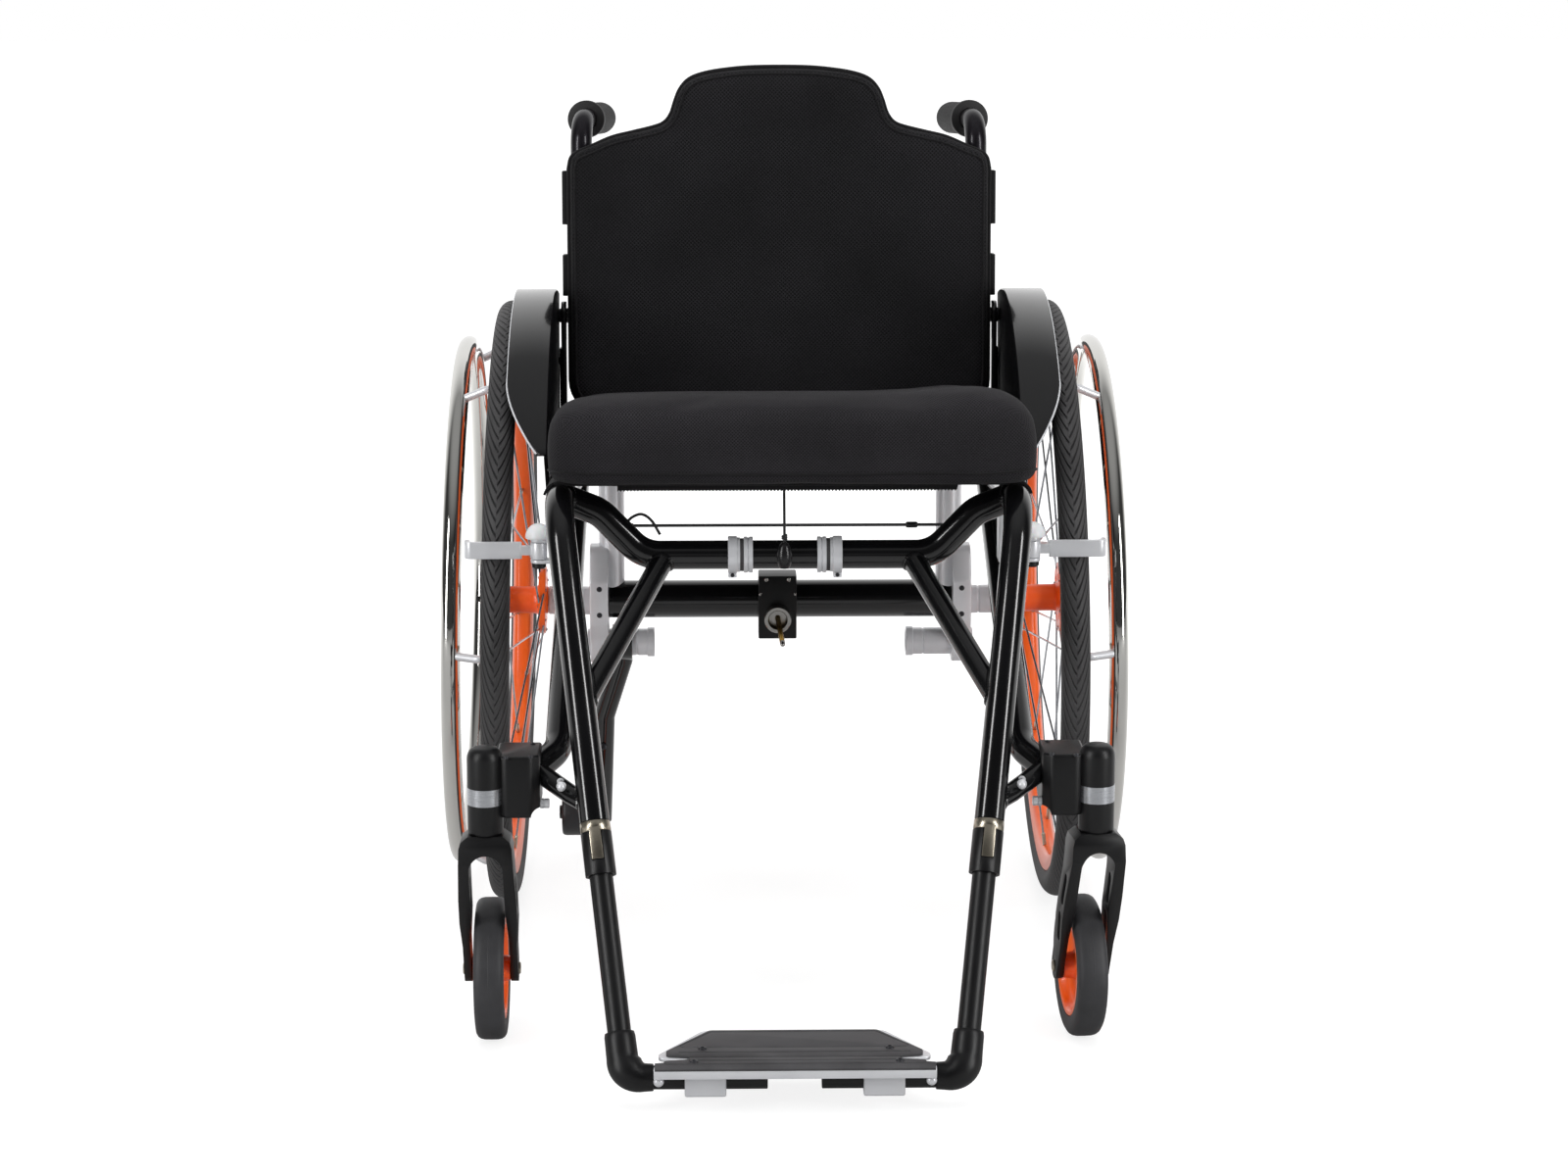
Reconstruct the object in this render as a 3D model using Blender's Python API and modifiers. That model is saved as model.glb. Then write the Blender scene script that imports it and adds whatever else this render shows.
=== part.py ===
"""Active wheelchair, modelled in Blender 4.5 as separate named pieces.

Metres, +Z up. X runs across the chair, the user faces -Y. The origin lies on the floor under the middle of
the chair's length. at(x, y, z) takes y from the rear axle, so that the sizes below read from that axle.
Paired pieces are modelled on the +X side (suffix _R) and mirrored to the -X side (suffix _L).
"""
import math

import bmesh
import bpy
from mathutils import Matrix, Vector

# Clearances
GAP = 0.0003
SLIDE_GAP = 0.0004
MERGE = 0.00001

# Overall places
FRONT_REACH = 0.680
RIM_R = 0.270
TYRE_HEIGHT = 0.025
TYRE_R = RIM_R + TYRE_HEIGHT
AXLE_Y = (FRONT_REACH - TYRE_R) / 2

# Rear wheels
HALF_TRACK = 0.2662
CAMBER = math.radians(1.0)
TYRE_HALF_W = 0.0135
RIM_DEPTH = 0.016
RIM_HALF_W = 0.0105
TYRE_SEAT_W = 0.0105
WHEEL_SIDES = 36
HUB_R = 0.0135
HUB_SIDES = 12
HUB_INNER = -0.0372
HUB_OUTER = 0.0255
FLANGE_IN = (-0.0352, -0.0282, 0.0330)
FLANGE_OUT = (0.0088, 0.0148, 0.0345)
SPOKE_R = 0.0011
SPOKE_SETS = 6
SPOKE_SWEEP = math.radians(60)
SPOKE_SEAT = 0.003
RIM_LEAD = 0.0045
RIM_TRAIL = 0.0015
HANDRIM_INSET = 0.0194
HANDRIM_R = RIM_R - HANDRIM_INSET
HANDRIM_TUBE = 0.00925
HANDRIM_OUT = 0.0428
TAB_R = 0.0040
TAB_COUNT = 6
TAB_INSET = 0.0045
TAB_CIRCLE = RIM_R - TAB_INSET
AXLE_R = 0.00635
AXLE_HEAD_R = 0.0095
AXLE_HEAD = 0.0040
AXLE_LENGTH = 0.186
BUTTON_R = 0.0030
BUTTON_PROUD = 0.0045
BUTTON_TRAVEL = 0.0040
BUTTON_DEPTH = 0.0075
WHEEL_Z = (TYRE_R - TYRE_HALF_W) * math.cos(CAMBER) + TYRE_HALF_W

# Side frames: seat rail, front bend and down tube in one
TUBE_R = 0.0127
TUBE_SIDES = 12
ROD_SIDES = 12
RAIL_REAR = (HALF_TRACK - 0.0762, 0.050, 0.440)
FRONT_CORNER = (HALF_TRACK - 0.0652, -0.425, 0.470)
LEG_FOOT = (0.1415, 0.025 - FRONT_REACH, 0.0275)
BEND_R = 0.055
DOWN_LENGTH = 0.284
NECK_R = 0.0116
SLEEVE_R = 0.0132
SLEEVE_LENGTH = 0.0465
COLLAR_LENGTH = 0.0090
COLLAR_R = 0.0130
TONGUE_W = 0.0100
TONGUE_LENGTH = 0.0250
TONGUE_IN = 0.0115
TONGUE_OUT = 0.0134
NOTCH_FLOOR = 0.0112

# Lower legs and footplate
LEG_R = 0.0100
LEG_INSERT = 0.090
LEG_TRAVEL = 0.060
ELBOW_R = 0.0160
ELBOW_UP = 0.038
ELBOW_IN = 0.024
ELBOW_BEND_R = 0.0185
STUB_R = 0.0100
STUB_END_X = 0.0225
LUG_IN_X = 0.057
LUG_OUT_X = 0.0916
LUG_HALF = 0.0140
LUG_BOTTOM = 0.0145
PLATE_TOP = 0.0440
PLATE_T = 0.0035
LIP_HALF_X = 0.117
LIP_BOTTOM = 0.034
LIP_T = 0.004
NOTCH_X = 0.0945
EAR_X = 0.116
EAR_Y = 0.029 - FRONT_REACH
PLATE_REAR_X = 0.078
PLATE_REAR_Y = 0.097 - FRONT_REACH
MAT_T = 0.0027
MAT_INSET = 0.005

# Second side tubes and the arms that carry the castors
STAY_R = 0.0122
STAY_BEND_R = 0.040
STAY_TOP_Y = 0.165 - TYRE_R
STAY_KNEE = (HALF_TRACK - 0.0657, STAY_TOP_Y - 0.340, 0.262)
STAY_END = (HALF_TRACK - 0.0362, -0.512, 0.246)
ARM_R = 0.0085
ARM_BEND_R = 0.020
ARM_UP = 0.014
ARM_KNEE = (HALF_TRACK - 0.0782, -0.532, 0.238)
ARM_END = (HALF_TRACK - 0.0412, -0.498, 0.2550)

# Front cross tube with its struts
CROSS_R = 0.0128
CROSS_Y = -0.375
CROSS_BENDS = ((HALF_TRACK - 0.1002, 0.4535), (HALF_TRACK - 0.1382, 0.4145))
CROSS_BEND_R = 0.035
STRUT_R = 0.0100
STRUT_X = HALF_TRACK - 0.1582
STRUT_DOWN = 0.182
CLAMP_X = {'L': -0.0421, 'R': 0.0368}
CLAMP_R = 0.0165
CLAMP_WIDE = 0.0110
CLAMP_SPLIT = 0.0030
CLAMP_W = 0.0220
CLAMP_LUG = (0.0080, 0.0090, 0.0200)

# Axle tube, its carriers and the centre socket
AXLE_TUBE_R = 0.0185
AXLE_TUBE_BORE = 0.0160
AXLE_TUBE_END = HALF_TRACK - 0.0972
CARRIER_OUT = HALF_TRACK - 0.0787
CARRIER_HALF_Y = 0.030
CARRIER_RISE = 0.0550
POST_X = HALF_TRACK - 0.1002
POST_R = 0.0125
POST_TOP_Z = 0.450
HEAD_OUT_X = HALF_TRACK - 0.0602
HEAD_BOTTOM = 0.0190
HEAD_HALF_Y = 0.0145
BOSS_R = 0.0140
BOSS_END = HALF_TRACK + HUB_INNER - 0.0005
HOLDER_Z = WHEEL_Z - 0.0435
HOLDER_R = 0.01325
HOLDER_BORE = 0.0105
HOLDER_IN_X = HALF_TRACK - 0.1417
HOLDER_OUT_X = HALF_TRACK - 0.0758
HOLDER_RING = 0.0070
HOLDER_RING_R = 0.0145
HOLDER_WALL = 0.0055
SOCKET_X = -0.003
SOCKET_W = 0.0375
SOCKET_Z = (WHEEL_Z - 0.035, WHEEL_Z + 0.028)
SOCKET_FRONT = 0.0270
SOCKET_BACK = 0.0060
CUP_R = 0.0130
CUP_BORE = 0.0090
CUP_Z = WHEEL_Z - 0.0124
CUP_LENGTH = 0.018
CUP_FLOOR = 0.006
PIN_R = 0.0027
PIN_LENGTH = 0.050
PIN_SLOPE = math.radians(20)
PIN_YAW = 0.09

# Anti-tipper, on the -X side only
TIPPER_EYE = (HALF_TRACK - 0.1197, HALF_TRACK - 0.1002)
TIPPER_EYE_R = 0.0180
TIPPER_TUBE_R = 0.0098
TIPPER_BEND_R = 0.012
TIPPER_DROP = (0.011, 0.021)
TIPPER_KNEE = (0.0897 - HALF_TRACK, 0.045, 0.165)
TIPPER_FOOT = (0.0842 - HALF_TRACK, 0.100, 0.050)
ROLLER_R = 0.0240
ROLLER_SIDES = 16
ROLLER_IN_X = HALF_TRACK - 0.0726
ROLLER_OUT_X = HALF_TRACK - 0.0442
ROLLER_PIN_R = 0.0040
ROLLER_HEAD_R = 0.0070

# Castors
STEM_X = HALF_TRACK - 0.0042
STEM_Y = -0.519
TRAIL = 0.055
CASTOR_R = 0.0625
CASTOR_HALF_W = 0.01325
CASTOR_RIM_R = 0.0445
CASTOR_SIDES = 18
CASTOR_TURN = {'L': 0.0, 'R': math.radians(6)}
HOUSING_R = 0.0153
HOUSING_BOTTOM = 0.2010
HOUSING_TOP = 0.2775
STEM_R = 0.0060
STEM_UP = 0.050
BRACKET_IN_X = HALF_TRACK - 0.0513
BRACKET_Y = (-0.540, -0.474)
BRACKET_Z = (0.2160, 0.2770)
BRACKET_CHAMFER = 0.004
FORK_HALF_W = 0.0252
FORK_LOW_HALF = 0.0236
FORK_TOP_HALF = 0.0155
FORK_SHOULDER_Z = 0.188
FORK_GAP_TOP = 0.0145
FORK_GAP_LOW = 0.0170
FORK_ARCH_Z = 0.176
FORK_TIP_R = 0.0115
FORK_TOP_Y = 0.0165
FORK_SLOT_R = 0.0045
FORK_SLOTS = (((0.007, 0.156), (0.017, 0.134)), ((0.026, 0.117), (0.036, 0.096)))
CASTOR_BOLT_R = 0.0040
CASTOR_BOLT_HEAD = 0.0065
CASTOR_HUB_R = 0.0120
CASTOR_WEB = 0.0035

# Brakes
BRAKE_PIVOT_X = HALF_TRACK - 0.0417
BRAKE_BAR_Z = (0.3925, 0.4085)
BRAKE_BAR_T = 0.0050
BRAKE_BAR_END = HALF_TRACK + 0.0263
BRAKE_HOOK = 0.0110
BRAKE_EYE_R = 0.0075
BRAKE_PIN_R = 0.0035
BRAKE_EAR_T = 0.0030
BRAKE_DOME_R = 0.0075
BRAKE_KNOB_R = 0.0065
BRAKE_BLOCK_X = (HALF_TRACK - 0.0732, HALF_TRACK - 0.0527)
BRAKE_BLOCK_Y = 0.0120
BRAKE_BLOCK_TOP = 0.0040

# Side guards
GUARD_IN_X = HALF_TRACK - 0.0484
GUARD_T = 0.0030
FENDER_OUT_X = HALF_TRACK - 0.0097
FENDER_GAP = 0.0110
FENDER_R = TYRE_R + FENDER_GAP
FENDER_T = 0.0030
FENDER_BACK = math.radians(-15)
FENDER_FULL = math.radians(38)
FENDER_FRONT = math.radians(53)
GUARD_LOW_FRONT = (-0.205, 0.440)
GUARD_LOW_REAR = (0.055, 0.430)
GUARD_BOSS_R = 0.0050
GUARD_BOSS_DROP = 0.0040
GUARD_BOSS_Y = (-0.160, 0.028)

# Backrest
BACK_PIVOT = (0.055, 0.570)
RECLINE = math.radians(4)
CANE_X = HALF_TRACK - 0.0722
CANE_R = 0.0105
CANE_BELOW = 0.024
CANE_TOP = 0.192
CANE_BEND_R = 0.026
GRIP_TILT_IN = 0.012
GRIP_LENGTH = 0.112
GRIP_R = 0.0160
GRIP_SIDES = 14
GRIP_FLANGE_R = 0.0185
GRIP_START = 0.034
POST_PIN_R = 0.0040
POST_SPACER_R = 0.0075
POST_INNER_X = HALF_TRACK - 0.0565
POST_T = 0.0053
POST_RIB_T = 0.0020
POST_RIB_HALF_Y = 0.0080
POST_RIB_TOP = 0.5380
POST_HALF_Y = 0.0140
POST_FOOT_X = HALF_TRACK - 0.0917
POST_FOOT_Z = (0.4240, 0.4565)
SHELL_T = 0.0050
SHELL_GAP = 0.0007
SHELL_BAND_X = HALF_TRACK - 0.0532
SHELL_BAND_T = 0.0020
SHELL_BAND_Z = ((0.020, 0.060), (0.090, 0.142))
PAD_T = 0.0230
BACK_HALF_X = HALF_TRACK - 0.0577
BACK_LOW = -0.100
BACK_LOW_R = 0.038
BACK_TOP_R = 0.018
BACK_OUTLINE = ((BACK_HALF_X, 0.1440), (BACK_HALF_X - 0.0255, 0.1660), (BACK_HALF_X - 0.0905, 0.1890),
                (BACK_HALF_X - 0.1025, 0.1950), (BACK_HALF_X - 0.1185, 0.2315),
                (BACK_HALF_X - 0.1445, 0.2420), (0.0, 0.2465))
BACK_SHRINK = 0.006

# Seat
SLING_T = 0.0022
SLING_FRONT = -0.386
SLING_REAR = 0.034
SLING_SKIRT = math.radians(78)
CUSHION_HALF_X = HALF_TRACK - 0.0517
CUSHION_FRONT = -0.445
CUSHION_REAR = -0.002
CUSHION_T = 0.073
CUSHION_CROWN = 0.008
CUSHION_DRAW = 0.005

# Cords at the seat front
RELEASE_Z = 0.4410
RELEASE_R = 0.0014
RELEASE_HALF_X = HALF_TRACK - 0.1162
RELEASE_LOOP_R = 0.009
RELEASE_LOOP = ((RELEASE_HALF_X - 0.0060, 0.4410), (RELEASE_HALF_X - 0.0210, 0.4520),
                (RELEASE_HALF_X - 0.0310, 0.4440), (RELEASE_HALF_X - 0.0370, 0.4330))
PULL_X = -0.0035
PULL_R = 0.0012
PULL_TOP_Y = -0.3800
PULL_ROUTE = ((-0.3830, 0.4670), (-0.3900, 0.4530), (-0.3958, 0.4400), (-0.3960, 0.4300))
TOGGLE_R = 0.0068
TOGGLE_LENGTH = 0.024
STOPPER_X = (RELEASE_HALF_X - 0.0460, RELEASE_HALF_X - 0.0353)

# Colours (linear base colour, roughness, metallic)
FINISHES = {
    'black_lacquer': ((0.006, 0.006, 0.007), 0.18, 0.0),
    'satin_black': ((0.012, 0.012, 0.013), 0.45, 0.0),
    'silver_anodised': ((0.60, 0.62, 0.65), 0.35, 1.0),
    'nickel': ((0.55, 0.52, 0.46), 0.30, 1.0),
    'orange_lacquer': ((0.90, 0.10, 0.01), 0.25, 0.0),
    'polished_steel': ((0.75, 0.74, 0.72), 0.12, 1.0),
    'tyre_rubber': ((0.028, 0.028, 0.030), 0.75, 0.0),
    'castor_rubber': ((0.035, 0.036, 0.040), 0.60, 0.0),
    'grey_metallic': ((0.05, 0.05, 0.06), 0.35, 0.6),
    'grip_rubber': ((0.025, 0.025, 0.027), 0.80, 0.0),
    'mesh_cloth': ((0.010, 0.010, 0.011), 0.90, 0.0),
    'knit_cloth': ((0.012, 0.012, 0.013), 0.85, 0.0),
    'mat_rubber': ((0.04, 0.04, 0.042), 0.70, 0.0),
    'brass': ((0.45, 0.27, 0.06), 0.30, 1.0),
    'black_cord': ((0.010, 0.010, 0.010), 0.85, 0.0),
}


for leftover in list(bpy.data.objects):
    bpy.data.objects.remove(leftover)

PARTS = bpy.data.collections.new('active_wheelchair')
CUTTERS = bpy.data.collections.new('cutters')
for group in (PARTS, CUTTERS):
    bpy.context.scene.collection.children.link(group)


def at(x, y, z):
    """Point whose y is measured from the rear axle, rearwards positive."""
    return Vector((x, AXLE_Y + y, z))


def finish(name):
    """The named Principled material, made on first use."""
    found = bpy.data.materials.get(name)
    if found:
        return found
    colour, roughness, metallic = FINISHES[name]
    made = bpy.data.materials.new(name)
    made.use_nodes = True
    shader = made.node_tree.nodes['Principled BSDF']
    shader.inputs['Base Color'].default_value = (*colour, 1.0)
    shader.inputs['Roughness'].default_value = roughness
    shader.inputs['Metallic'].default_value = metallic
    made.diffuse_color = (*colour, 1.0)
    return made


def guide(data):
    """Temporary object that holds a mesh or curve while a shape is worked out."""
    made = bpy.data.objects.new('guide', data)
    CUTTERS.objects.link(made)
    made.hide_render = True
    made.display_type = 'WIRE'
    return made


def bake(source):
    """Plain closed mesh of a temporary object, in world space; the object is removed."""
    bpy.context.view_layer.update()
    graph = bpy.context.evaluated_depsgraph_get()
    mesh = bpy.data.meshes.new_from_object(source.evaluated_get(graph))
    mesh.transform(source.matrix_world)
    shape = bmesh.new()
    shape.from_mesh(mesh)
    bmesh.ops.remove_doubles(shape, verts=shape.verts, dist=MERGE)
    bmesh.ops.recalc_face_normals(shape, faces=shape.faces)
    shape.to_mesh(mesh)
    shape.free()
    bpy.data.objects.remove(source)
    return mesh


def from_bmesh(shape):
    mesh = bpy.data.meshes.new('shape')
    shape.to_mesh(mesh)
    shape.free()
    return mesh


def rounded(points, radius, steps, closed=False):
    """Polyline whose corners are replaced by arcs of one radius, as far as its straight lengths allow."""
    points = [Vector(point) for point in points]
    count = len(points)
    result = []
    for index, corner in enumerate(points):
        if not closed and index in (0, count - 1):
            result.append(corner)
            continue
        back = (points[index - 1] - corner)
        ahead = (points[(index + 1) % count] - corner)
        half = back.angle(ahead) / 2
        if half > math.pi / 2 - 0.01:
            result.append(corner)
            continue
        back_share = 0.45 if closed or index > 1 else 0.95
        ahead_share = 0.45 if closed or index < count - 2 else 0.95
        reach = min(radius / math.tan(half), back.length * back_share, ahead.length * ahead_share)
        arc_radius = reach * math.tan(half)
        middle = (back.normalized() + ahead.normalized()).normalized()
        centre = corner + middle * (arc_radius / math.sin(half))
        first = (corner + back.normalized() * reach - centre).normalized()
        last = (corner + ahead.normalized() * reach - centre).normalized()
        for step in range(steps + 1):
            result.append(centre + first.slerp(last, step / steps) * arc_radius)
    return result


def tube(points, radius, sides=TUBE_SIDES):
    """Round tube or bar along a polyline, with flat ends."""
    curve = bpy.data.curves.new('path', 'CURVE')
    curve.dimensions = '3D'
    curve.bevel_depth = radius
    curve.bevel_resolution = (sides - 4) // 2
    curve.use_fill_caps = True
    spline = curve.splines.new('POLY')
    spline.points.add(len(points) - 1)
    for knot, point in zip(spline.points, points):
        knot.co = (*point, 1.0)
    return bake(guide(curve))


def rod(start, end, radius, sides=ROD_SIDES):
    """Straight round bar between two points."""
    start, end = Vector(start), Vector(end)
    shape = bmesh.new()
    bmesh.ops.create_cone(shape, cap_ends=True, segments=sides, radius1=radius,
                          radius2=radius, depth=(end - start).length)
    turn = (end - start).to_track_quat('Z', 'Y').to_matrix().to_4x4()
    shape.transform(Matrix.Translation((start + end) / 2) @ turn)
    return from_bmesh(shape)


def block(low, high, bevel=0.0, steps=1):
    """Box between two corners, its edges rounded where a bevel is given."""
    low, high = Vector(low), Vector(high)
    shape = bmesh.new()
    bmesh.ops.create_cube(shape, size=1.0)
    size = high - low
    shape.transform(Matrix.Translation((low + high) / 2) @ Matrix.Diagonal((*size, 1.0)))
    if bevel:
        bmesh.ops.bevel(shape, geom=shape.edges[:], offset=bevel, segments=steps, affect='EDGES', profile=0.5)
    return from_bmesh(shape)


def plate(outline, low, high, plane):
    """Flat outline given thickness between two heights along the axis that the plane leaves out."""
    curve = bpy.data.curves.new('outline', 'CURVE')
    curve.dimensions = '2D'
    curve.fill_mode = 'BOTH'
    curve.extrude = (high - low) / 2
    spline = curve.splines.new('POLY')
    spline.points.add(len(outline) - 1)
    spline.use_cyclic_u = True
    for knot, point in zip(spline.points, outline):
        knot.co = (point[0], point[1], 0.0, 1.0)
    holder = guide(curve)
    columns = {'XY': ((1, 0, 0), (0, 1, 0), (0, 0, 1)), 'XZ': ((1, 0, 0), (0, 0, 1), (0, -1, 0)),
               'YZ': ((0, 1, 0), (0, 0, 1), (1, 0, 0))}[plane]
    turn = Matrix(columns).transposed().to_4x4()
    sign = -1 if plane == 'XZ' else 1
    holder.matrix_world = turn @ Matrix.Translation((0, 0, sign * (low + high) / 2))
    return bake(holder)


def turned(profile, steps, matrix=Matrix.Identity(4), closed=False):
    """Turned shape: (radius, height) points down the outer side, spun about Z, then placed by the matrix."""
    mesh = bpy.data.meshes.new('profile')
    count = len(profile)
    edges = [(index, index + 1) for index in range(count - 1)]
    if closed:
        edges.append((count - 1, 0))
    mesh.from_pydata([(radius, 0.0, height) for radius, height in profile], edges, [])
    holder = guide(mesh)
    screw = holder.modifiers.new('turn', 'SCREW')
    screw.steps = steps
    screw.render_steps = steps
    screw.use_merge_vertices = True
    screw.merge_threshold = MERGE
    holder.matrix_world = matrix
    return bake(holder)


def boolean(base, others, operation):
    """Union, difference or intersection of a mesh with others, with the exact solver."""
    body = guide(base)
    tools = []
    for other in others:
        tool = guide(other)
        tools.append(tool)
        step = body.modifiers.new('cut', 'BOOLEAN')
        step.operation = operation
        step.solver = 'EXACT'
        step.object = tool
    mesh = bake(body)
    for tool in tools:
        bpy.data.objects.remove(tool)
    return mesh


def union(base, *others):
    return boolean(base, others, 'UNION')


def cut(base, *others):
    return boolean(base, others, 'DIFFERENCE')


def joined(meshes):
    """Several separate bodies held in one mesh, for one boolean step."""
    shape = bmesh.new()
    for mesh in meshes:
        shape.from_mesh(mesh)
    return from_bmesh(shape)


def placed(mesh, matrix):
    copy = mesh.copy()
    copy.transform(matrix)
    return copy


def mirrored(mesh):
    """Mirror image across the plane x = 0, with its faces still pointing outwards."""
    shape = bmesh.new()
    shape.from_mesh(mesh)
    shape.transform(Matrix.Diagonal((-1.0, 1.0, 1.0, 1.0)))
    bmesh.ops.reverse_faces(shape, faces=shape.faces)
    return from_bmesh(shape)


def add(name, mesh, material, pivot=(0.0, 0.0, 0.0)):
    """Named part whose origin is at its pivot."""
    mesh = mesh.copy()
    mesh.name = name
    mesh.transform(Matrix.Translation(-Vector(pivot)))
    mesh.materials.clear()
    mesh.materials.append(finish(material))
    mesh.shade_smooth()
    mesh.set_sharp_from_angle(angle=math.radians(35))
    made = bpy.data.objects.new(name, mesh)
    made.location = pivot
    PARTS.objects.link(made)
    return made


def add_pair(name, mesh, material, pivot=(0.0, 0.0, 0.0)):
    """The +X part as modelled and its mirror image on the -X side."""
    pivot = Vector(pivot)
    add(name + '_R', mesh, material, pivot)
    add(name + '_L', mirrored(mesh), material, (-pivot.x, pivot.y, pivot.z))


def bore(radius, sides=ROD_SIDES, clearance=GAP):
    """Circumscribed radius of a faceted bore that keeps the clearance round a bar of this radius."""
    return (radius + clearance) / math.cos(math.pi / sides)


# Side frames

RAIL_END = at(*RAIL_REAR)
CORNER = at(*FRONT_CORNER)
FOOT = at(*LEG_FOOT)
LEG_AXIS = (FOOT - CORNER).normalized()
RAIL_AXIS = (CORNER - RAIL_END).normalized()
LEG_FRONT = (Vector((0, -1, 0)) + LEG_AXIS * LEG_AXIS.y).normalized()
LEG_SIDE = LEG_FRONT.cross(LEG_AXIS)
ALONG_X = Matrix.Rotation(math.pi / 2, 4, 'Y')


def rail_at(y):
    """Point on the seat rail's centre line, y from the rear axle."""
    start = RAIL_END
    return start + RAIL_AXIS * ((AXLE_Y + y - start.y) / RAIL_AXIS.y)


def leg_at(distance):
    """Point on the down tube's centre line, measured from the front corner."""
    return CORNER + LEG_AXIS * distance


def leg_block(near, far, inner, outer, half_width):
    """Box laid against the down tube: near to far along it, inner to outer towards the front."""
    turn = Matrix((LEG_SIDE, LEG_FRONT, LEG_AXIS)).transposed().to_4x4()
    bar = block((-half_width, inner, near), (half_width, outer, far))
    return placed(bar, Matrix.Translation(CORNER) @ turn)


def side_tube(radius, longer=0.0):
    """The bent tube of a side frame; a cutter of it is a little longer at both ends."""
    path = [RAIL_END - RAIL_AXIS * longer, CORNER, leg_at(DOWN_LENGTH + longer)]
    return tube(rounded(path, BEND_R, 5), radius)


def side_cutter():
    return side_tube(bore(TUBE_R, TUBE_SIDES), GAP)


def side_frame():
    sleeve_end = DOWN_LENGTH + SLEEVE_LENGTH
    neck = rod(leg_at(DOWN_LENGTH - 0.002), leg_at(sleeve_end - 0.001), NECK_R)
    sleeve = rod(leg_at(DOWN_LENGTH + COLLAR_LENGTH + GAP), leg_at(sleeve_end), SLEEVE_R)
    deep = DOWN_LENGTH - LEG_INSERT - LEG_TRAVEL - 0.006
    hollow = rod(leg_at(deep), leg_at(sleeve_end + 0.01), bore(LEG_R, clearance=SLIDE_GAP))
    notch_end = DOWN_LENGTH + COLLAR_LENGTH + TONGUE_LENGTH + SLIDE_GAP
    notch = leg_block(DOWN_LENGTH + COLLAR_LENGTH - 0.003, notch_end, NOTCH_FLOOR, 0.02, TONGUE_W / 2 + GAP)
    return cut(union(side_tube(TUBE_R), neck, sleeve), hollow, notch)


def leg_collar():
    """Split ring at the down tube's mouth, with the flat tongue that lies in the sleeve's notch."""
    near = DOWN_LENGTH + GAP
    far = DOWN_LENGTH + COLLAR_LENGTH
    ring = rod(leg_at(near), leg_at(far), COLLAR_R)
    tongue = leg_block(far - 0.0025, far + TONGUE_LENGTH, TONGUE_IN, TONGUE_OUT, TONGUE_W / 2)
    hollow = rod(leg_at(near - 0.01), leg_at(far + 0.01), bore(NECK_R))
    return union(cut(ring, hollow), tongue)


add_pair('side_frame', side_frame(), 'black_lacquer')
add_pair('leg_collar', leg_collar(), 'nickel')


# Lower legs, footplate and mat

def lower_leg():
    """Sliding leg, its elbow fitting and the stub that the footplate turns on."""
    inward = Vector((-1, 0, 0))
    bar = rod(leg_at(DOWN_LENGTH - LEG_INSERT), FOOT - LEG_AXIS * 0.008, LEG_R)
    bend = [FOOT - LEG_AXIS * ELBOW_UP, FOOT, FOOT + inward * ELBOW_IN]
    elbow = tube(rounded(bend, ELBOW_BEND_R, 4), ELBOW_R)
    stub = rod(FOOT + inward * 0.008, (STUB_END_X, FOOT.y, FOOT.z), STUB_R)
    return union(elbow, bar, stub)


def footplate_outline(inset):
    """Half outline from the front corner to the rear corner, and its mirror image."""
    front = -FRONT_REACH + inset
    wide = LIP_HALF_X - inset
    notch = NOTCH_X - inset
    ear = EAR_X - inset
    half = [(wide, front), (wide, front + 0.008), (notch, front + 0.009), (notch + 0.002, front + 0.017),
            (ear, EAR_Y), (ear - 0.003, EAR_Y + 0.010), (PLATE_REAR_X - inset, PLATE_REAR_Y - inset)]
    outline = half + [(-x, y) for x, y in reversed(half)]
    corners = [(x, AXLE_Y + y, 0.0) for x, y in outline]
    return rounded(corners, 0.003, 1, closed=True)


def footplate():
    front = AXLE_Y - FRONT_REACH
    sheet = plate(footplate_outline(0.0016), PLATE_TOP - PLATE_T, PLATE_TOP, 'XY')
    lip = block((-LIP_HALF_X, front, LIP_BOTTOM), (LIP_HALF_X, front + LIP_T, PLATE_TOP + MAT_T), 0.001)
    body = union(sheet, lip)
    for side in (-1, 1):
        low = (min(side * LUG_IN_X, side * LUG_OUT_X), FOOT.y - LUG_HALF, LUG_BOTTOM)
        high = (max(side * LUG_IN_X, side * LUG_OUT_X), FOOT.y + LUG_HALF, PLATE_TOP - 0.001)
        body = union(body, block(low, high, 0.0015))
        hole = rod((side * (LUG_IN_X - 0.01), FOOT.y, FOOT.z), (side * (LUG_OUT_X + 0.01), FOOT.y, FOOT.z),
                   bore(STUB_R))
        body = cut(body, hole)
    return body


def foot_mat():
    return plate(footplate_outline(MAT_INSET), PLATE_TOP + GAP, PLATE_TOP + MAT_T, 'XY')


add_pair('lower_leg', lower_leg(), 'satin_black')
add('footplate', footplate(), 'silver_anodised', (0.0, FOOT.y, FOOT.z))
add('foot_mat', foot_mat(), 'mat_rubber')


# Stays to the castor brackets

def frame_stay():
    """Second side tube with the short arm that ties the castor bracket to the down tube."""
    stay = tube(rounded([rail_at(STAY_TOP_Y), at(*STAY_KNEE), at(*STAY_END)], STAY_BEND_R, 5), STAY_R)
    arm = tube(rounded([leg_at(DOWN_LENGTH - ARM_UP), at(*ARM_KNEE), at(*ARM_END)], ARM_BEND_R, 3), ARM_R, 10)
    beyond = block((BRACKET_IN_X - GAP, -1, 0), (BRACKET_IN_X + 0.1, 1, 1))
    return cut(union(stay, arm), side_cutter(), beyond)


add_pair('frame_stay', frame_stay(), 'black_lacquer')


# Front cross tube, struts and tube clamps

CROSS_Z = CROSS_BENDS[-1][1]


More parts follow.
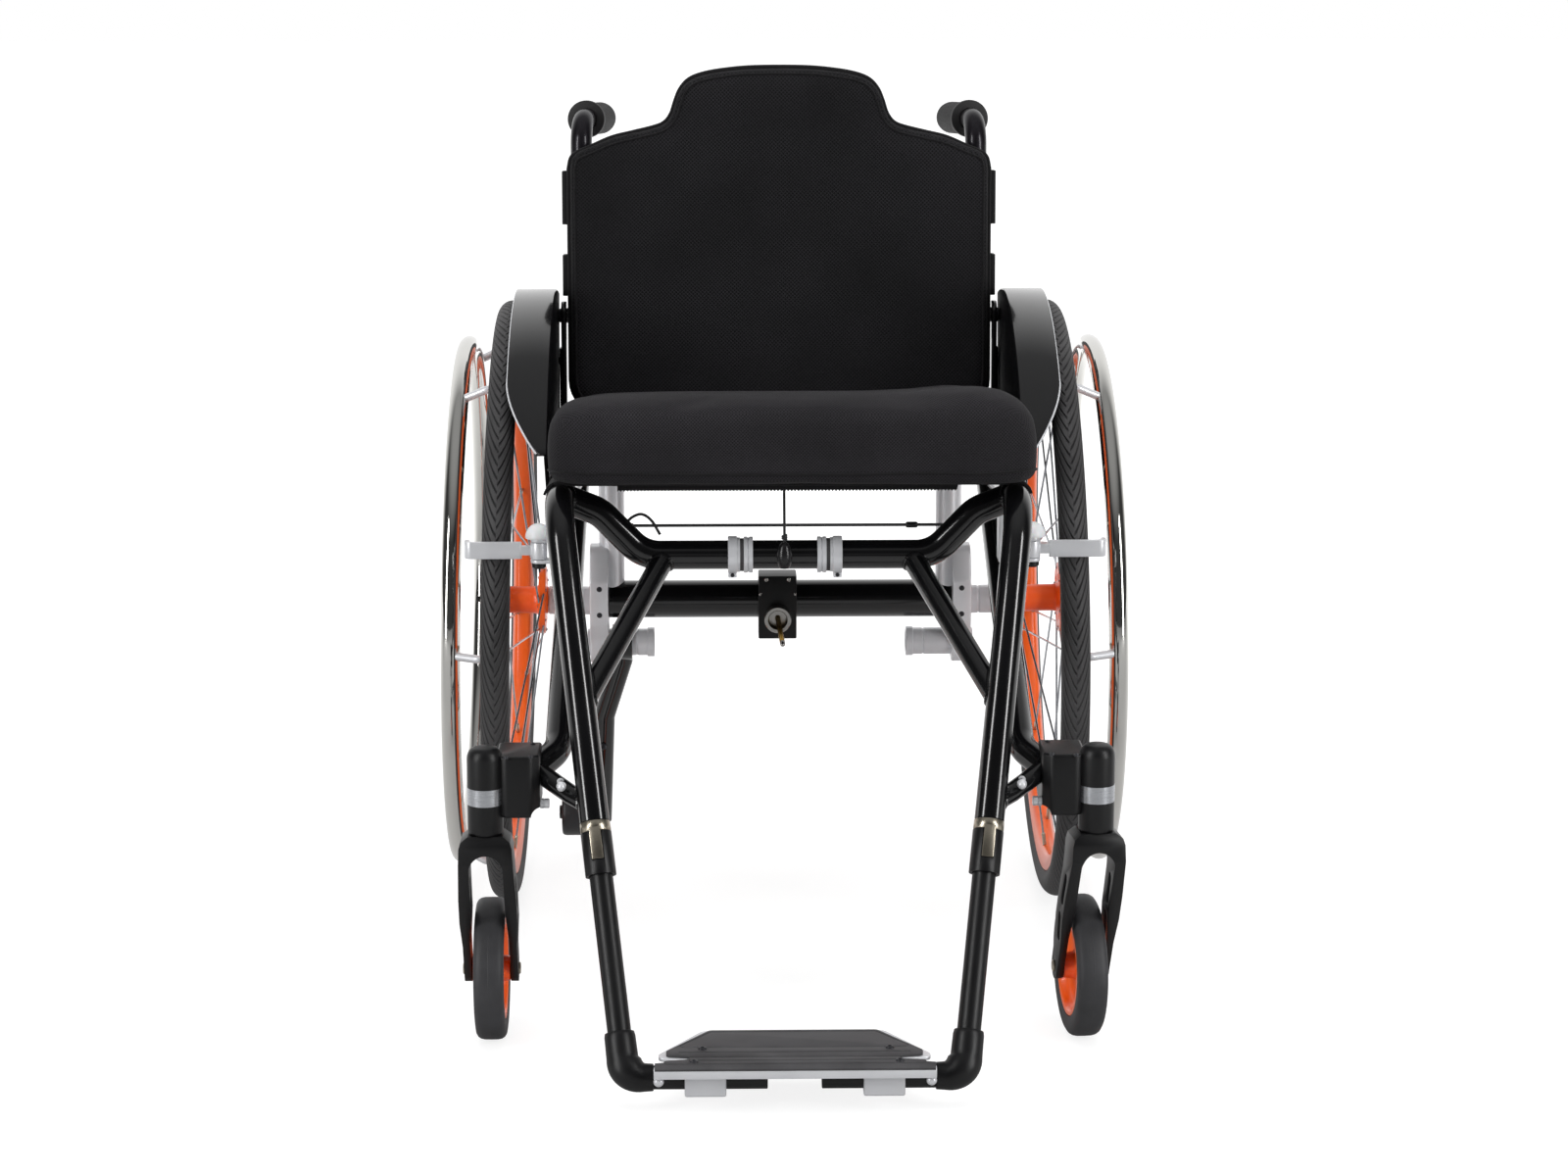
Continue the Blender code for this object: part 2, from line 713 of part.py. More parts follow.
def cross_tube(radius):
    """Dropped tube between the seat rails."""
    start = rail_at(CROSS_Y)
    half = [start] + [at(x, CROSS_Y, z) for x, z in CROSS_BENDS]
    path = half + [Vector((-point.x, point.y, point.z)) for point in reversed(half)]
    return tube(rounded(path, CROSS_BEND_R, 4), radius)


def front_cross_tube():
    body = cross_tube(CROSS_R)
    strut = rod(at(STRUT_X, CROSS_Y, CROSS_Z), leg_at(STRUT_DOWN), STRUT_R)
    body = union(body, strut, mirrored(strut))
    return cut(body, side_cutter(), mirrored(side_cutter()))


def tube_clamp(centre_x):
    """Split clamp ring with a groove and a screw lug below."""
    inner = bore(CROSS_R, 16)
    half = CLAMP_W / 2
    split = half - CLAMP_WIDE
    groove = CLAMP_R - 0.002
    narrow = CLAMP_R - 0.0005
    profile = [(CLAMP_R, -half), (CLAMP_R, -split), (groove, -split), (groove, CLAMP_SPLIT - split),
               (narrow, CLAMP_SPLIT - split), (narrow, half), (inner, half), (inner, -half)]
    place = Matrix.Translation(at(centre_x, CROSS_Y, CROSS_Z)) @ ALONG_X
    ring = turned(profile, 16, place, closed=True)
    width, depth, reach = CLAMP_LUG
    low = at(centre_x - half + 0.001, CROSS_Y - depth / 2, CROSS_Z - reach)
    high = at(centre_x - half + 0.001 + width, CROSS_Y + depth / 2, CROSS_Z - CLAMP_R + 0.001)
    return union(ring, block(low, high))


add('front_cross_tube', front_cross_tube(), 'black_lacquer')
for side, place_x in CLAMP_X.items():
    add('tube_clamp_' + side, tube_clamp(place_x), 'silver_anodised')


# Axle tube, carriers and centre socket

HUB = at(HALF_TRACK, 0.0, WHEEL_Z)
AXLE_DIR = Vector((math.cos(CAMBER), 0.0, math.sin(CAMBER)))
WHEEL_PLACE = Matrix.Translation(HUB) @ Matrix.Rotation(-CAMBER, 4, 'Y') @ ALONG_X


def axle_at(x):
    """Point on the tilted wheel axis at a distance from the chair's middle."""
    return HUB + AXLE_DIR * ((x - HALF_TRACK) / AXLE_DIR.x)


def axle_tube():
    half = AXLE_TUBE_END
    profile = [(AXLE_TUBE_R, half), (AXLE_TUBE_R, -half), (AXLE_TUBE_BORE, -half), (AXLE_TUBE_BORE, half)]
    return turned(profile, 20, Matrix.Translation(at(0, 0, WHEEL_Z)) @ ALONG_X, closed=True)


def axle_tube_cutter(low_x, high_x):
    return rod(at(low_x, 0, WHEEL_Z), at(high_x, 0, WHEEL_Z), bore(AXLE_TUBE_R, 20), 20)


def carrier_outline():
    """Side view of the carrier plate: round foot at the holder, wide middle, narrow top."""
    foot = HOLDER_R + HOLDER_WALL
    half = [(foot, HOLDER_Z - foot), (foot, HOLDER_Z + 0.006), (CARRIER_HALF_Y, HOLDER_Z + 0.024),
            (CARRIER_HALF_Y, WHEEL_Z + 0.023), (POST_R + 0.001, WHEEL_Z + CARRIER_RISE)]
    outline = half + [(-y, z) for y, z in reversed(half)]
    return rounded([(AXLE_Y + y, z, 0.0) for y, z in outline], 0.012, 2, closed=True)


def axle_carrier():
    """Plate with the axle boss, the post up to the seat rail and the holder tube below."""
    inner = AXLE_TUBE_END + GAP
    sheet = plate(carrier_outline(), inner, CARRIER_OUT, 'YZ')
    rail = rail_at(0.0)
    post = rod(at(POST_X, 0, WHEEL_Z + 0.010), at(POST_X, 0, POST_TOP_Z), POST_R)
    post = cut(post, axle_tube_cutter(POST_X - 2 * POST_R, POST_X + 2 * POST_R))
    head_low = at(POST_X - 0.008, -HEAD_HALF_Y, rail.z - HEAD_BOTTOM)
    head = block(head_low, at(HEAD_OUT_X, HEAD_HALF_Y, rail.z - 0.001))
    holder = rod(at(HOLDER_IN_X + 0.001, 0, HOLDER_Z), at(HOLDER_OUT_X, 0, HOLDER_Z), HOLDER_R)
    ring = rod(at(HOLDER_IN_X, 0, HOLDER_Z), at(HOLDER_IN_X + HOLDER_RING, 0, HOLDER_Z), HOLDER_RING_R)
    boss = rod(axle_at(CARRIER_OUT - 0.003), axle_at(BOSS_END), BOSS_R)
    body = union(sheet, post, head, holder, ring, boss)
    holder_hole = rod(at(HOLDER_IN_X - 0.01, 0, HOLDER_Z), at(HOLDER_OUT_X + 0.01, 0, HOLDER_Z), HOLDER_BORE)
    axle_hole = rod(axle_at(AXLE_TUBE_END - 0.02), axle_at(BOSS_END + 0.01), bore(AXLE_R))
    return cut(body, side_cutter(), holder_hole, axle_hole)


def coupling_socket():
    """Saddle plate in front of the axle tube with a cup that faces forward."""
    low_z, high_z = SOCKET_Z
    half = SOCKET_W / 2
    saddle = block(at(SOCKET_X - half, -SOCKET_FRONT, low_z), at(SOCKET_X + half, SOCKET_BACK, high_z))
    body = cut(saddle, axle_tube_cutter(-0.05, 0.05))
    start = -SOCKET_FRONT + 0.002
    cup = rod(at(SOCKET_X, start, CUP_Z), at(SOCKET_X, -SOCKET_FRONT - CUP_LENGTH, CUP_Z), CUP_R, 20)
    floor = at(SOCKET_X, -SOCKET_FRONT - CUP_FLOOR, CUP_Z)
    hollow = rod(floor, at(SOCKET_X, -SOCKET_FRONT - 0.05, CUP_Z), CUP_BORE, 20)
    return cut(union(body, cup), hollow)


def coupling_pin():
    """Brass pin that stands on the cup's floor and points forward and down."""
    lean = Vector((PIN_YAW, -1.0, -math.tan(PIN_SLOPE))).normalized()
    start = at(SOCKET_X, -SOCKET_FRONT - CUP_FLOOR - GAP - PIN_R * math.sin(PIN_SLOPE), CUP_Z)
    return rod(start, start + lean * PIN_LENGTH, PIN_R, 8)


add('axle_tube', axle_tube(), 'black_lacquer')
add_pair('axle_carrier', axle_carrier(), 'silver_anodised')
add('coupling_socket', coupling_socket(), 'satin_black')
add('coupling_pin', coupling_pin(), 'brass')


# Rear wheels: (radius, distance along the axle) profiles round the hub centre, outwards positive

def rear_tyre():
    middle = TYRE_R - TYRE_HALF_W
    profile = [(RIM_R + GAP, TYRE_SEAT_W)]
    for degrees in (90, 45, 0, -45, -90):
        turn = math.radians(degrees)
        profile.append((middle + TYRE_HALF_W * math.cos(turn), TYRE_HALF_W * math.sin(turn)))
    profile.append((RIM_R + GAP, -TYRE_SEAT_W))
    return turned(profile, WHEEL_SIDES, WHEEL_PLACE, closed=True)


def spoke(hub_angle, rim_angle, hub_along, rim_along):
    """Thin bar from a hub flange to the rim, in the wheel's own frame."""
    hub_radius = FLANGE_IN[2] - SPOKE_SEAT
    rim_radius = RIM_R - RIM_DEPTH + SPOKE_SEAT / 2
    start = (hub_radius * math.cos(hub_angle), hub_radius * math.sin(hub_angle), hub_along)
    end = (rim_radius * math.cos(rim_angle), rim_radius * math.sin(rim_angle), rim_along)
    return rod(start, end, SPOKE_R, 4)


def spokes():
    """Leading and trailing spokes on both flanges, crossing without touching."""
    made = []
    step = 2 * math.pi / SPOKE_SETS
    inner = (FLANGE_IN[0], FLANGE_IN[1], -1, 0.0)
    outer = (FLANGE_OUT[1], FLANGE_OUT[0], 1, step / 4)
    for low, high, outward, offset in (inner, outer):
        margin = (high - low) / 6
        for index in range(SPOKE_SETS):
            lead = index * step + offset
            trail = lead + step / 2
            made.append(spoke(lead, lead + SPOKE_SWEEP, low + margin, outward * RIM_LEAD))
            made.append(spoke(trail, trail - SPOKE_SWEEP, high - margin, outward * RIM_TRAIL))
    return joined(made)


def rear_wheel():
    half = RIM_HALF_W
    base = RIM_R - RIM_DEPTH
    rim = turned([(RIM_R, half), (RIM_R, -half), (RIM_R - 0.008, -half), (base, -half * 0.6),
                  (base, half * 0.6), (RIM_R - 0.008, half)], WHEEL_SIDES, closed=True)
    hole = bore(AXLE_R, HUB_SIDES)
    profile = [(HUB_R, HUB_OUTER)]
    for low, high, radius in (FLANGE_OUT, FLANGE_IN):
        profile += [(HUB_R, high), (radius, high), (radius, low), (HUB_R, low)]
    profile += [(HUB_R, HUB_INNER), (hole, HUB_INNER), (hole, HUB_OUTER)]
    hub = turned(profile, HUB_SIDES, closed=True)
    return placed(union(joined([rim, hub]), spokes()), WHEEL_PLACE)


def handrim():
    profile = []
    for index in range(8):
        turn = 2 * math.pi * index / 8
        radius = HANDRIM_R + HANDRIM_TUBE * math.cos(turn)
        profile.append((radius, HANDRIM_OUT + HANDRIM_TUBE * math.sin(turn)))
    ring = turned(profile, WHEEL_SIDES, closed=True)
    tabs = []
    for index in range(TAB_COUNT):
        turn = math.radians(-90) + 2 * math.pi * index / TAB_COUNT
        out = Vector((math.cos(turn), math.sin(turn), 0.0))
        foot = out * TAB_CIRCLE + Vector((0, 0, RIM_HALF_W + GAP))
        knee = out * TAB_CIRCLE + Vector((0, 0, RIM_HALF_W + 0.006))
        head = out * HANDRIM_R + Vector((0, 0, HANDRIM_OUT))
        tabs.append(tube([foot, knee, head], TAB_R, 6))
    return placed(union(ring, joined(tabs)), WHEEL_PLACE)


AXLE_END = HUB_OUTER + GAP + AXLE_HEAD
BUTTON_REST = AXLE_END - (BUTTON_DEPTH - BUTTON_TRAVEL - GAP)


def quick_axle():
    head = HUB_OUTER + GAP
    tail = HUB_OUTER - AXLE_LENGTH
    hole = bore(BUTTON_R)
    floor = AXLE_END - BUTTON_DEPTH
    profile = [(0.0, floor), (hole, floor), (hole, AXLE_END), (AXLE_HEAD_R, AXLE_END),
               (AXLE_HEAD_R, head), (AXLE_R, head), (AXLE_R, tail), (0.0, tail)]
    return turned(profile, 12, WHEEL_PLACE)


def axle_button():
    top = AXLE_END + BUTTON_PROUD
    return turned([(0.0, top), (BUTTON_R, top), (BUTTON_R, BUTTON_REST), (0.0, BUTTON_REST)], 12, WHEEL_PLACE)


add_pair('rear_tyre', rear_tyre(), 'tyre_rubber', HUB)
add_pair('rear_wheel', rear_wheel(), 'orange_lacquer', HUB)
add_pair('handrim', handrim(), 'polished_steel', HUB)
add_pair('quick_axle', quick_axle(), 'polished_steel', HUB)
add_pair('axle_button', axle_button(), 'satin_black', HUB + AXLE_DIR * AXLE_END)


# Castors

def castor_housing():
    top = HOUSING_TOP
    profile = [(0.0, top), (HOUSING_R * 0.55, top - 0.0010), (HOUSING_R * 0.87, top - 0.0040),
               (HOUSING_R, top - 0.0090), (HOUSING_R, HOUSING_BOTTOM), (0.0, HOUSING_BOTTOM)]
    barrel = turned(profile, 20, Matrix.Translation(at(STEM_X, STEM_Y, 0)))
    low = at(BRACKET_IN_X, BRACKET_Y[0], BRACKET_Z[0])
    high = at(STEM_X - 0.0133, BRACKET_Y[1], BRACKET_Z[1])
    bracket = block(low, high, BRACKET_CHAMFER)
    stem_top = at(STEM_X, STEM_Y, HOUSING_BOTTOM + STEM_UP + 0.003)
    hole = rod(at(STEM_X, STEM_Y, HOUSING_BOTTOM - 0.01), stem_top, bore(STEM_R))
    return cut(union(barrel, bracket), hole)


def capsule(start, end, radius, steps=4):
    """Flat outline with two round ends."""
    start, end = Vector(start), Vector(end)
    heading = math.atan2(end.y - start.y, end.x - start.x)
    outline = []
    for centre, first in ((end, heading - math.pi / 2), (start, heading + math.pi / 2)):
        for step in range(steps + 1):
            turn = first + math.pi * step / steps
            outline.append((centre.x + radius * math.cos(turn), centre.y + radius * math.sin(turn)))
    return outline


def castor_fork():
    """Fork in its own frame: the stem stands at x = y = 0 and the wheel trails along +y."""
    top = HOUSING_BOTTOM - GAP
    tip = CASTOR_R - FORK_TIP_R
    half = [(FORK_TOP_HALF, top), (FORK_HALF_W, FORK_SHOULDER_Z), (FORK_HALF_W, 0.115), (FORK_LOW_HALF, 0.090),
            (FORK_LOW_HALF, tip - 0.01), (FORK_GAP_LOW, tip - 0.01), (FORK_GAP_LOW, 0.095),
            (FORK_GAP_TOP, 0.125), (FORK_GAP_TOP, FORK_ARCH_Z - 0.016), (FORK_GAP_TOP * 0.55, FORK_ARCH_Z)]
    front = plate(half + [(-x, z) for x, z in reversed(half)], -0.05, 0.10, 'XZ')
    side = [(-FORK_TOP_Y, top), (-FORK_TOP_Y, FORK_ARCH_Z)]
    for degrees in range(195, 391, 28):
        turn = math.radians(degrees)
        side.append((TRAIL + FORK_TIP_R * math.cos(turn), CASTOR_R + FORK_TIP_R * math.sin(turn)))
    side += [(0.0200, 0.168), (FORK_TOP_Y, top)]
    body = boolean(plate(side, -0.03, 0.03, 'YZ'), [front], 'INTERSECT')
    stem = rod((0, 0, FORK_ARCH_Z + 0.010), (0, 0, HOUSING_BOTTOM + STEM_UP), STEM_R)
    hole = rod((-0.04, TRAIL, CASTOR_R), (0.04, TRAIL, CASTOR_R), bore(CASTOR_BOLT_R))
    slots = [plate(capsule(low, high, FORK_SLOT_R), -0.04, 0.04, 'YZ') for low, high in FORK_SLOTS]
    return cut(union(body, stem), hole, joined(slots))


def castor_tyre():
    half = CASTOR_HALF_W
    profile = [(CASTOR_RIM_R + GAP, half - 0.0010), (CASTOR_R - 0.0065, half),
               (CASTOR_R - 0.0018, half - 0.0030), (CASTOR_R, half - 0.0090)]
    profile += [(radius, -along) for radius, along in reversed(profile)]
    return turned(profile, CASTOR_SIDES, closed=True)


def castor_rim():
    half = CASTOR_HALF_W - 0.0015
    hub_half = FORK_GAP_LOW - SLIDE_GAP
    hole = bore(CASTOR_BOLT_R, CASTOR_SIDES)
    outer = [(CASTOR_RIM_R, half), (CASTOR_RIM_R - 0.0050, half), (CASTOR_RIM_R - 0.0070, CASTOR_WEB),
             (CASTOR_HUB_R, CASTOR_WEB), (CASTOR_HUB_R - 0.001, hub_half), (hole, hub_half)]
    return turned(outer + [(radius, -along) for radius, along in reversed(outer)], CASTOR_SIDES, closed=True)


def castor_axle():
    flank = FORK_LOW_HALF + GAP
    end = flank + 0.0025
    profile = [(0.0, end), (CASTOR_BOLT_HEAD, end), (CASTOR_BOLT_HEAD, flank), (CASTOR_BOLT_R, flank)]
    return turned(profile + [(radius, -along) for radius, along in reversed(profile)], 12)


for side, sign in (('R', 1), ('L', -1)):
    stem_place = Matrix.Translation(at(sign * STEM_X, STEM_Y, 0)) @ Matrix.Rotation(CASTOR_TURN[side], 4, 'Z')
    wheel_place = stem_place @ Matrix.Translation((0, TRAIL, CASTOR_R)) @ ALONG_X
    centre = wheel_place.translation
    stem_foot = at(sign * STEM_X, STEM_Y, HOUSING_BOTTOM)
    add('castor_fork_' + side, placed(castor_fork(), stem_place), 'satin_black', stem_foot)
    add('castor_tyre_' + side, placed(castor_tyre(), wheel_place), 'castor_rubber', centre)
    add('castor_rim_' + side, placed(castor_rim(), wheel_place), 'orange_lacquer', centre)
    add('castor_axle_' + side, placed(castor_axle(), wheel_place), 'nickel', centre)
add_pair('castor_housing', castor_housing(), 'satin_black')


# Brakes

def brake_bar_rear():
    """Rear face of the bar: just clear of the tyre at the bar's lower edge."""
    rise = BRAKE_BAR_Z[0] - WHEEL_Z
    return -math.sqrt(TYRE_R ** 2 - rise ** 2) - 2 * GAP


BRAKE_REAR_Y = brake_bar_rear()
BRAKE_PIVOT_Y = BRAKE_REAR_Y - BRAKE_BAR_T / 2


def brake_clamp():
    """Block under the seat rail with two ears, the pivot bolt, its dome head above and its knob below."""
    low_z, high_z = BRAKE_BAR_Z
    rail = rail_at(BRAKE_PIVOT_Y)
    in_x, out_x = BRAKE_BLOCK_X
    front, back = BRAKE_PIVOT_Y - BRAKE_BLOCK_Y, BRAKE_PIVOT_Y + BRAKE_BLOCK_Y
    body = block(at(in_x, front, low_z - BRAKE_EAR_T), at(out_x, back, rail.z - BRAKE_BLOCK_TOP))
    for ear_z in (low_z - BRAKE_EAR_T, high_z):
        gap = -GAP if ear_z < low_z else GAP
        ear_y = AXLE_Y + BRAKE_PIVOT_Y
        outline = capsule((out_x - 0.008, ear_y), (BRAKE_PIVOT_X, ear_y), BRAKE_EYE_R)
        body = union(body, plate(outline, ear_z + gap, ear_z + gap + BRAKE_EAR_T, 'XY'))
    foot = at(BRAKE_PIVOT_X, BRAKE_PIVOT_Y, low_z - 0.002)
    bolt = rod(foot, at(BRAKE_PIVOT_X, BRAKE_PIVOT_Y, high_z + 0.002), BRAKE_PIN_R)
    top = high_z + GAP + BRAKE_EAR_T
    dome = turned([(0.0, top + 0.0085), (BRAKE_DOME_R * 0.6, top + 0.0070), (BRAKE_DOME_R * 0.92, top + 0.0035),
                   (BRAKE_DOME_R * 0.97, top - 0.001), (0.0, top - 0.001)], 16,
                  Matrix.Translation(at(BRAKE_PIVOT_X, BRAKE_PIVOT_Y, 0)))
    under = low_z - GAP - BRAKE_EAR_T
    knob = rod(at(BRAKE_PIVOT_X, BRAKE_PIVOT_Y, under + 0.001), at(BRAKE_PIVOT_X, BRAKE_PIVOT_Y, under - 0.005),
               BRAKE_KNOB_R)
    return cut(union(body, bolt, dome, knob), side_cutter())


def brake_arm():
    """Flat bar on its eye, with the outer end hooked back round the tyre's shoulder."""
    low_z, high_z = BRAKE_BAR_Z
    rear = AXLE_Y + BRAKE_REAR_Y
    front = rear - BRAKE_BAR_T
    knee = BRAKE_BAR_END - 0.009
    outline = [(BRAKE_PIVOT_X, front), (knee + 0.001, front), (BRAKE_BAR_END, front + 0.007),
               (BRAKE_BAR_END, rear + BRAKE_HOOK), (BRAKE_BAR_END - 0.004, rear + BRAKE_HOOK),
               (BRAKE_BAR_END - 0.005, rear + 0.004), (knee - 0.001, rear), (BRAKE_PIVOT_X, rear)]
    eye = rod(at(BRAKE_PIVOT_X, BRAKE_PIVOT_Y, low_z), at(BRAKE_PIVOT_X, BRAKE_PIVOT_Y, high_z), BRAKE_EYE_R)
    body = union(plate(outline, low_z + GAP, high_z - GAP, 'XY'), eye)
    hole = rod(at(BRAKE_PIVOT_X, BRAKE_PIVOT_Y, low_z - 0.01), at(BRAKE_PIVOT_X, BRAKE_PIVOT_Y, high_z + 0.01),
               bore(BRAKE_PIN_R))
    return cut(body, hole)


add_pair('brake_clamp', brake_clamp(), 'silver_anodised')
add_pair('brake_arm', brake_arm(), 'silver_anodised', at(BRAKE_PIVOT_X, BRAKE_PIVOT_Y, BRAKE_BAR_Z[0]))


# Side guards

def guard_point(radius, angle):
    """Point (y, z) on a circle round the rear axle, angle from the top towards the front."""
    return AXLE_Y - radius * math.sin(angle), WHEEL_Z + radius * math.cos(angle)


def arc_points(radius, start, end, steps):
    return [guard_point(radius, start + (end - start) * step / steps) for step in range(steps + 1)]


def side_guard():
    """Upright panel beside the cushion with a mudguard strip over the tyre, bolted to the seat rail."""
    outer_face = GUARD_IN_X + GUARD_T
    outline = arc_points(FENDER_R - FENDER_T / 2, FENDER_BACK, FENDER_FRONT, 12)
    outline += [(AXLE_Y + y, z) for y, z in (GUARD_LOW_FRONT, GUARD_LOW_REAR)]
    panel = plate(outline, GUARD_IN_X, outer_face, 'YZ')
    strip = arc_points(FENDER_R, FENDER_BACK + 0.004, FENDER_FRONT - 0.01, 12)
    strip += list(reversed(arc_points(FENDER_R - FENDER_T, FENDER_BACK + 0.004, FENDER_FRONT - 0.01, 12)))
    fender = plate(strip, GUARD_IN_X + 0.001, FENDER_OUT_X, 'YZ')
    full_y = guard_point(FENDER_R, FENDER_FULL)[0]
    front_y = guard_point(FENDER_R, FENDER_FRONT)[0]
    mid_x = (FENDER_OUT_X + outer_face) / 2 + 0.006
    beyond = FENDER_OUT_X + 0.02
    taper = [(beyond, full_y), (FENDER_OUT_X - 0.0005, full_y), (mid_x, (full_y + front_y) / 2),
             (outer_face + 0.0005, front_y), (outer_face + 0.0005, front_y - 0.05), (beyond, front_y - 0.05)]
    wedge = plate(taper, WHEEL_Z, WHEEL_Z + FENDER_R + 0.02, 'XY')
    body = cut(union(panel, fender), wedge)
    for y in GUARD_BOSS_Y:
        height = rail_at(y).z - GUARD_BOSS_DROP
        body = union(body, rod(at(rail_at(y).x, y, height), at(GUARD_IN_X + 0.001, y, height), GUARD_BOSS_R))
    return cut(body, side_cutter())


add_pair('side_guard', side_guard(), 'black_lacquer')


# Backrest: modelled upright round its pivot, then leaned back; the upright frame's y and z start at the pivot

PIVOT = at(0.0, *BACK_PIVOT)
BACK_PLACE = Matrix.Translation(PIVOT) @ Matrix.Rotation(-RECLINE, 4, 'X')


def back_post():
    """Hinge plate outside the rail's rear end: its foot holds the rail, its pin and spacer carry the cane."""
    outer = POST_INNER_X + POST_T
    low_z, high_z = POST_FOOT_Z
    front, back = PIVOT.y - POST_HALF_Y, PIVOT.y + POST_HALF_Y
    foot = block((POST_FOOT_X, front, low_z), (outer, back, high_z))
    outline = capsule((PIVOT.y, low_z + POST_HALF_Y), (PIVOT.y, PIVOT.z), POST_HALF_Y)
    upright = plate(outline, POST_INNER_X, outer, 'YZ')
    rib = block((outer - 0.001, PIVOT.y - POST_RIB_HALF_Y, low_z + 0.002),
                (outer + POST_RIB_T, PIVOT.y + POST_RIB_HALF_Y, POST_RIB_TOP))
    pin = rod((CANE_X - CANE_R - 0.003, PIVOT.y, PIVOT.z), (outer - 0.001, PIVOT.y, PIVOT.z), POST_PIN_R)
    spacer_in = CANE_X + CANE_R + SLIDE_GAP
    spacer = rod((spacer_in, PIVOT.y, PIVOT.z), (outer - 0.002, PIVOT.y, PIVOT.z), POST_SPACER_R)
    return cut(union(foot, upright, rib, pin, spacer), side_cutter())


GRIP_DIR = Vector((-GRIP_TILT_IN, GRIP_LENGTH, 0.0)).normalized()


def back_cane():
    """Bent upright whose rear end carries the push grip."""
    corner = Vector((CANE_X, 0.0, CANE_TOP))
    end = corner + GRIP_DIR * (GRIP_START + GRIP_LENGTH - 0.004)
    bar = tube(rounded([(CANE_X, 0.0, -CANE_BELOW), corner, end], CANE_BEND_R, 4), CANE_R, 12)
    hole = rod((CANE_X - 0.02, 0, 0), (CANE_X + 0.02, 0, 0), bore(POST_PIN_R))
    return placed(cut(bar, hole), BACK_PLACE)


def push_grip():
    """Sleeve over the cane's end with a flange in front and a closed, rounded end."""
    length = GRIP_LENGTH
    hole = bore(CANE_R, GRIP_SIDES)
    profile = [(0.0, length), (GRIP_R * 0.75, length - 0.0008), (GRIP_R, length - 0.006), (GRIP_R, 0.012),
               (GRIP_FLANGE_R, 0.007), (GRIP_FLANGE_R, 0.001), (GRIP_FLANGE_R - 0.001, 0.0), (hole, 0.0),
               (hole, length - 0.0035), (0.0, length - 0.0035)]
    start = Vector((CANE_X, 0.0, CANE_TOP)) + GRIP_DIR * GRIP_START
    turn = GRIP_DIR.to_track_quat('Z', 'Y').to_matrix().to_4x4()
    return turned(profile, GRIP_SIDES, BACK_PLACE @ Matrix.Translation(start) @ turn)


def back_outline(shrink):
    """Front view of the backrest: straight sides, sloping shoulders, a raised middle."""
    side = BACK_HALF_X - shrink
    low = BACK_LOW + shrink
    base = rounded([(side, 0.0, 0.0), (side, low, 0.0), (-side, low, 0.0), (-side, 0.0, 0.0)], BACK_LOW_R, 3)
    half = [(x - shrink * (x > 0.01), z - shrink) for x, z in BACK_OUTLINE]
    points = [(side, 0.0)] + half + [(-x, z) for x, z in reversed(half[:-1])] + [(-side, 0.0)]
    crown = rounded([(x, z, 0.0) for x, z in points], BACK_TOP_R, 2)
    return crown + list(reversed(base))[1:-1]


def loft(rings):
    """Closed skin through rings of equally many points, with flat or fanned ends."""
    shape = bmesh.new()
    rows = [[shape.verts.new(point) for point in ring] for ring in rings]
    count = len(rows[0])
    for first, second in zip(rows, rows[1:]):
        for index in range(count):
            following = (index + 1) % count
            shape.faces.new((first[index], first[following], second[following], second[index]))
    shape.faces.new(rows[0])
    shape.faces.new(rows[-1])
    bmesh.ops.recalc_face_normals(shape, faces=shape.faces)
    return from_bmesh(shape)


def ring_at(outline, inset, depth):
    """One ring of the back pad: the outline drawn in towards its middle, at a depth behind the front face."""
    middle_z = (BACK_LOW + BACK_OUTLINE[-1][1]) / 2
    half_z = (BACK_OUTLINE[-1][1] - BACK_LOW) / 2
    width = 1 - inset / BACK_HALF_X
    height = 1 - inset / half_z
    return [(x * width, depth, middle_z + (z - middle_z) * height) for x, z in outline]


def back_cushion():
    """Thin pad with rounded edges and a slightly crowned front."""
    outline = [(point.x, point.y) for point in back_outline(0.0)]
    back = -CANE_R - SHELL_GAP - SHELL_T - GAP
    front = back - PAD_T
    rings = [ring_at(outline, 0.003, back), ring_at(outline, 0.0, back - 0.004),
             ring_at(outline, 0.0, front + 0.007), ring_at(outline, 0.002, front + 0.003),
             ring_at(outline, 0.007, front + 0.0012), ring_at(outline, 0.060, front)]
    return placed(loft(rings), BACK_PLACE)


def back_shell():
    """Stretched back behind the pad, with bands that wrap both canes."""
    rear = -CANE_R - SHELL_GAP
    outline = [(point.x, point.y) for point in back_outline(BACK_SHRINK)]
    sheet = plate(outline, rear - SHELL_T, rear, 'XZ')
    outer = SHELL_BAND_X
    inner = outer - SHELL_BAND_T
    front = rear - SHELL_T + 0.0010
    behind = CANE_R + SHELL_GAP
    start = BACK_HALF_X - 0.012
    end = CANE_X - 0.008
    path = [(start, front), (outer, front), (outer, behind + SHELL_BAND_T), (end, behind + SHELL_BAND_T),
            (end, behind), (inner, behind), (inner, front + SHELL_BAND_T), (start, front + SHELL_BAND_T)]
    bands = []
    for low, high in SHELL_BAND_Z:
        band = plate(path, low, high, 'XY')
        bands += [band, mirrored(band)]
    return placed(union(sheet, joined(bands)), BACK_PLACE)


add_pair('back_post', back_post(), 'black_lacquer')
add_pair('back_cane', back_cane(), 'grey_metallic', (CANE_X, PIVOT.y, PIVOT.z))
add_pair('push_grip', push_grip(), 'grip_rubber', (CANE_X, PIVOT.y, PIVOT.z))
add('back_shell', back_shell(), 'satin_black', PIVOT)
add('back_cushion', back_cushion(), 'mesh_cloth', PIVOT)


# Seat

def sling_under(y):
    """Height of the sling's underside over the middle of the seat."""
    return rail_at(y).z + TUBE_R + 2 * GAP


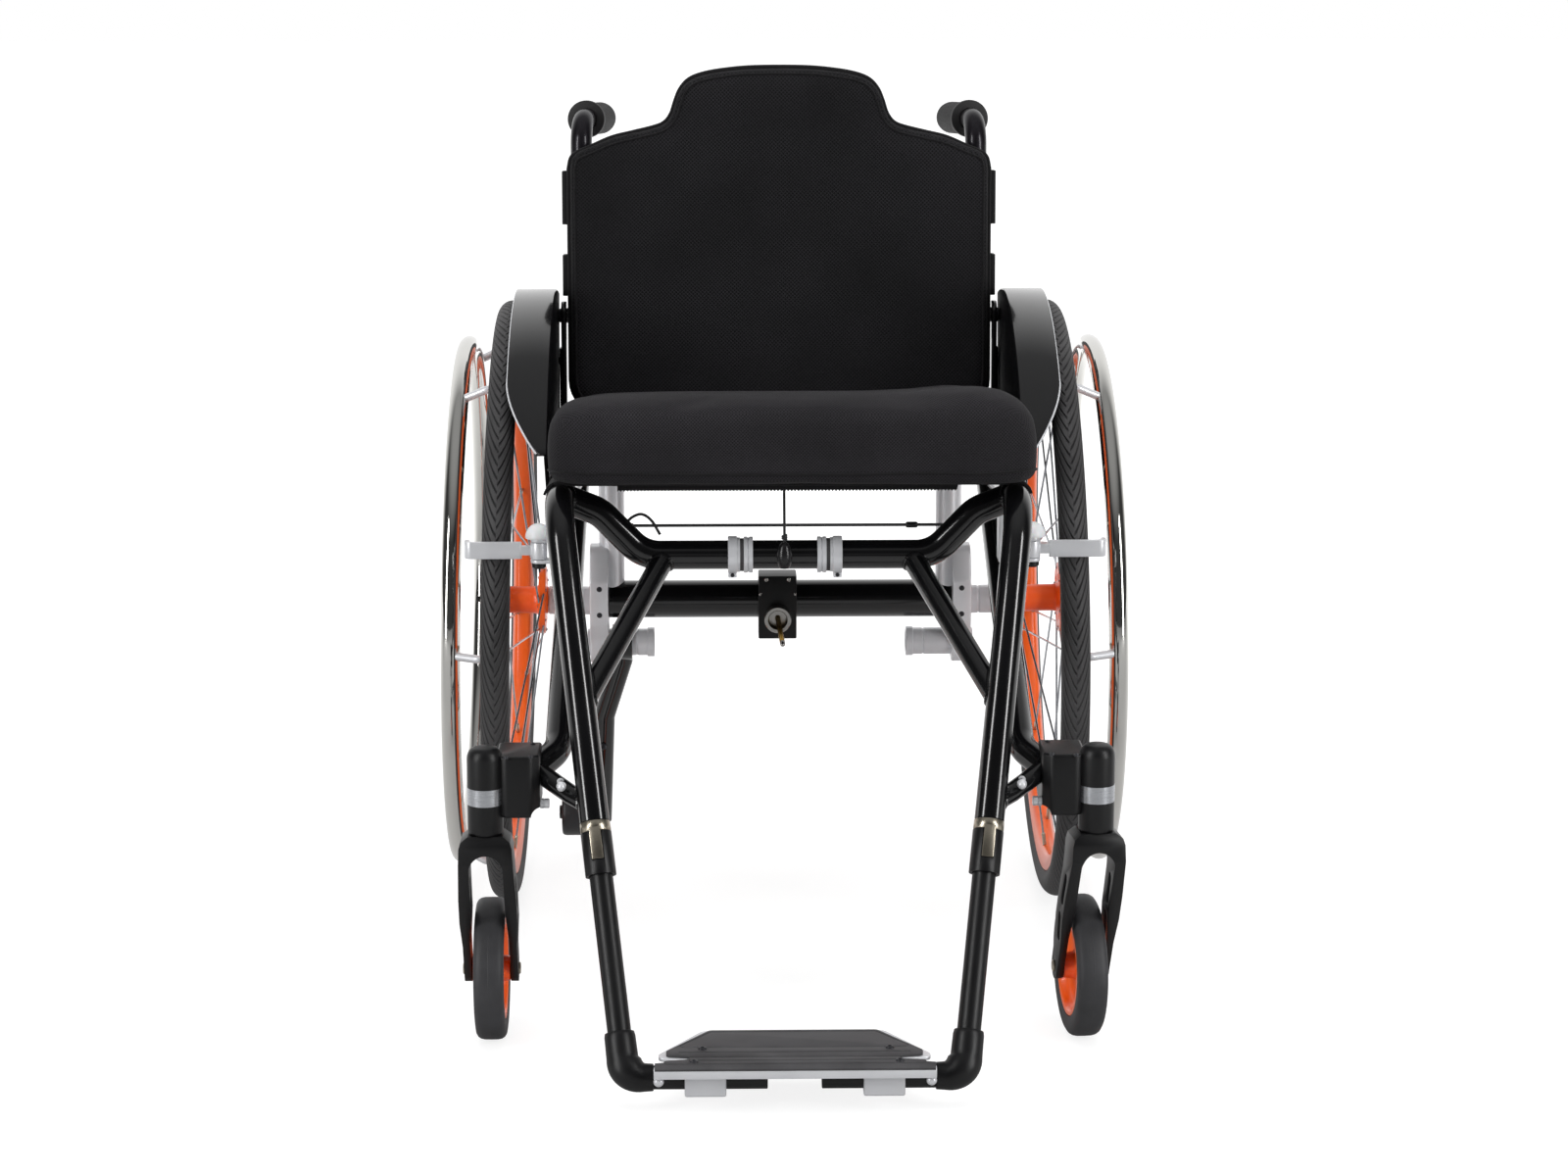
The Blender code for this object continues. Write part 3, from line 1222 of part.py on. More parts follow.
def seat_sling():
    """Cloth across the seat rails, wrapped down their outer sides."""
    shape = bmesh.new()
    radius = (TUBE_R + 2 * GAP) / math.cos(SLING_SKIRT / 8)
    rows = []
    for y in (SLING_FRONT, SLING_REAR):
        rail = rail_at(y)
        half = []
        for step in range(5):
            turn = SLING_SKIRT * (1 - step / 4)
            half.append((rail.x + radius * math.sin(turn), rail.y, rail.z + radius * math.cos(turn)))
        rows.append([shape.verts.new(point) for point in half + [(-x, py, z) for x, py, z in reversed(half)]])
    front, back = rows
    for index in range(len(front) - 1):
        shape.faces.new((front[index], front[index + 1], back[index + 1], back[index]))
    shape.normal_update()
    if shape.faces[:][len(front) // 2].normal.z < 0:
        bmesh.ops.reverse_faces(shape, faces=shape.faces)
    holder = guide(from_bmesh(shape))
    wall = holder.modifiers.new('wall', 'SOLIDIFY')
    wall.thickness = SLING_T
    wall.offset = 1.0
    wall.use_even_offset = True
    return bake(holder)


def seat_cushion():
    """Foam cushion with a crown, rounded edges and sides drawn in between the corners."""
    front, rear = CUSHION_FRONT, CUSHION_REAR
    middle = (front + rear) / 2
    half_y = (rear - front) / 2
    corners = [(CUSHION_HALF_X, -half_y, 0), (CUSHION_HALF_X, half_y, 0), (-CUSHION_HALF_X, half_y, 0),
               (-CUSHION_HALF_X, -half_y, 0)]
    outline = []
    base = rounded(corners, 0.040, 3, closed=True)
    for first, second in zip(base, base[1:] + base[:1]):
        steps = 4 if (second - first).length > 0.1 else 1
        outline += [first.lerp(second, step / steps) for step in range(steps)]

    def ring(inset, height, draw=0.0):
        made = []
        for point in outline:
            side = max(0.0, 1 - (abs(point.y) / half_y) ** 2) * draw
            end = max(0.0, 1 - (abs(point.x) / CUSHION_HALF_X) ** 2) * draw
            x = point.x * (1 - (inset + side) / CUSHION_HALF_X)
            y = middle + point.y * (1 - (inset + end) / half_y)
            seat = sling_under(y) + SLING_T + 2 * GAP
            made.append((x, AXLE_Y + y, seat + height))
        return made

    thick = CUSHION_T
    rings = [ring(0.008, 0.0), ring(0.0015, 0.006, 0.001), ring(0.0, thick * 0.45, CUSHION_DRAW),
             ring(0.0, thick * 0.80, CUSHION_DRAW * 0.4), ring(0.007, thick * 0.96),
             ring(0.024, thick + 0.0015), ring(0.080, thick + CUSHION_CROWN)]
    return loft(rings)


add('seat_sling', seat_sling(), 'satin_black')
add('seat_cushion', seat_cushion(), 'knit_cloth')


# Anti-tipper on the -X side

def antitip_arm():
    """Bent tube on an eye round the holder, with the roller's pin at its foot."""
    near, far = TIPPER_EYE
    eye = rod(at(-far, 0, HOLDER_Z), at(-near, 0, HOLDER_Z), TIPPER_EYE_R, 16)
    centre = Vector(at(-(near + far) / 2 - 0.001, 0, HOLDER_Z))
    knee, foot = at(*TIPPER_KNEE), at(*TIPPER_FOOT)
    drop = at(centre.x, TIPPER_DROP[0], HOLDER_Z - TIPPER_DROP[1])
    end = foot + (foot - knee).normalized() * TIPPER_TUBE_R
    bar = tube(rounded([centre, drop, knee, end], TIPPER_BEND_R, 3), TIPPER_TUBE_R, 10)
    pin = rod(foot, (-ROLLER_OUT_X - 0.001, foot.y, foot.z), ROLLER_PIN_R)
    head = rod((-ROLLER_OUT_X - GAP, foot.y, foot.z), (-ROLLER_OUT_X - 0.003, foot.y, foot.z), ROLLER_HEAD_R)
    hole = rod(at(-far - 0.03, 0, HOLDER_Z), at(-near + 0.03, 0, HOLDER_Z), bore(HOLDER_R, clearance=SLIDE_GAP))
    return cut(union(eye, bar, pin, head), hole)


def antitip_wheel():
    foot = at(*TIPPER_FOOT)
    hole = bore(ROLLER_PIN_R, ROLLER_SIDES)
    half = (ROLLER_OUT_X - ROLLER_IN_X) / 2
    profile = [(ROLLER_R - 0.003, half), (ROLLER_R, half - 0.003), (ROLLER_R, 0.003 - half),
               (ROLLER_R - 0.003, -half), (hole, -half), (hole, half)]
    place = Matrix.Translation((-(ROLLER_IN_X + ROLLER_OUT_X) / 2, foot.y, foot.z)) @ ALONG_X
    return turned(profile, ROLLER_SIDES, place, closed=True)


add('antitip_arm', antitip_arm(), 'black_lacquer', at(-TIPPER_EYE[1], 0, HOLDER_Z))
add('antitip_wheel', antitip_wheel(), 'satin_black', at(*TIPPER_FOOT))


# Cords at the seat front

def release_cord():
    """Cord stretched between the bends of the cross tube, with its tied-off tail and a small stopper."""
    cord = tube([at(-RELEASE_HALF_X, CROSS_Y, RELEASE_Z), at(RELEASE_HALF_X, CROSS_Y, RELEASE_Z)], RELEASE_R, 6)
    tail = tube(rounded([at(-x, CROSS_Y, z) for x, z in RELEASE_LOOP], RELEASE_LOOP_R, 3), RELEASE_R, 6)
    low, high = STOPPER_X
    stopper = rod(at(low, CROSS_Y, RELEASE_Z), at(high, CROSS_Y, RELEASE_Z), RELEASE_R * 1.9, 8)
    return cut(union(cord, tail, stopper), cross_tube(bore(CROSS_R, TUBE_SIDES)))


def smooth_route(points, per_span):
    """Points on one smooth curve through the route's own points."""
    points = [Vector(point) for point in points]
    spans = [points[0] * 2 - points[1]] + points + [points[-1] * 2 - points[-2]]
    result = []
    for index in range(1, len(spans) - 2):
        before, start, end, after = spans[index - 1:index + 3]
        for step in range(per_span):
            t = step / per_span
            square = 2 * before - 5 * start + 4 * end - after
            cube = 3 * start - before - 3 * end + after
            result.append(0.5 * (2 * start + (end - before) * t + square * t * t + cube * t ** 3))
    return result + [points[-1]]


def pull_route():
    top = sling_under(PULL_TOP_Y) - GAP
    return [at(PULL_X, PULL_TOP_Y, top)] + [at(PULL_X, y, z) for y, z in PULL_ROUTE]


def pull_toggle():
    bottom = PULL_ROUTE[-1]
    top = bottom[1] - GAP
    shape = [(0.0, 0.0), (0.0030, 0.0), (0.0052, -0.0035), (TOGGLE_R, -0.0095), (TOGGLE_R, -0.0170),
             (0.0050, -0.0222), (0.0, -TOGGLE_LENGTH)]
    profile = [(radius, top + drop) for radius, drop in shape]
    return turned(profile, 12, Matrix.Translation(at(PULL_X, bottom[0], 0)))


add('release_cord', release_cord(), 'black_cord')
add('pull_cord', tube(smooth_route(pull_route(), 4), PULL_R, 6), 'black_cord')
add('pull_toggle', pull_toggle(), 'satin_black')
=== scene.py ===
"""Looks of the active wheelchair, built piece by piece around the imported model.

Metres, +Z up, the user faces -Y. Positions written as at(x, y, z) take y from the rear axle to the rear.
Paired pieces are made on the +X side (suffix _R) and mirrored to the -X side (suffix _L).
"""
import math

import bmesh
import bpy
from mathutils import Matrix, Vector
from mathutils.bvhtree import BVHTree


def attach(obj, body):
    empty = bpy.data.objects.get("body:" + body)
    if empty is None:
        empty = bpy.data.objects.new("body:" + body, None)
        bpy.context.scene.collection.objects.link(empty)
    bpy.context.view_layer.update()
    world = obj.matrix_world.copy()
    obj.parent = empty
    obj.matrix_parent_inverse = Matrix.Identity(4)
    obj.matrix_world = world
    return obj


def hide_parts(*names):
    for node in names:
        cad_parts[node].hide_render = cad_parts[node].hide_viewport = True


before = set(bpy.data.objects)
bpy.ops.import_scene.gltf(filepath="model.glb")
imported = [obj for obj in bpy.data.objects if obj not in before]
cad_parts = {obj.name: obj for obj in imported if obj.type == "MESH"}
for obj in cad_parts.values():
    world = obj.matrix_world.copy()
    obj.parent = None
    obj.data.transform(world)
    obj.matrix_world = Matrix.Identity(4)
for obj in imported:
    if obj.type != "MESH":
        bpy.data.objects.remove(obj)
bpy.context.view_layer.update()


# Studio: a white cove. The camera stands in front of the chair at chest height and looks a little down.
# A large soft box hangs above and one stands behind, and a tall soft box on either side draws the long
# highlights on the tubes.

AXLE_Y = 0.1925


def at(x, y, z):
    return Vector((x, AXLE_Y + y, z))


def linear(code):
    """Linear colour of an sRGB hex value."""
    parts = [int(code[index:index + 2], 16) / 255 for index in (1, 3, 5)]
    return (*[part / 12.92 if part <= 0.04045 else ((part + 0.055) / 1.055) ** 2.4 for part in parts], 1.0)


def node(tree, kind, links=(), **settings):
    """One shader node. Settings name properties or, with _ for spaces, input sockets; links wire sockets."""
    made = tree.nodes.new(kind)
    for name, value in settings.items():
        if hasattr(made, name):
            setattr(made, name, value)
        else:
            made.inputs[name.replace('_', ' ')].default_value = value
    for target, source in links:
        if isinstance(source, (int, float)):
            made.inputs[target].default_value = source
        else:
            tree.links.new(source, made.inputs[target])
    return made


def placed(name, data):
    """New object of the scene for a mesh, a lamp or a camera."""
    made = bpy.data.objects.new(name, data)
    bpy.context.scene.collection.objects.link(made)
    return made


def meshed(shape, name):
    """Plain mesh of a bmesh, which is freed."""
    mesh = bpy.data.meshes.new(name)
    shape.to_mesh(mesh)
    shape.free()
    return mesh


CAMERA_DOWN = 0.20712
CAMERA_PAN = -0.019545

camera_data = bpy.data.cameras.new('camera')
camera_data.sensor_width = 36.0
camera_data.lens = 85.27
camera_data.clip_end = 60.0
camera = placed('camera', camera_data)
camera.location = at(-0.06645, -3.59630, 1.06124)
camera.rotation_euler = (math.pi / 2 - CAMERA_DOWN, 0.0, CAMERA_PAN)
bpy.context.scene.camera = camera
bpy.context.scene.view_settings.view_transform = 'Standard'


def soft_box(name, place, aim, width, height, power, mirrored_too):
    lamp = bpy.data.lights.new(name, 'AREA')
    lamp.shape = 'RECTANGLE'
    lamp.size = width
    lamp.size_y = height
    lamp.energy = power
    box = placed(name, lamp)
    box.location = place
    box.visible_glossy = mirrored_too
    box.rotation_euler = (Vector(aim) - Vector(place)).to_track_quat('-Z', 'Y').to_euler()


soft_box('top_box', (0.0, -0.6, 3.0), (0.0, 0.0, 0.4), 2.6, 2.0, 50.0, False)
soft_box('left_box', (-2.3, -1.9, 1.2), (0.0, 0.0, 0.4), 0.5, 2.4, 42.0, True)
soft_box('right_box', (2.3, -1.9, 1.2), (0.0, 0.0, 0.4), 0.5, 2.4, 42.0, True)
soft_box('back_box', (0.0, 2.6, 1.8), (0.0, 0.2, 0.4), 2.6, 1.4, 22.0, False)


def cove_world():
    """White where seen directly; in mirrors white behind and dim in front; elsewhere an even soft fill."""
    world = bpy.data.worlds.new('cove')
    world.use_nodes = True
    tree = world.node_tree
    tree.nodes.clear()
    where = node(tree, 'ShaderNodeTexCoord')
    axes = node(tree, 'ShaderNodeSeparateXYZ', [(0, where.outputs['Generated'])])
    behind = node(tree, 'ShaderNodeMapRange', [(0, axes.outputs['Y'])], interpolation_type='SMOOTHSTEP',
                  From_Min=0.10, From_Max=0.85, To_Min=0.045, To_Max=1.0)
    above = node(tree, 'ShaderNodeMapRange', [(0, axes.outputs['Z'])], interpolation_type='SMOOTHSTEP',
                 From_Min=0.45, From_Max=1.0, To_Min=0.0, To_Max=0.34)
    brighter = node(tree, 'ShaderNodeMath', [(0, behind.outputs[0]), (1, above.outputs[0])],
                    operation='MAXIMUM')
    path = node(tree, 'ShaderNodeLightPath')
    soft = node(tree, 'ShaderNodeMath', [(0, path.outputs['Is Diffuse Ray']), (1, 0.42)],
                operation='MULTIPLY')
    mirrored_part = node(tree, 'ShaderNodeMath', [(0, 1.0), (1, path.outputs['Is Diffuse Ray'])],
                         operation='SUBTRACT')
    lit = node(tree, 'ShaderNodeMath',
               [(0, brighter.outputs[0]), (1, mirrored_part.outputs[0]), (2, soft.outputs[0])],
               operation='MULTIPLY_ADD')
    seen = node(tree, 'ShaderNodeMath', [(0, lit.outputs[0]), (1, path.outputs['Is Camera Ray'])],
                operation='MAXIMUM')
    sky = node(tree, 'ShaderNodeBackground', [('Strength', seen.outputs[0])], Color=(1.0, 1.0, 1.0, 1.0))
    node(tree, 'ShaderNodeOutputWorld', [(0, sky.outputs[0])])
    bpy.context.scene.world = world


def cove_floor():
    """Pale matte floor; a glow for the camera and clear rays keeps it white round a faint shadow, glossy rays
    see it dim in front and white behind, and near the chair the glow is weakened as painted shade.
    """
    shape = bmesh.new()
    bmesh.ops.create_grid(shape, x_segments=1, y_segments=1, size=14.0)
    floor = placed('cove_floor', meshed(shape, 'cove_floor'))
    paint = bpy.data.materials.new('pale_matte_floor')
    paint.use_nodes = True
    tree = paint.node_tree
    tree.nodes.clear()
    path = node(tree, 'ShaderNodeLightPath')
    place = node(tree, 'ShaderNodeTexCoord')
    axes = node(tree, 'ShaderNodeSeparateXYZ', [(0, place.outputs['Object'])])
    back_half = node(tree, 'ShaderNodeMapRange', [(0, axes.outputs['Y'])], interpolation_type='SMOOTHSTEP',
                     From_Min=-0.4, From_Max=1.2, To_Min=0.12, To_Max=1.0)
    gleam = node(tree, 'ShaderNodeMath', [(0, path.outputs['Is Glossy Ray']), (1, back_half.outputs[0])],
                 operation='MULTIPLY')
    seen = node(tree, 'ShaderNodeMath', [(0, path.outputs['Is Camera Ray']), (1, gleam.outputs[0])],
                operation='MAXIMUM')
    seen = node(tree, 'ShaderNodeMath', [(0, seen.outputs[0]), (1, path.outputs['Is Transmission Ray'])],
                operation='MAXIMUM')
    matte = node(tree, 'ShaderNodeBsdfDiffuse', Color=(0.34, 0.34, 0.34, 1.0))
    away = node(tree, 'ShaderNodeVectorMath', [(0, place.outputs['Object'])], operation='LENGTH')
    # Painted shade: the glow drops to 0.8 near the chair's middle and rises to full strength 2.4 m away, a
    # painted pool of shade round the chair.
    painted_shade_near_chair = node(tree, 'ShaderNodeMapRange', [(0, away.outputs['Value'])], From_Min=0.7, From_Max=2.4,
                 To_Min=0.80, To_Max=1.0)
    strength = node(tree, 'ShaderNodeMath', [(0, seen.outputs[0]), (1, painted_shade_near_chair.outputs[0])],
                    operation='MULTIPLY')
    glow = node(tree, 'ShaderNodeEmission', [('Strength', strength.outputs[0])])
    both = node(tree, 'ShaderNodeAddShader', [(0, matte.outputs[0]), (1, glow.outputs[0])])
    node(tree, 'ShaderNodeOutputMaterial', [(0, both.outputs[0])])
    floor.data.materials.append(paint)
    floor.location = (0.0, 0.0, -0.0005)


cove_world()
cove_floor()


# Pull cord: a thin braided nylon cord, limp, that hangs from the front edge of the seat sling with a small
# knot above a dark moulded toggle. Its route and its 2.4 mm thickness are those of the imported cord.

PULL_POINTS = [at(-0.0035, y, z) for y, z in ((-0.3800, 0.480158), (-0.3830, 0.4670), (-0.3900, 0.4530),
                                              (-0.3958, 0.4400), (-0.3960, 0.4300))]
TOGGLE_TOP = 0.4297
TOGGLE_PROFILE = ((0.0, 0.0), (0.0022, 0.0), (0.0032, -0.0010), (0.0050, -0.0038), (0.0063, -0.0075),
                  (0.0068, -0.0115), (0.0067, -0.0160), (0.0058, -0.0205), (0.0038, -0.0233), (0.0, -0.0240))


def smooth_route(points, per_span):
    """Points on one smooth curve through the route's own points."""
    spans = [points[0] * 2 - points[1]] + list(points) + [points[-1] * 2 - points[-2]]
    result = []
    for index in range(1, len(spans) - 2):
        before, start, end, after = spans[index - 1:index + 3]
        for step in range(per_span):
            t = step / per_span
            result.append(0.5 * (2 * start + (end - before) * t
                                 + (2 * before - 5 * start + 4 * end - after) * t * t
                                 + (3 * start - before - 3 * end + after) * t ** 3))
    return result + [points[-1]]


def quads(rings, closed_long, closed_round, lengths, arcs):
    """Mesh of rings joined by quads, with a UV map in metres along and round; a ring may be one point."""
    shape = bmesh.new()
    layer = shape.loops.layers.uv.new('UVMap')
    rows = [[shape.verts.new(point) for point in ring] for ring in rings]
    pairs = list(range(len(rows) - 1)) + ([len(rows) - 1] if closed_long else [])
    for row in pairs:
        first, second = rows[row], rows[(row + 1) % len(rows)]
        count = max(len(first), len(second))
        for index in range(count if closed_round else count - 1):
            after = (index + 1) % count
            corners = [(first[index % len(first)], 0, index), (first[after % len(first)], 0, index + 1),
                       (second[after % len(second)], 1, index + 1), (second[index % len(second)], 1, index)]
            unique = [corner for spot, corner in enumerate(corners)
                      if corner[0] not in [c[0] for c in corners[:spot]]]
            face = shape.faces.new([corner[0] for corner in unique])
            for loop, corner in zip(face.loops, unique):
                loop[layer].uv = (lengths[row + corner[1]], arcs[corner[2]])
    bmesh.ops.recalc_face_normals(shape, faces=shape.faces)
    return meshed(shape, 'shape')


def swept(points, radius, sides=32, closed=False, bore=0.0):
    """Round tube along a polyline, solid or with a bore. The radius is one number or one for each point."""
    points = [Vector(point) for point in points]
    count = len(points)
    radii = list(radius) if hasattr(radius, '__len__') else [radius] * count
    rings, lengths, total = [], [0.0], 0.0
    across = None
    for index, point in enumerate(points):
        before = points[index - 1] if index or closed else point
        after = points[(index + 1) % count] if index + 1 < count or closed else point
        heading = (after - before).normalized()
        if across is None:
            across = heading.orthogonal().normalized()
        across = (across - heading * across.dot(heading)).normalized()
        up = heading.cross(across)
        turns = [2 * math.pi * side / sides for side in range(sides)]
        rings.append((point, [across * math.cos(turn) + up * math.sin(turn) for turn in turns], radii[index]))
        total += (after - point).length
        lengths.append(total)
    wall = [[point + spoke * size for spoke in spokes] for point, spokes, size in rings]
    if not closed:
        if bore:
            inner = [[point + spoke * bore for spoke in spokes] for point, spokes, size in rings]
            wall = wall + inner[::-1]
            lengths = lengths[:-1] + lengths[-2::-1] + [0.0]
            closed = True
        else:
            wall = [[points[0]]] + wall + [[points[-1]]]
            lengths = [0.0] + lengths[:-1] + [total, total]
    arcs = [2 * math.pi * max(radii) * side / sides for side in range(sides + 1)]
    return quads(wall, closed, True, lengths, arcs)


def turned(profile, steps, place=Matrix.Identity(4), closed=False):
    """Turned shape: (radius, height) points spun about Z, then placed by the matrix."""
    rings, lengths, total = [], [], 0.0
    for index, (radius, height) in enumerate(profile):
        if index:
            total += math.dist(profile[index - 1], profile[index])
        lengths.append(total)
        if radius < 1e-7:
            rings.append([place @ Vector((0.0, 0.0, height))])
        else:
            rings.append([place @ Vector((radius * math.cos(2 * math.pi * step / steps),
                                          radius * math.sin(2 * math.pi * step / steps), height))
                          for step in range(steps)])
    lengths.append(total + math.dist(profile[-1], profile[0]))
    widest = max(radius for radius, height in profile)
    return quads(rings, closed, True, lengths,
                 [2 * math.pi * widest * step / steps for step in range(steps + 1)])


def aimed(place, degrees=90.0, axis='Y'):
    """Matrix that turns a shape about an axis and moves it to the place; by default it lays Z along X."""
    return Matrix.Translation(place) @ Matrix.Rotation(math.radians(degrees), 4, axis)


def pointed(place, way):
    """Matrix that turns a shape's Z axis to the way and moves it to the place."""
    return Matrix.Translation(place) @ way.to_track_quat('Z', 'Y').to_matrix().to_4x4()


def piece(name, mesh, paint, body, slot, *nodes, smooth=40.0):
    """Finished piece: named, painted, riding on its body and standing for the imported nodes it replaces."""
    mesh.name = name
    mesh.materials.clear()
    mesh.materials.append(paint)
    mesh.shade_smooth()
    mesh.set_sharp_from_angle(angle=math.radians(smooth))
    made = placed(name, mesh)
    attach(made, body)
    if nodes:
        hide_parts(*nodes)
    return made


def bare_paint(name, **inputs):
    """New Principled material with the sockets that are named; returned with its tree and its shader."""
    paint = bpy.data.materials.new(name)
    paint.use_nodes = True
    shader = paint.node_tree.nodes['Principled BSDF']
    for socket, value in inputs.items():
        shader.inputs[socket.replace('_', ' ')].default_value = value
    return paint, paint.node_tree, shader


def tinted(tree, tone, tints, span):
    """Colour that runs from the dark to the pale tint as the tone goes through the span."""
    tint = node(tree, 'ShaderNodeValToRGB', [(0, tone)])
    for stop, spot, code in zip(tint.color_ramp.elements, span, tints):
        stop.position = spot
        stop.color = linear(code)
    return tint.outputs[0]


def dress(tree, shader, tone, tints, span, relief, bump):
    """Last steps of a material: the tone mixes dark and pale tint, and the relief raises the surface."""
    raised = node(tree, 'ShaderNodeBump', [('Height', relief)], Strength=bump[0], Distance=bump[1])
    tree.links.new(tinted(tree, tone, tints, span), shader.inputs['Base Color'])
    tree.links.new(raised.outputs[0], shader.inputs['Normal'])


def finish(name, tints, cloud, gloss, grain, bump=(0.0, 0.0002), span=(0.0, 1.0), stretch=(1.0, 1.0, 1.0),
           fine_gloss=False, **inputs):
    """Even finish: a slow cloud mixes the tints and the roughnesses, and a fine grain gives the bump.

    cloud and grain are a noise's scale and detail, gloss is the least and the most roughness, bump is a
    strength and a depth in metres, stretch draws the noise out, and with fine_gloss the grain sets the
    roughness.
    """
    paint, tree, shader = bare_paint(name, **inputs)
    place = node(tree, 'ShaderNodeTexCoord')
    drawn = node(tree, 'ShaderNodeMapping', [('Vector', place.outputs['Object'])], Scale=stretch)
    tones, fine = [node(tree, 'ShaderNodeTexNoise', [('Vector', drawn.outputs[0])], Scale=scale,
                        Detail=detail).outputs[0] for scale, detail in (cloud, grain)]
    spread = node(tree, 'ShaderNodeMapRange', [(0, fine if fine_gloss else tones)], To_Min=gloss[0],
                  To_Max=gloss[1])
    tree.links.new(spread.outputs[0], shader.inputs['Roughness'])
    dress(tree, shader, tones, tints, span, fine, bump)
    return paint


def braided_nylon():
    """Braided nylon: dull near-black yarn in two crossing sets of strands."""
    paint, tree, shader = bare_paint('braided_nylon', Roughness=0.82, Sheen_Weight=0.25)
    uv = node(tree, 'ShaderNodeUVMap', uv_map='UVMap')
    waves = []
    for turn in (0.785, -0.785):
        place = node(tree, 'ShaderNodeMapping', [('Vector', uv.outputs[0])], Rotation=(0.0, 0.0, turn))
        waves.append(node(tree, 'ShaderNodeTexWave', [('Vector', place.outputs[0])], Scale=420.0,
                          Distortion=0.0))
    weave = node(tree, 'ShaderNodeMath', [(0, waves[0].outputs[1]), (1, waves[1].outputs[1])],
                 operation='MAXIMUM')
    dress(tree, shader, weave.outputs[0], ('#070708', '#1b1b1d'), (0.0, 1.0), weave.outputs[0], (0.6, 0.0002))
    return paint


CORD = braided_nylon()
# Smoked acetal: near-black and smooth, with a soft moulded gloss.
SMOKED = finish('smoked_acetal', ('#0c0c0d', '#1d1c1e'), (120.0, 2.0), (0.26, 0.26), (120.0, 2.0), IOR=1.48)
pull_path = smooth_route(PULL_POINTS, 4)
pull_cord = piece('pull_cord_braid', swept(pull_path, 0.0012, 16), CORD, 'root', 'black_cord', 'pull_cord')
knot_path = []
for step in range(26):
    turn = 4 * math.pi * step / 25
    knot_path.append(PULL_POINTS[-1] + Vector((0.0017 * math.cos(turn), 0.0015 * math.sin(turn),
                                               0.0058 - 0.0034 * step / 25 + 0.0006 * math.sin(2 * turn))))
pull_knot = piece('pull_cord_knot', swept(knot_path, 0.0011, 10), CORD, 'root', 'black_cord')
toggle = piece('pull_toggle_body', turned([(r, TOGGLE_TOP + z) for r, z in TOGGLE_PROFILE], 40,
                                          Matrix.Translation(at(-0.0035, -0.3960, 0.0))),
               SMOKED, 'root', 'satin_black', 'pull_toggle')


# Side frames: aluminium tube, 25 mm, cold bent into seat rail and down tube in one and powder coated gloss
# black. At the tube's mouth sits a dark anodised sleeve in which the lower leg slides, clamped by a nickel
# collar.

TUBE_R = 0.0127
RAIL_END = at(0.190, 0.050, 0.440)
CORNER = at(0.201, -0.425, 0.470)
FOOT = at(0.1415, -0.655, 0.0275)
LEG_AXIS = (FOOT - CORNER).normalized()
RAIL_AXIS = (CORNER - RAIL_END).normalized()
LEG_FRONT = (Vector((0, -1, 0)) + LEG_AXIS * LEG_AXIS.y).normalized()
LEG_SIDE = LEG_FRONT.cross(LEG_AXIS)
DOWN_LENGTH = 0.284
SLEEVE_END = DOWN_LENGTH + 0.0465
COLLAR_LENGTH = 0.0090
MOUTH = DOWN_LENGTH + COLLAR_LENGTH
BEND_R = 0.055


def rail_at(y):
    return RAIL_END + RAIL_AXIS * ((AXLE_Y + y - RAIL_END.y) / RAIL_AXIS.y)


def leg_at(distance):
    return CORNER + LEG_AXIS * distance


def rounded(points, radius, steps, closed=False):
    """Polyline whose corners are replaced by arcs of one radius."""
    points = [Vector(point) for point in points]
    count = len(points)
    result = []
    for index, corner in enumerate(points):
        back = points[index - 1] - corner
        ahead = points[(index + 1) % count] - corner
        if (not closed and index in (0, count - 1)) or back.angle(ahead) > math.pi - 0.02:
            result.append(corner)
            continue
        half = back.angle(ahead) / 2
        back_share = 0.45 if closed or index > 1 else 0.95
        ahead_share = 0.45 if closed or index < count - 2 else 0.95
        reach = min(radius / math.tan(half), back.length * back_share, ahead.length * ahead_share)
        arc_radius = reach * math.tan(half)
        middle = (back.normalized() + ahead.normalized()).normalized()
        centre = corner + middle * (arc_radius / math.sin(half))
        first = (corner + back.normalized() * reach - centre).normalized()
        last = (corner + ahead.normalized() * reach - centre).normalized()
        result += [centre + first.slerp(last, step / steps) * arc_radius for step in range(steps + 1)]
    return result


def baked(source):
    """Plain mesh of a temporary object with its modifiers applied; the object is removed."""
    bpy.context.view_layer.update()
    mesh = bpy.data.meshes.new_from_object(source.evaluated_get(bpy.context.evaluated_depsgraph_get()))
    mesh.transform(source.matrix_world)
    bpy.data.objects.remove(source)
    return mesh


def modified(mesh, kind, **settings):
    """The mesh after one modifier with these settings."""
    body = placed('body', mesh)
    step = body.modifiers.new('step', kind)
    for name, value in settings.items():
        setattr(step, name, value)
    return baked(body)


def carved(base, operation, *others):
    """The mesh united with others, or cut by them, with the exact solver."""
    for other in others:
        tool = placed('tool', other)
        base = modified(base, 'BOOLEAN', operation=operation, solver='EXACT', object=tool)
        bpy.data.objects.remove(tool)
    return base


def softened(mesh, width, segments=2, angle=30.0):
    """The mesh with its sharp edges rounded."""
    return modified(mesh, 'BEVEL', width=width, segments=segments, limit_method='ANGLE',
                    angle_limit=math.radians(angle), use_clamp_overlap=True)


def mirrored(mesh):
    shape = bmesh.new()
    shape.from_mesh(mesh)
    shape.transform(Matrix.Diagonal((-1.0, 1.0, 1.0, 1.0)))
    bmesh.ops.reverse_faces(shape, faces=shape.faces)
    return meshed(shape, 'mirror')


def together(*meshes):
    shape = bmesh.new()
    for mesh in meshes:
        shape.from_mesh(mesh)
    return meshed(shape, 'together')


def moved(mesh, matrix):
    mesh = mesh.copy()
    mesh.transform(matrix)
    return mesh


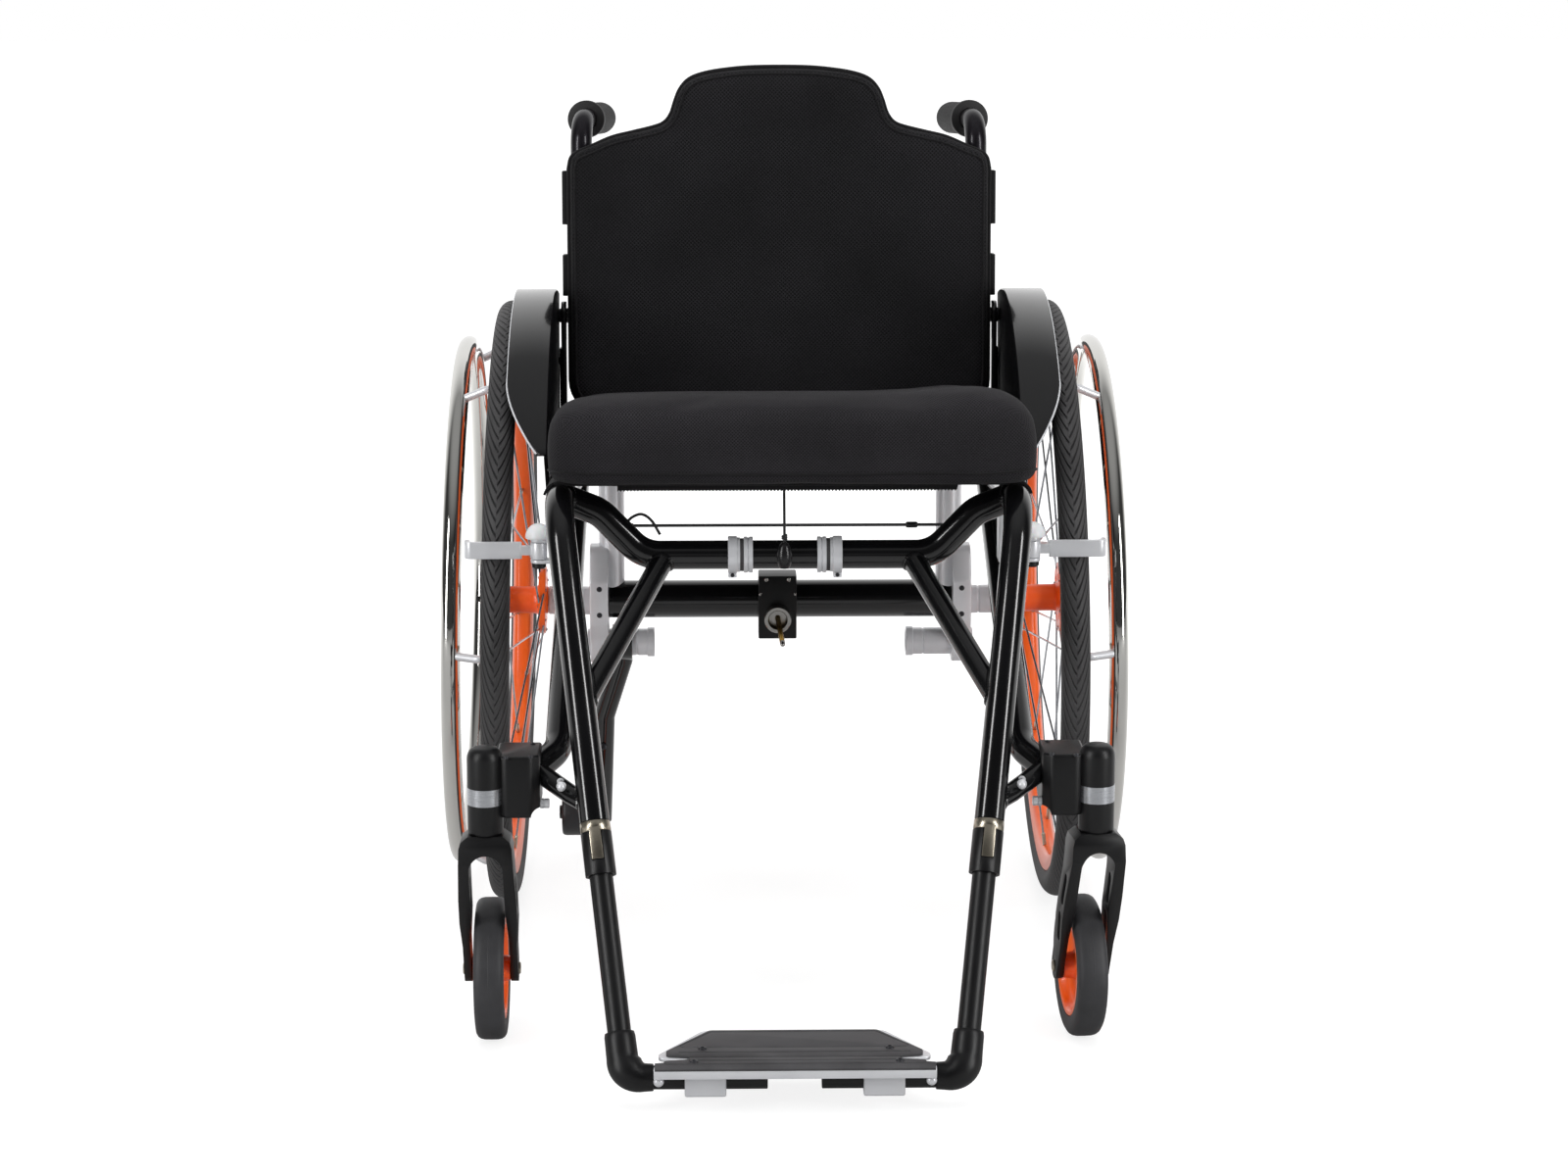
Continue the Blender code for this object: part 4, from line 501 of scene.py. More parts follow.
def block(low, high):
    low, high = Vector(low), Vector(high)
    shape = bmesh.new()
    bmesh.ops.create_cube(shape, size=1.0)
    shape.transform(Matrix.Translation((low + high) / 2) @ Matrix.Diagonal((*(high - low), 1.0)))
    return meshed(shape, 'block')


def rod(start, end, radius, sides=32, bore=0.0):
    return swept([start, end], radius, sides, bore=bore)


def pair(name, mesh, paint, body, slot, *nodes, smooth=40.0):
    """The +X piece and its mirror image. A body that ends in _ and the nodes take the side's letter."""
    for side, shape in (('R', mesh), ('L', mirrored(mesh))):
        piece(name + '_' + side, shape, paint, body + side if body.endswith('_') else body, slot,
              *[entry + side for entry in nodes], smooth=smooth)


def satin_black(name, smoothest, roughest, mirror):
    """Hard anodised or powder coated satin black: even, soft highlights and a very fine grain of 0.4 mm."""
    return finish(name, ('#070708', '#0e0e10'), (30.0, 3.0), (smoothest, roughest), (2400.0, 1.0),
                  (0.25, 0.0001), Specular_IOR_Level=mirror)


def bare_metal(name, pale, dark, roughness, stretch):
    """Bare metal with fine brushing along one way, and a slow change of tone over the piece."""
    return finish(name, (dark, pale), (1.0, 3.0), (roughness * 0.8, roughness * 1.25), (1.0, 3.0),
                  (0.12, 0.0001), stretch=stretch, Metallic=1.0)


# Gloss black powder coat: deep black that mirrors the lamps in long soft lines, with a faint orange peel.
GLOSS_BLACK = finish('gloss_black_powder_coat', ('#060607', '#0d0d0f'), (14.0, 3.0), (0.13, 0.22),
                     (420.0, 2.0), (0.10, 0.0002), Coat_Weight=0.5, Coat_Roughness=0.05)
SATIN_BLACK = satin_black('satin_black_anodised', 0.34, 0.46, 0.4)
NICKEL = bare_metal('satin_nickel', '#c9c1b0', '#a79f8f', 0.30, (300.0, 2500.0, 2500.0))

side_path = rounded([RAIL_END, CORNER, leg_at(DOWN_LENGTH)], BEND_R, 18)
side_wall = softened(swept(side_path, TUBE_R, 40, bore=0.0106), 0.0006)
pair('side_tube', side_wall, GLOSS_BLACK, 'root', 'black_lacquer', 'side_frame_')
leg_turn = Matrix.Translation(CORNER) @ Matrix((LEG_SIDE, LEG_FRONT, LEG_AXIS)).transposed().to_4x4()
sleeve = rod(leg_at(MOUTH + 0.0003), leg_at(SLEEVE_END), 0.0132, 40, bore=0.0104)
notch = moved(block((-0.0054, 0.0112, MOUTH - 0.003), (0.0054, 0.02, DOWN_LENGTH + 0.0346)), leg_turn)
pair('leg_sleeve', softened(carved(sleeve, 'DIFFERENCE', notch), 0.0004), SATIN_BLACK, 'root',
     'black_lacquer')
collar_line = [(radius, DOWN_LENGTH + along)
               for radius, along in ((0.0118, 0.0004), (0.0126, 0.0004), (0.0130, 0.0009), (0.0130, 0.0085),
                                     (0.0126, 0.0090), (0.0118, 0.0090))]
tongue = moved(block((-0.0050, 0.0113, DOWN_LENGTH + 0.0062), (0.0050, 0.0134, DOWN_LENGTH + 0.0340)),
               leg_turn)
collar = together(turned(collar_line, 48, leg_turn, closed=True), softened(tongue, 0.0008))
pair('leg_collar_ring', collar, NICKEL, 'root', 'nickel', 'leg_collar_')


# Lower legs: black anodised tubes that slide in the sleeves. Each ends in a cast elbow that swells in its
# bend, and a stub pointing inwards on which the footplate turns.

LEG_R = 0.0100
MOUTH_R = 0.0130
ELBOW_R = 0.0148
ELBOW_UP = 0.038
ELBOW_IN = 0.024
INWARD = Vector((-1, 0, 0))

leg_bar = rod(leg_at(DOWN_LENGTH - 0.090), FOOT - LEG_AXIS * 0.012, LEG_R, 40)
elbow_path = rounded([FOOT - LEG_AXIS * ELBOW_UP, FOOT, FOOT + INWARD * ELBOW_IN], 0.0185, 14)
girth = []
for index in range(len(elbow_path)):
    share = index / (len(elbow_path) - 1)
    swell = (ELBOW_R - MOUTH_R) * math.sin(math.pi * min(share * 1.25, 1.0))
    girth.append(MOUTH_R + swell - 0.0016 * max(0.0, share - 0.8) / 0.2)
elbow_path = [elbow_path[0].lerp(elbow_path[1], k / 6) for k in range(6)] + elbow_path[1:]
girth = [0.0124] + [MOUTH_R + (girth[1] - MOUTH_R) * k / 6 for k in range(1, 6)] + girth[1:]
elbow = softened(swept(elbow_path, girth, 40), 0.0006)
stub = softened(rod(FOOT + INWARD * 0.008, Vector((0.0225, FOOT.y, FOOT.z)), LEG_R, 40), 0.0008)
pair('leg_slide_tube', together(leg_bar, elbow, stub), SATIN_BLACK, 'leg_', 'satin_black', 'lower_leg_')


# Footplate: a bent aluminium plate, satin anodised, whose front edge is folded down. Two machined blocks
# under it are bored for the stubs of the legs, and a ball-headed bolt at each end stops it. All of it
# swings up on the stubs.

PLATE_TOP = 0.0440
PLATE_T = 0.0035
FRONT = -0.680
FOLD_R = 0.0042
LUG_IN_X = 0.057
LUG_OUT_X = 0.0916


def polar(radius, degrees, centre=(0.0, 0.0)):
    turn = math.radians(degrees)
    return centre[0] + radius * math.cos(turn), centre[1] + radius * math.sin(turn)


def arc(centre, radius, start, end, steps):
    """Flat points on a circle from one direction to another, in degrees, with both ends."""
    return [polar(radius, start + (end - start) * step / steps, centre) for step in range(steps + 1)]


def capsule(start, end, radius, steps=12):
    """Flat outline with two round ends."""
    heading = math.degrees(math.atan2(end[1] - start[1], end[0] - start[0]))
    far_end = arc(end, radius, heading - 90, heading + 90, steps)
    return far_end + arc(start, radius, heading + 90, heading + 270, steps)


def opposite(line):
    """The line's mirror image on the other side of the chair, backwards."""
    return [type(point)((-point[0], *point[1:])) for point in reversed(line)]


def skin(rings, closed=True):
    """Quads through rows of equally many points. A closed skin goes round, and both its ends are filled."""
    shape = bmesh.new()
    rows = [[shape.verts.new(point) for point in ring] for ring in rings]
    count = len(rows[0])
    for first, second in zip(rows, rows[1:]):
        for index in range(count if closed else count - 1):
            after = (index + 1) % count
            shape.faces.new((first[index], first[after], second[after], second[index]))
    if closed:
        shape.faces.new(rows[0])
        shape.faces.new(rows[-1])
    bmesh.ops.recalc_face_normals(shape, faces=shape.faces)
    return meshed(shape, 'skin')


def plate(outline, low, high, plane='XY'):
    """Flat outline given a thickness; the plane names the outline's two axes."""
    order = {'XY': lambda a, b, h: (a, b, h), 'XZ': lambda a, b, h: (a, h, b),
             'YZ': lambda a, b, h: (h, a, b)}[plane]
    return skin([[order(point[0], point[1], height) for point in outline] for height in (low, high)])


def foot_outline(inset, front, corner=0.006):
    """Outline of plate or mat. Its half runs from the front corner over notch and ear to the rear corner."""
    half = [(0.1168 - inset, front), (0.1165 - inset, front + 0.0072), (0.0955 - inset, front + 0.0105),
            (0.0945 - inset, front + 0.0190), (0.1150 - inset, -0.6535), (0.1150 - inset, -0.6440),
            (0.0790 - inset, -0.5830 - inset)]
    return rounded([(x, AXLE_Y + y, 0.0) for x, y in half + opposite(half)], corner, 6, closed=True)


def satin_aluminium(name, pale, dark, roughness=0.36):
    """Satin anodised aluminium: bead-blasted, so its highlights are broad and soft, with a trace of grain."""
    return finish(name, (dark, pale), (25.0, 3.0), (roughness * 0.85, roughness * 1.2), (1800.0, 2.0),
                  (0.15, 0.0001), fine_gloss=True, Metallic=0.4)


ALUMINIUM = satin_aluminium('satin_anodised_aluminium', '#e8e9ec', '#cfd0d4')
foot_y = AXLE_Y + FRONT
foot_sheet = softened(plate(foot_outline(0.0016, -0.6784), PLATE_TOP - PLATE_T, PLATE_TOP), 0.0007)
fold = arc((foot_y + FOLD_R, PLATE_TOP - 0.0046), FOLD_R, 90, 180, 6)
fold += [(foot_y + inset, height) for inset, height in
         ((0.0, 0.0340), (0.0022, 0.0340), (0.0022, PLATE_TOP - 0.0060), (FOLD_R, PLATE_TOP - 0.0046))]
foot_lip = softened(plate(fold, -0.117, 0.117, 'YZ'), 0.0005)
lugs = []
for side in (-1, 1):
    inner, outer = sorted((side * LUG_IN_X, side * LUG_OUT_X))
    lug = block((inner, FOOT.y - 0.014, 0.0145), (outer, FOOT.y + 0.014, PLATE_TOP - 0.001))
    seat = rod((inner - 0.01, FOOT.y, FOOT.z), (outer + 0.01, FOOT.y, FOOT.z), 0.0104, 40)
    pinch = block((inner + 0.004, FOOT.y - 0.0005, 0.010), (outer - 0.004, FOOT.y + 0.0005, 0.0200))
    lugs.append(carved(softened(lug, 0.0018, 3), 'DIFFERENCE', seat, pinch))
piece('footplate_sheet', together(foot_sheet, foot_lip, *lugs), ALUMINIUM, 'foot', 'silver_anodised',
      'footplate')
ball_line = [(0.0, 0.0052), (0.0022, 0.0048), (0.0038, 0.0036), (0.0044, 0.0016), (0.0042, 0.0),
             (0.0030, -0.0012), (0.0, -0.0012)]
for side, x in (('L', -0.1130), ('R', 0.1130)):
    ball = turned(ball_line, 24, aimed((x, foot_y + 0.0065, 0.0305), 90, 'X'))
    piece('footplate_stop_' + side, ball, ALUMINIUM, 'foot', 'silver_anodised')


# Foot mat: ribbed rubber sheet, 2.4 mm thick, moulded with a rim, three ribs across its front half and a
# soft fold over the plate's front edge. Four pan-head screws hold it down. Its raised lettering is left
# out: that place is bare.

MAT_TOP = 0.0467
MAT_SCREWS = ((-0.0768, -0.6393), (0.0799, -0.6383), (-0.0838, -0.6722), (0.0868, -0.6715))


def moulded_rubber(name, pale, dark, rough, grain_size):
    """Moulded rubber: dark grey, dull, with the fine stipple of its mould, and a little paler in clouds."""
    return finish(name, (dark, pale), (22.0, 4.0), (rough - 0.07, rough + 0.07), (0.5 / grain_size, 2.0),
                  (0.35, 0.0002), span=(0.3, 0.7), IOR=1.52)


def screws(name, spots, axis, radius, paint, body, slot):
    """Pan-head socket screws, one on each spot, all facing along the axis, set by Geometry Nodes."""
    cloud = bpy.data.meshes.new(name)
    cloud.from_pydata([tuple(spot) for spot in spots], [], [])
    made = placed(name, cloud)
    head_line = [(0.0, 0.28), (0.42, 0.28), (0.42, 0.55), (0.62, 0.58), (0.90, 0.42), (1.0, 0.10),
                 (1.0, -0.2), (0.0, -0.2)]
    pattern = bpy.data.objects.new(name + '_head', turned(head_line, 20))
    tree = bpy.data.node_groups.new(name, 'GeometryNodeTree')
    for title, kind, way in (('Spots', 'Geometry', 'INPUT'), ('Radius', 'Float', 'INPUT'),
                             ('Turn', 'Vector', 'INPUT'), ('Screws', 'Geometry', 'OUTPUT')):
        tree.interface.new_socket(title, in_out=way, socket_type='NodeSocket' + kind)
    source = node(tree, 'NodeGroupInput')
    shape = node(tree, 'GeometryNodeObjectInfo', Object=pattern)
    copies = node(tree, 'GeometryNodeInstanceOnPoints',
                  [('Points', source.outputs['Spots']), ('Instance', shape.outputs['Geometry']),
                   ('Rotation', source.outputs['Turn']), ('Scale', source.outputs['Radius'])])
    solid = node(tree, 'GeometryNodeRealizeInstances', [(0, copies.outputs[0])])
    painted = node(tree, 'GeometryNodeSetMaterial', [(0, solid.outputs[0])], Material=paint)
    node(tree, 'NodeGroupOutput', [(0, painted.outputs[0])])
    step = made.modifiers.new('screws', 'NODES')
    step.node_group = tree
    inputs = {item.name: item.identifier for item in tree.interface.items_tree if item.in_out == 'INPUT'}
    step[inputs['Radius']] = radius
    step[inputs['Turn']] = Vector(axis).to_track_quat('Z', 'Y').to_euler()[:]
    mesh = baked(made)
    bpy.data.objects.remove(pattern)
    return piece(name, mesh, paint, body, slot)


mat_base = plate(foot_outline(0.0080, -0.6760, 0.005), PLATE_TOP + 0.0003, MAT_TOP)
fold = [(foot_y + inset, height) for inset, height in
        ((0.0105, PLATE_TOP + 0.0003), (0.0046, PLATE_TOP + 0.0003), (0.0012, PLATE_TOP - 0.0016),
         (0.0003, PLATE_TOP - 0.0030), (0.0001, PLATE_TOP - 0.0012), (0.0016, PLATE_TOP + 0.0010),
         (0.0050, MAT_TOP - 0.0006), (0.0105, MAT_TOP - 0.0004))]
mat_fold = plate(fold, -0.1162, 0.1162, 'YZ')
corner_cut = []
for side in (-1, 1):
    cut_line = [(side * x, foot_y + y)
                for x, y in ((0.125, 0.0045), (0.125, 0.020), (0.0985, 0.020), (0.1010, 0.0098))]
    corner_cut.append(plate(cut_line[::side], 0.03, 0.06))
grooves = []
for y, half_x in ((-0.6478, 0.0965), (-0.6600, 0.0925), (-0.6684, 0.0880)):
    grooves.append(rod(at(-half_x, y, MAT_TOP + 0.0002), at(half_x, y, MAT_TOP + 0.0002), 0.0017, 12))
half_rim = [at(0.0990, -0.6361, MAT_TOP + 0.0002), at(0.0700, -0.5955, MAT_TOP + 0.0002)]
grooves.append(swept(rounded(half_rim + opposite(half_rim), 0.004, 4, closed=True), 0.0009, 12, closed=True))
mat = carved(mat_base, 'UNION', carved(mat_fold, 'DIFFERENCE', *corner_cut))
mat = softened(carved(mat, 'DIFFERENCE', *grooves), 0.0004)
MAT_RUBBER = moulded_rubber('ribbed_mat_rubber', '#474648', '#333234', 0.62, 0.0006)
piece('foot_mat_sheet', mat, MAT_RUBBER, 'foot', 'mat_rubber', 'foot_mat')
DARK_STEEL = satin_aluminium('blackened_steel_screws', '#3c3c40', '#26262a', 0.35)
screws('foot_mat_screws', [at(x, y, MAT_TOP - 0.0006) for x, y in MAT_SCREWS], (0, 0, 1), 0.0038, DARK_STEEL,
       'foot', 'satin_black')


# Stays: a second tube on each side runs from the seat rail down and forwards to the castor, and a short arm
# ties the castor bracket to the down tube. Both are mitred, welded in beads and powder coated with the
# frame.

STAY_R = 0.0122
STAY_TOP = rail_at(-0.130)
STAY_KNEE = at(0.2005, -0.470, 0.262)
STAY_END = at(0.2300, -0.512, 0.246)
ARM_R = 0.0085
ARM_FROM = leg_at(0.270)
ARM_KNEE = at(0.188, -0.532, 0.238)
ARM_END = at(0.2250, -0.498, 0.2550)
BRACKET_IN_X = 0.2149


def weld_bead(points, radius=0.0021):
    """Weld bead along a closed line: overlapping scales about 2.5 mm apart, standing proud of both tubes."""
    length = sum((b - a).length for a, b in zip(points, points[1:] + points[:1]))
    count = max(12, round(length / 0.0025)) * 4
    spaced, walked, index = [], 0.0, 0
    loop = list(points) + [points[0]]
    for step in range(count):
        target = length * step / count
        while walked + (loop[index + 1] - loop[index]).length < target:
            walked += (loop[index + 1] - loop[index]).length
            index += 1
        span = (loop[index + 1] - loop[index]).length
        spaced.append(loop[index].lerp(loop[index + 1], (target - walked) / max(span, 1e-9)))
    sizes = [radius * (0.86 + 0.14 * abs(math.cos(math.pi * step / 4))) for step in range(count)]
    return swept(spaced, sizes, 8, closed=True)


def saddle(axis_point, axis, radius, start, heading, bar_radius, steps=96):
    """Line where a bar's surface first meets a tube: rays along the bar, against the tube's cylinder."""
    axis, heading = Vector(axis).normalized(), Vector(heading).normalized()
    across = heading.orthogonal().normalized()
    up = heading.cross(across)
    line = []
    for step in range(steps):
        turn = 2 * math.pi * step / steps
        origin = Vector(start) + (across * math.cos(turn) + up * math.sin(turn)) * bar_radius
        flat_way = heading - axis * heading.dot(axis)
        gap = (origin - axis_point) - axis * (origin - axis_point).dot(axis)
        a, b, c = flat_way.length_squared, 2 * gap.dot(flat_way), gap.length_squared - radius ** 2
        root = max(b * b - 4 * a * c, 0.0)
        line.append(origin + heading * ((-b - math.sqrt(root)) / (2 * a)))
    return line


def screw_pairs(*sets):
    """Sets of screws on the frame, given on the +X side: first all of them there, then all mirrored."""
    for side, sign in (('R', 1), ('L', -1)):
        for name, spots, axis, radius, paint, slot in sets:
            spots = [(sign * spot[0], *spot[1:]) for spot in spots]
            screws(name + side, spots, (sign * axis[0], *axis[1:]), radius, paint, 'root', slot)


beyond = block((BRACKET_IN_X - 0.0003, -1, 0), (BRACKET_IN_X + 0.1, 1, 1))
stay_bar = swept(rounded([STAY_TOP, STAY_KNEE, STAY_END], 0.040, 14), STAY_R, 40)
arm_bar = swept(rounded([ARM_FROM, ARM_KNEE, ARM_END], 0.020, 12), ARM_R, 32)
core_path = rounded([RAIL_END - RAIL_AXIS * 0.002, CORNER, leg_at(DOWN_LENGTH + 0.002)], BEND_R, 18)
side_core = swept(core_path, TUBE_R + 0.0003, 40)
stay = carved(carved(stay_bar, 'UNION', arm_bar), 'DIFFERENCE', side_core, beyond)
stay_weld = weld_bead(saddle(STAY_TOP, RAIL_AXIS, TUBE_R, STAY_KNEE, STAY_TOP - STAY_KNEE, STAY_R))
arm_weld = weld_bead(saddle(ARM_FROM, LEG_AXIS, TUBE_R, ARM_KNEE, ARM_FROM - ARM_KNEE, ARM_R), 0.0017)
pair('frame_stay_tube', together(stay, stay_weld, arm_weld), GLOSS_BLACK, 'root', 'black_lacquer',
     'frame_stay_')
arm_bolt = ARM_KNEE.lerp(ARM_END, 0.35) + Vector((-0.004, -0.0075, 0.004))
screw_pairs(('arm_bolt_', [arm_bolt], (-0.25, -1, 0.1), 0.0034, ALUMINIUM, 'silver_anodised'))


# Front cross tube: dropped in the middle and welded between the seat rails, with a strut on either side
# down to the down tube. Two split clamps of satin aluminium sit on its middle, each with a screw lug below.

CROSS_Y = -0.375
CROSS_R = 0.0128
CROSS_Z = 0.4145
STRUT_TOP = at(0.108, CROSS_Y, CROSS_Z)
STRUT_FOOT = leg_at(0.182)
STRUT_R = 0.0100
CLAMP_R = 0.0165
CLAMP_LINE = [(CLAMP_R - 0.0006, -0.0110), (CLAMP_R, -0.0104), (CLAMP_R, -0.0034),
              (CLAMP_R - 0.0006, -0.0028), (0.0153, -0.0028), (0.0153, -0.0004), (0.0138, -0.0004),
              (0.0138, 0.0030), (0.0156, 0.0030), (0.0160, 0.0034), (0.0160, 0.0060), (0.0152, 0.0064),
              (0.0152, 0.0074), (0.0160, 0.0078), (0.0160, 0.0106), (0.0156, 0.0110), (0.0132, 0.0110),
              (0.0132, -0.0110)]
GASKET_LINE = [(0.0137, -0.0003), (0.0146, -0.0003), (0.0146, 0.0029), (0.0137, 0.0029)]

half_cross = [rail_at(CROSS_Y), at(0.166, CROSS_Y, 0.4535), at(0.128, CROSS_Y, CROSS_Z)]
cross_path = rounded(half_cross + opposite(half_cross), 0.035, 14)
strut = rod(STRUT_TOP, STRUT_FOOT, STRUT_R, 36)
cross = carved(swept(cross_path, CROSS_R, 40), 'UNION', strut, mirrored(strut))
cross = carved(cross, 'DIFFERENCE', side_core, mirrored(side_core))
strut_way = STRUT_FOOT - STRUT_TOP
cross_way = half_cross[0] - half_cross[1]
beads = [weld_bead(saddle(at(0, CROSS_Y, CROSS_Z), (1, 0, 0), CROSS_R, STRUT_FOOT, -strut_way, STRUT_R)),
         weld_bead(saddle(STRUT_FOOT, LEG_AXIS, TUBE_R, STRUT_TOP, strut_way, STRUT_R)),
         weld_bead(saddle(half_cross[0], RAIL_AXIS, TUBE_R, half_cross[1], cross_way, CROSS_R))]
piece('cross_tube', together(cross, *beads, *[mirrored(bead) for bead in beads]), GLOSS_BLACK, 'root',
      'black_lacquer', 'front_cross_tube')
for side, x, sign in (('L', -0.0421, 1), ('R', 0.0368, -1)):
    along = aimed(at(x, CROSS_Y, CROSS_Z), sign * 90)
    lug_x = x - sign * 0.0070
    lug = block(at(lug_x - 0.0038, CROSS_Y - 0.0045, CROSS_Z - 0.0200),
                at(lug_x + 0.0038, CROSS_Y + 0.0045, CROSS_Z - 0.0150))
    ring = together(turned(CLAMP_LINE, 64, along, closed=True), softened(lug, 0.0008))
    piece('tube_clamp_ring_' + side, ring, ALUMINIUM, 'root', 'silver_anodised', 'tube_clamp_' + side)
    gasket = turned(GASKET_LINE, 64, along, closed=True)
    piece('tube_clamp_gasket_' + side, gasket, MAT_RUBBER, 'root', 'satin_black')
    screws('tube_clamp_screw_' + side, [at(lug_x, CROSS_Y - 0.0042, CROSS_Z - 0.0176)], (0, -1, 0), 0.0019,
           DARK_STEEL, 'root', 'satin_black')


# Axle tube: a wide aluminium tube across the rear, powder coated with the frame. A milled, silver anodised
# carrier is plugged on each end: plate, boss of the quick-release axle, post up to the seat rail and short
# holder tube below.

WHEEL_Z = 0.294957
HALF_TRACK = 0.2662
CAMBER = math.radians(1.0)
AXLE_TUBE_R = 0.0185
AXLE_TUBE_END = 0.1690
CARRIER_OUT = 0.1875
HOLDER_Z = 0.251457
HOLDER_R = 0.01325
PLATE_FOOT_R = 0.01875
BOSS_R = 0.0140
POST_X = 0.1660
HUB = at(HALF_TRACK, 0.0, WHEEL_Z)
AXLE_DIR = Vector((math.cos(CAMBER), 0.0, math.sin(CAMBER)))
WHEEL_TURN = Matrix.Rotation(-CAMBER, 4, 'Y') @ Matrix.Rotation(math.pi / 2, 4, 'Y')
WHEEL_PLACE = Matrix.Translation(HUB) @ WHEEL_TURN


def axle_at(x):
    return HUB + AXLE_DIR * ((x - HALF_TRACK) / AXLE_DIR.x)


def axle_bar(radius, reach):
    return rod(at(-reach, 0, WHEEL_Z), at(reach, 0, WHEEL_Z), radius, 64)


def doubled(half):
    """Profile of (radius, height) points, with the half's mirror image after it, backwards."""
    return half + [(radius, -height) for radius, height in reversed(half)]


tube_half = [(0.0160, -AXLE_TUBE_END), (AXLE_TUBE_R - 0.0005, -AXLE_TUBE_END),
             (AXLE_TUBE_R, -AXLE_TUBE_END + 0.0005)]
piece('axle_tube_wall', turned(doubled(tube_half), 64, aimed(at(0, 0, WHEEL_Z)), closed=True), GLOSS_BLACK,
      'root', 'black_lacquer', 'axle_tube')

half_plate = [(PLATE_FOOT_R, HOLDER_Z - PLATE_FOOT_R), (PLATE_FOOT_R, HOLDER_Z + 0.006),
              (0.0300, HOLDER_Z + 0.024), (0.0300, WHEEL_Z + 0.023), (0.0135, WHEEL_Z + 0.0550)]
plate_line = rounded([(AXLE_Y + y, z, 0.0) for y, z in half_plate + opposite(half_plate)], 0.012, 8,
                     closed=True)
sheet = softened(plate(plate_line, AXLE_TUBE_END + 0.0003, CARRIER_OUT, 'YZ'), 0.0014, 3)
post = rod(at(POST_X, 0, WHEEL_Z + 0.010), at(POST_X, 0, 0.450), 0.0125, 48)
post = carved(post, 'DIFFERENCE', axle_bar(0.0189, 0.3))
rail_zero = rail_at(0.0)
head = block(at(POST_X - 0.008, -0.0145, rail_zero.z - 0.0190), at(0.2060, 0.0145, rail_zero.z - 0.001))
holder_line = [(0.0, 0.0), (0.0128, 0.0), (HOLDER_R, 0.0005), (HOLDER_R, 0.0150), (0.0126, 0.0156),
               (0.0126, 0.0166), (HOLDER_R, 0.0172), (HOLDER_R, 0.0330), (HOLDER_R, 0.0649), (0.0, 0.0649)]
ring_line = [(0.0, 0.0), (0.0139, 0.0), (0.0145, 0.0006), (0.0145, 0.0064), (0.0139, 0.0070), (0.0, 0.0070)]
boss_start = axle_at(CARRIER_OUT - 0.003)
boss_length = (axle_at(0.2285) - boss_start).length
boss_line = [(0.0, 0.0), (BOSS_R, 0.0), (BOSS_R, 0.010), (0.0132, 0.0108), (0.0132, 0.0122), (BOSS_R, 0.0130),
             (BOSS_R, boss_length - 0.0008), (0.0132, boss_length), (0.0, boss_length)]
parts = [post, softened(head, 0.0018, 3), turned(holder_line, 48, aimed(at(0.1255, 0, HOLDER_Z))),
         turned(ring_line, 48, aimed(at(0.1245, 0, HOLDER_Z))),
         turned(boss_line, 48, Matrix.Translation(boss_start) @ WHEEL_TURN)]
bores = [side_core, rod(at(0.115, 0, HOLDER_Z), at(0.200, 0, HOLDER_Z), 0.0105, 40),
         rod(axle_at(0.150), axle_at(0.240), 0.00665, 32), axle_bar(0.0160, 0.1690)]
carrier = carved(carved(sheet, 'UNION', *parts), 'DIFFERENCE', *bores)
pair('axle_carrier_body', carrier, ALUMINIUM, 'root', 'silver_anodised', 'axle_carrier_')
screw_spots = [at(AXLE_TUBE_END + 0.009, -0.0294, WHEEL_Z + up) for up in (0.016, -0.010)]
screw_pairs(('carrier_screws_', screw_spots, (0, -1, 0), 0.0028, DARK_STEEL, 'satin_black'))


# Centre socket: a black anodised saddle bolted to the axle tube, with a turned cup of bare aluminium in
# front. The brass pin that stands in the cup has a steel tip.

SOCKET_X = -0.003
SOCKET_HALF_W = 0.01875
SOCKET_FRONT = -0.0270
CUP_Z = 0.282557
PIN_DROOP = math.radians(20)

body = block(at(SOCKET_X - SOCKET_HALF_W, SOCKET_FRONT, 0.259957),
             at(SOCKET_X + SOCKET_HALF_W, 0.0060, 0.322957))
foot_bar = rod(at(SOCKET_X - 0.0187, -0.0215, 0.2650), at(SOCKET_X + 0.0187, -0.0215, 0.2650), 0.0040, 24)
body = carved(softened(body, 0.0012), 'DIFFERENCE', axle_bar(0.0188, 0.06))
body = carved(body, 'UNION', softened(foot_bar, 0.0004))
piece('coupling_saddle', body, SATIN_BLACK, 'root', 'satin_black', 'coupling_socket')
cup_line = [(0.0, 0.006), (0.0088, 0.006), (0.0090, 0.0064), (0.0090, 0.0172), (0.0096, 0.0180),
            (0.0124, 0.0180), (0.0130, 0.0174), (0.0130, 0.0150), (0.0124, 0.0144), (0.0124, 0.0136),
            (0.0130, 0.0130), (0.0130, 0.0), (0.0, 0.0)]
TURNED_METAL = bare_metal('turned_bare_aluminium', '#c3c1bd', '#8d8b88', 0.24, (3000.0, 60.0, 3000.0))
piece('coupling_cup', turned(cup_line, 64, aimed(at(SOCKET_X, SOCKET_FRONT, CUP_Z), 90, 'X')), TURNED_METAL,
      'root', 'nickel')
for name, half_x, z, radius in (('coupling_screws', 0.0110, 0.3195, 0.0022),
                                ('coupling_side_screws', 0.0172, 0.3045, 0.0013)):
    screws(name, [at(SOCKET_X + x, SOCKET_FRONT + 0.0002, z) for x in (-half_x, half_x)], (0, -1, 0), radius,
           TURNED_METAL, 'root', 'nickel')
pin_place = pointed(at(SOCKET_X, SOCKET_FRONT - 0.006 - 0.0003 - 0.0027 * math.sin(PIN_DROOP), CUP_Z),
                    Vector((0.09, -1.0, -math.tan(PIN_DROOP))).normalized())
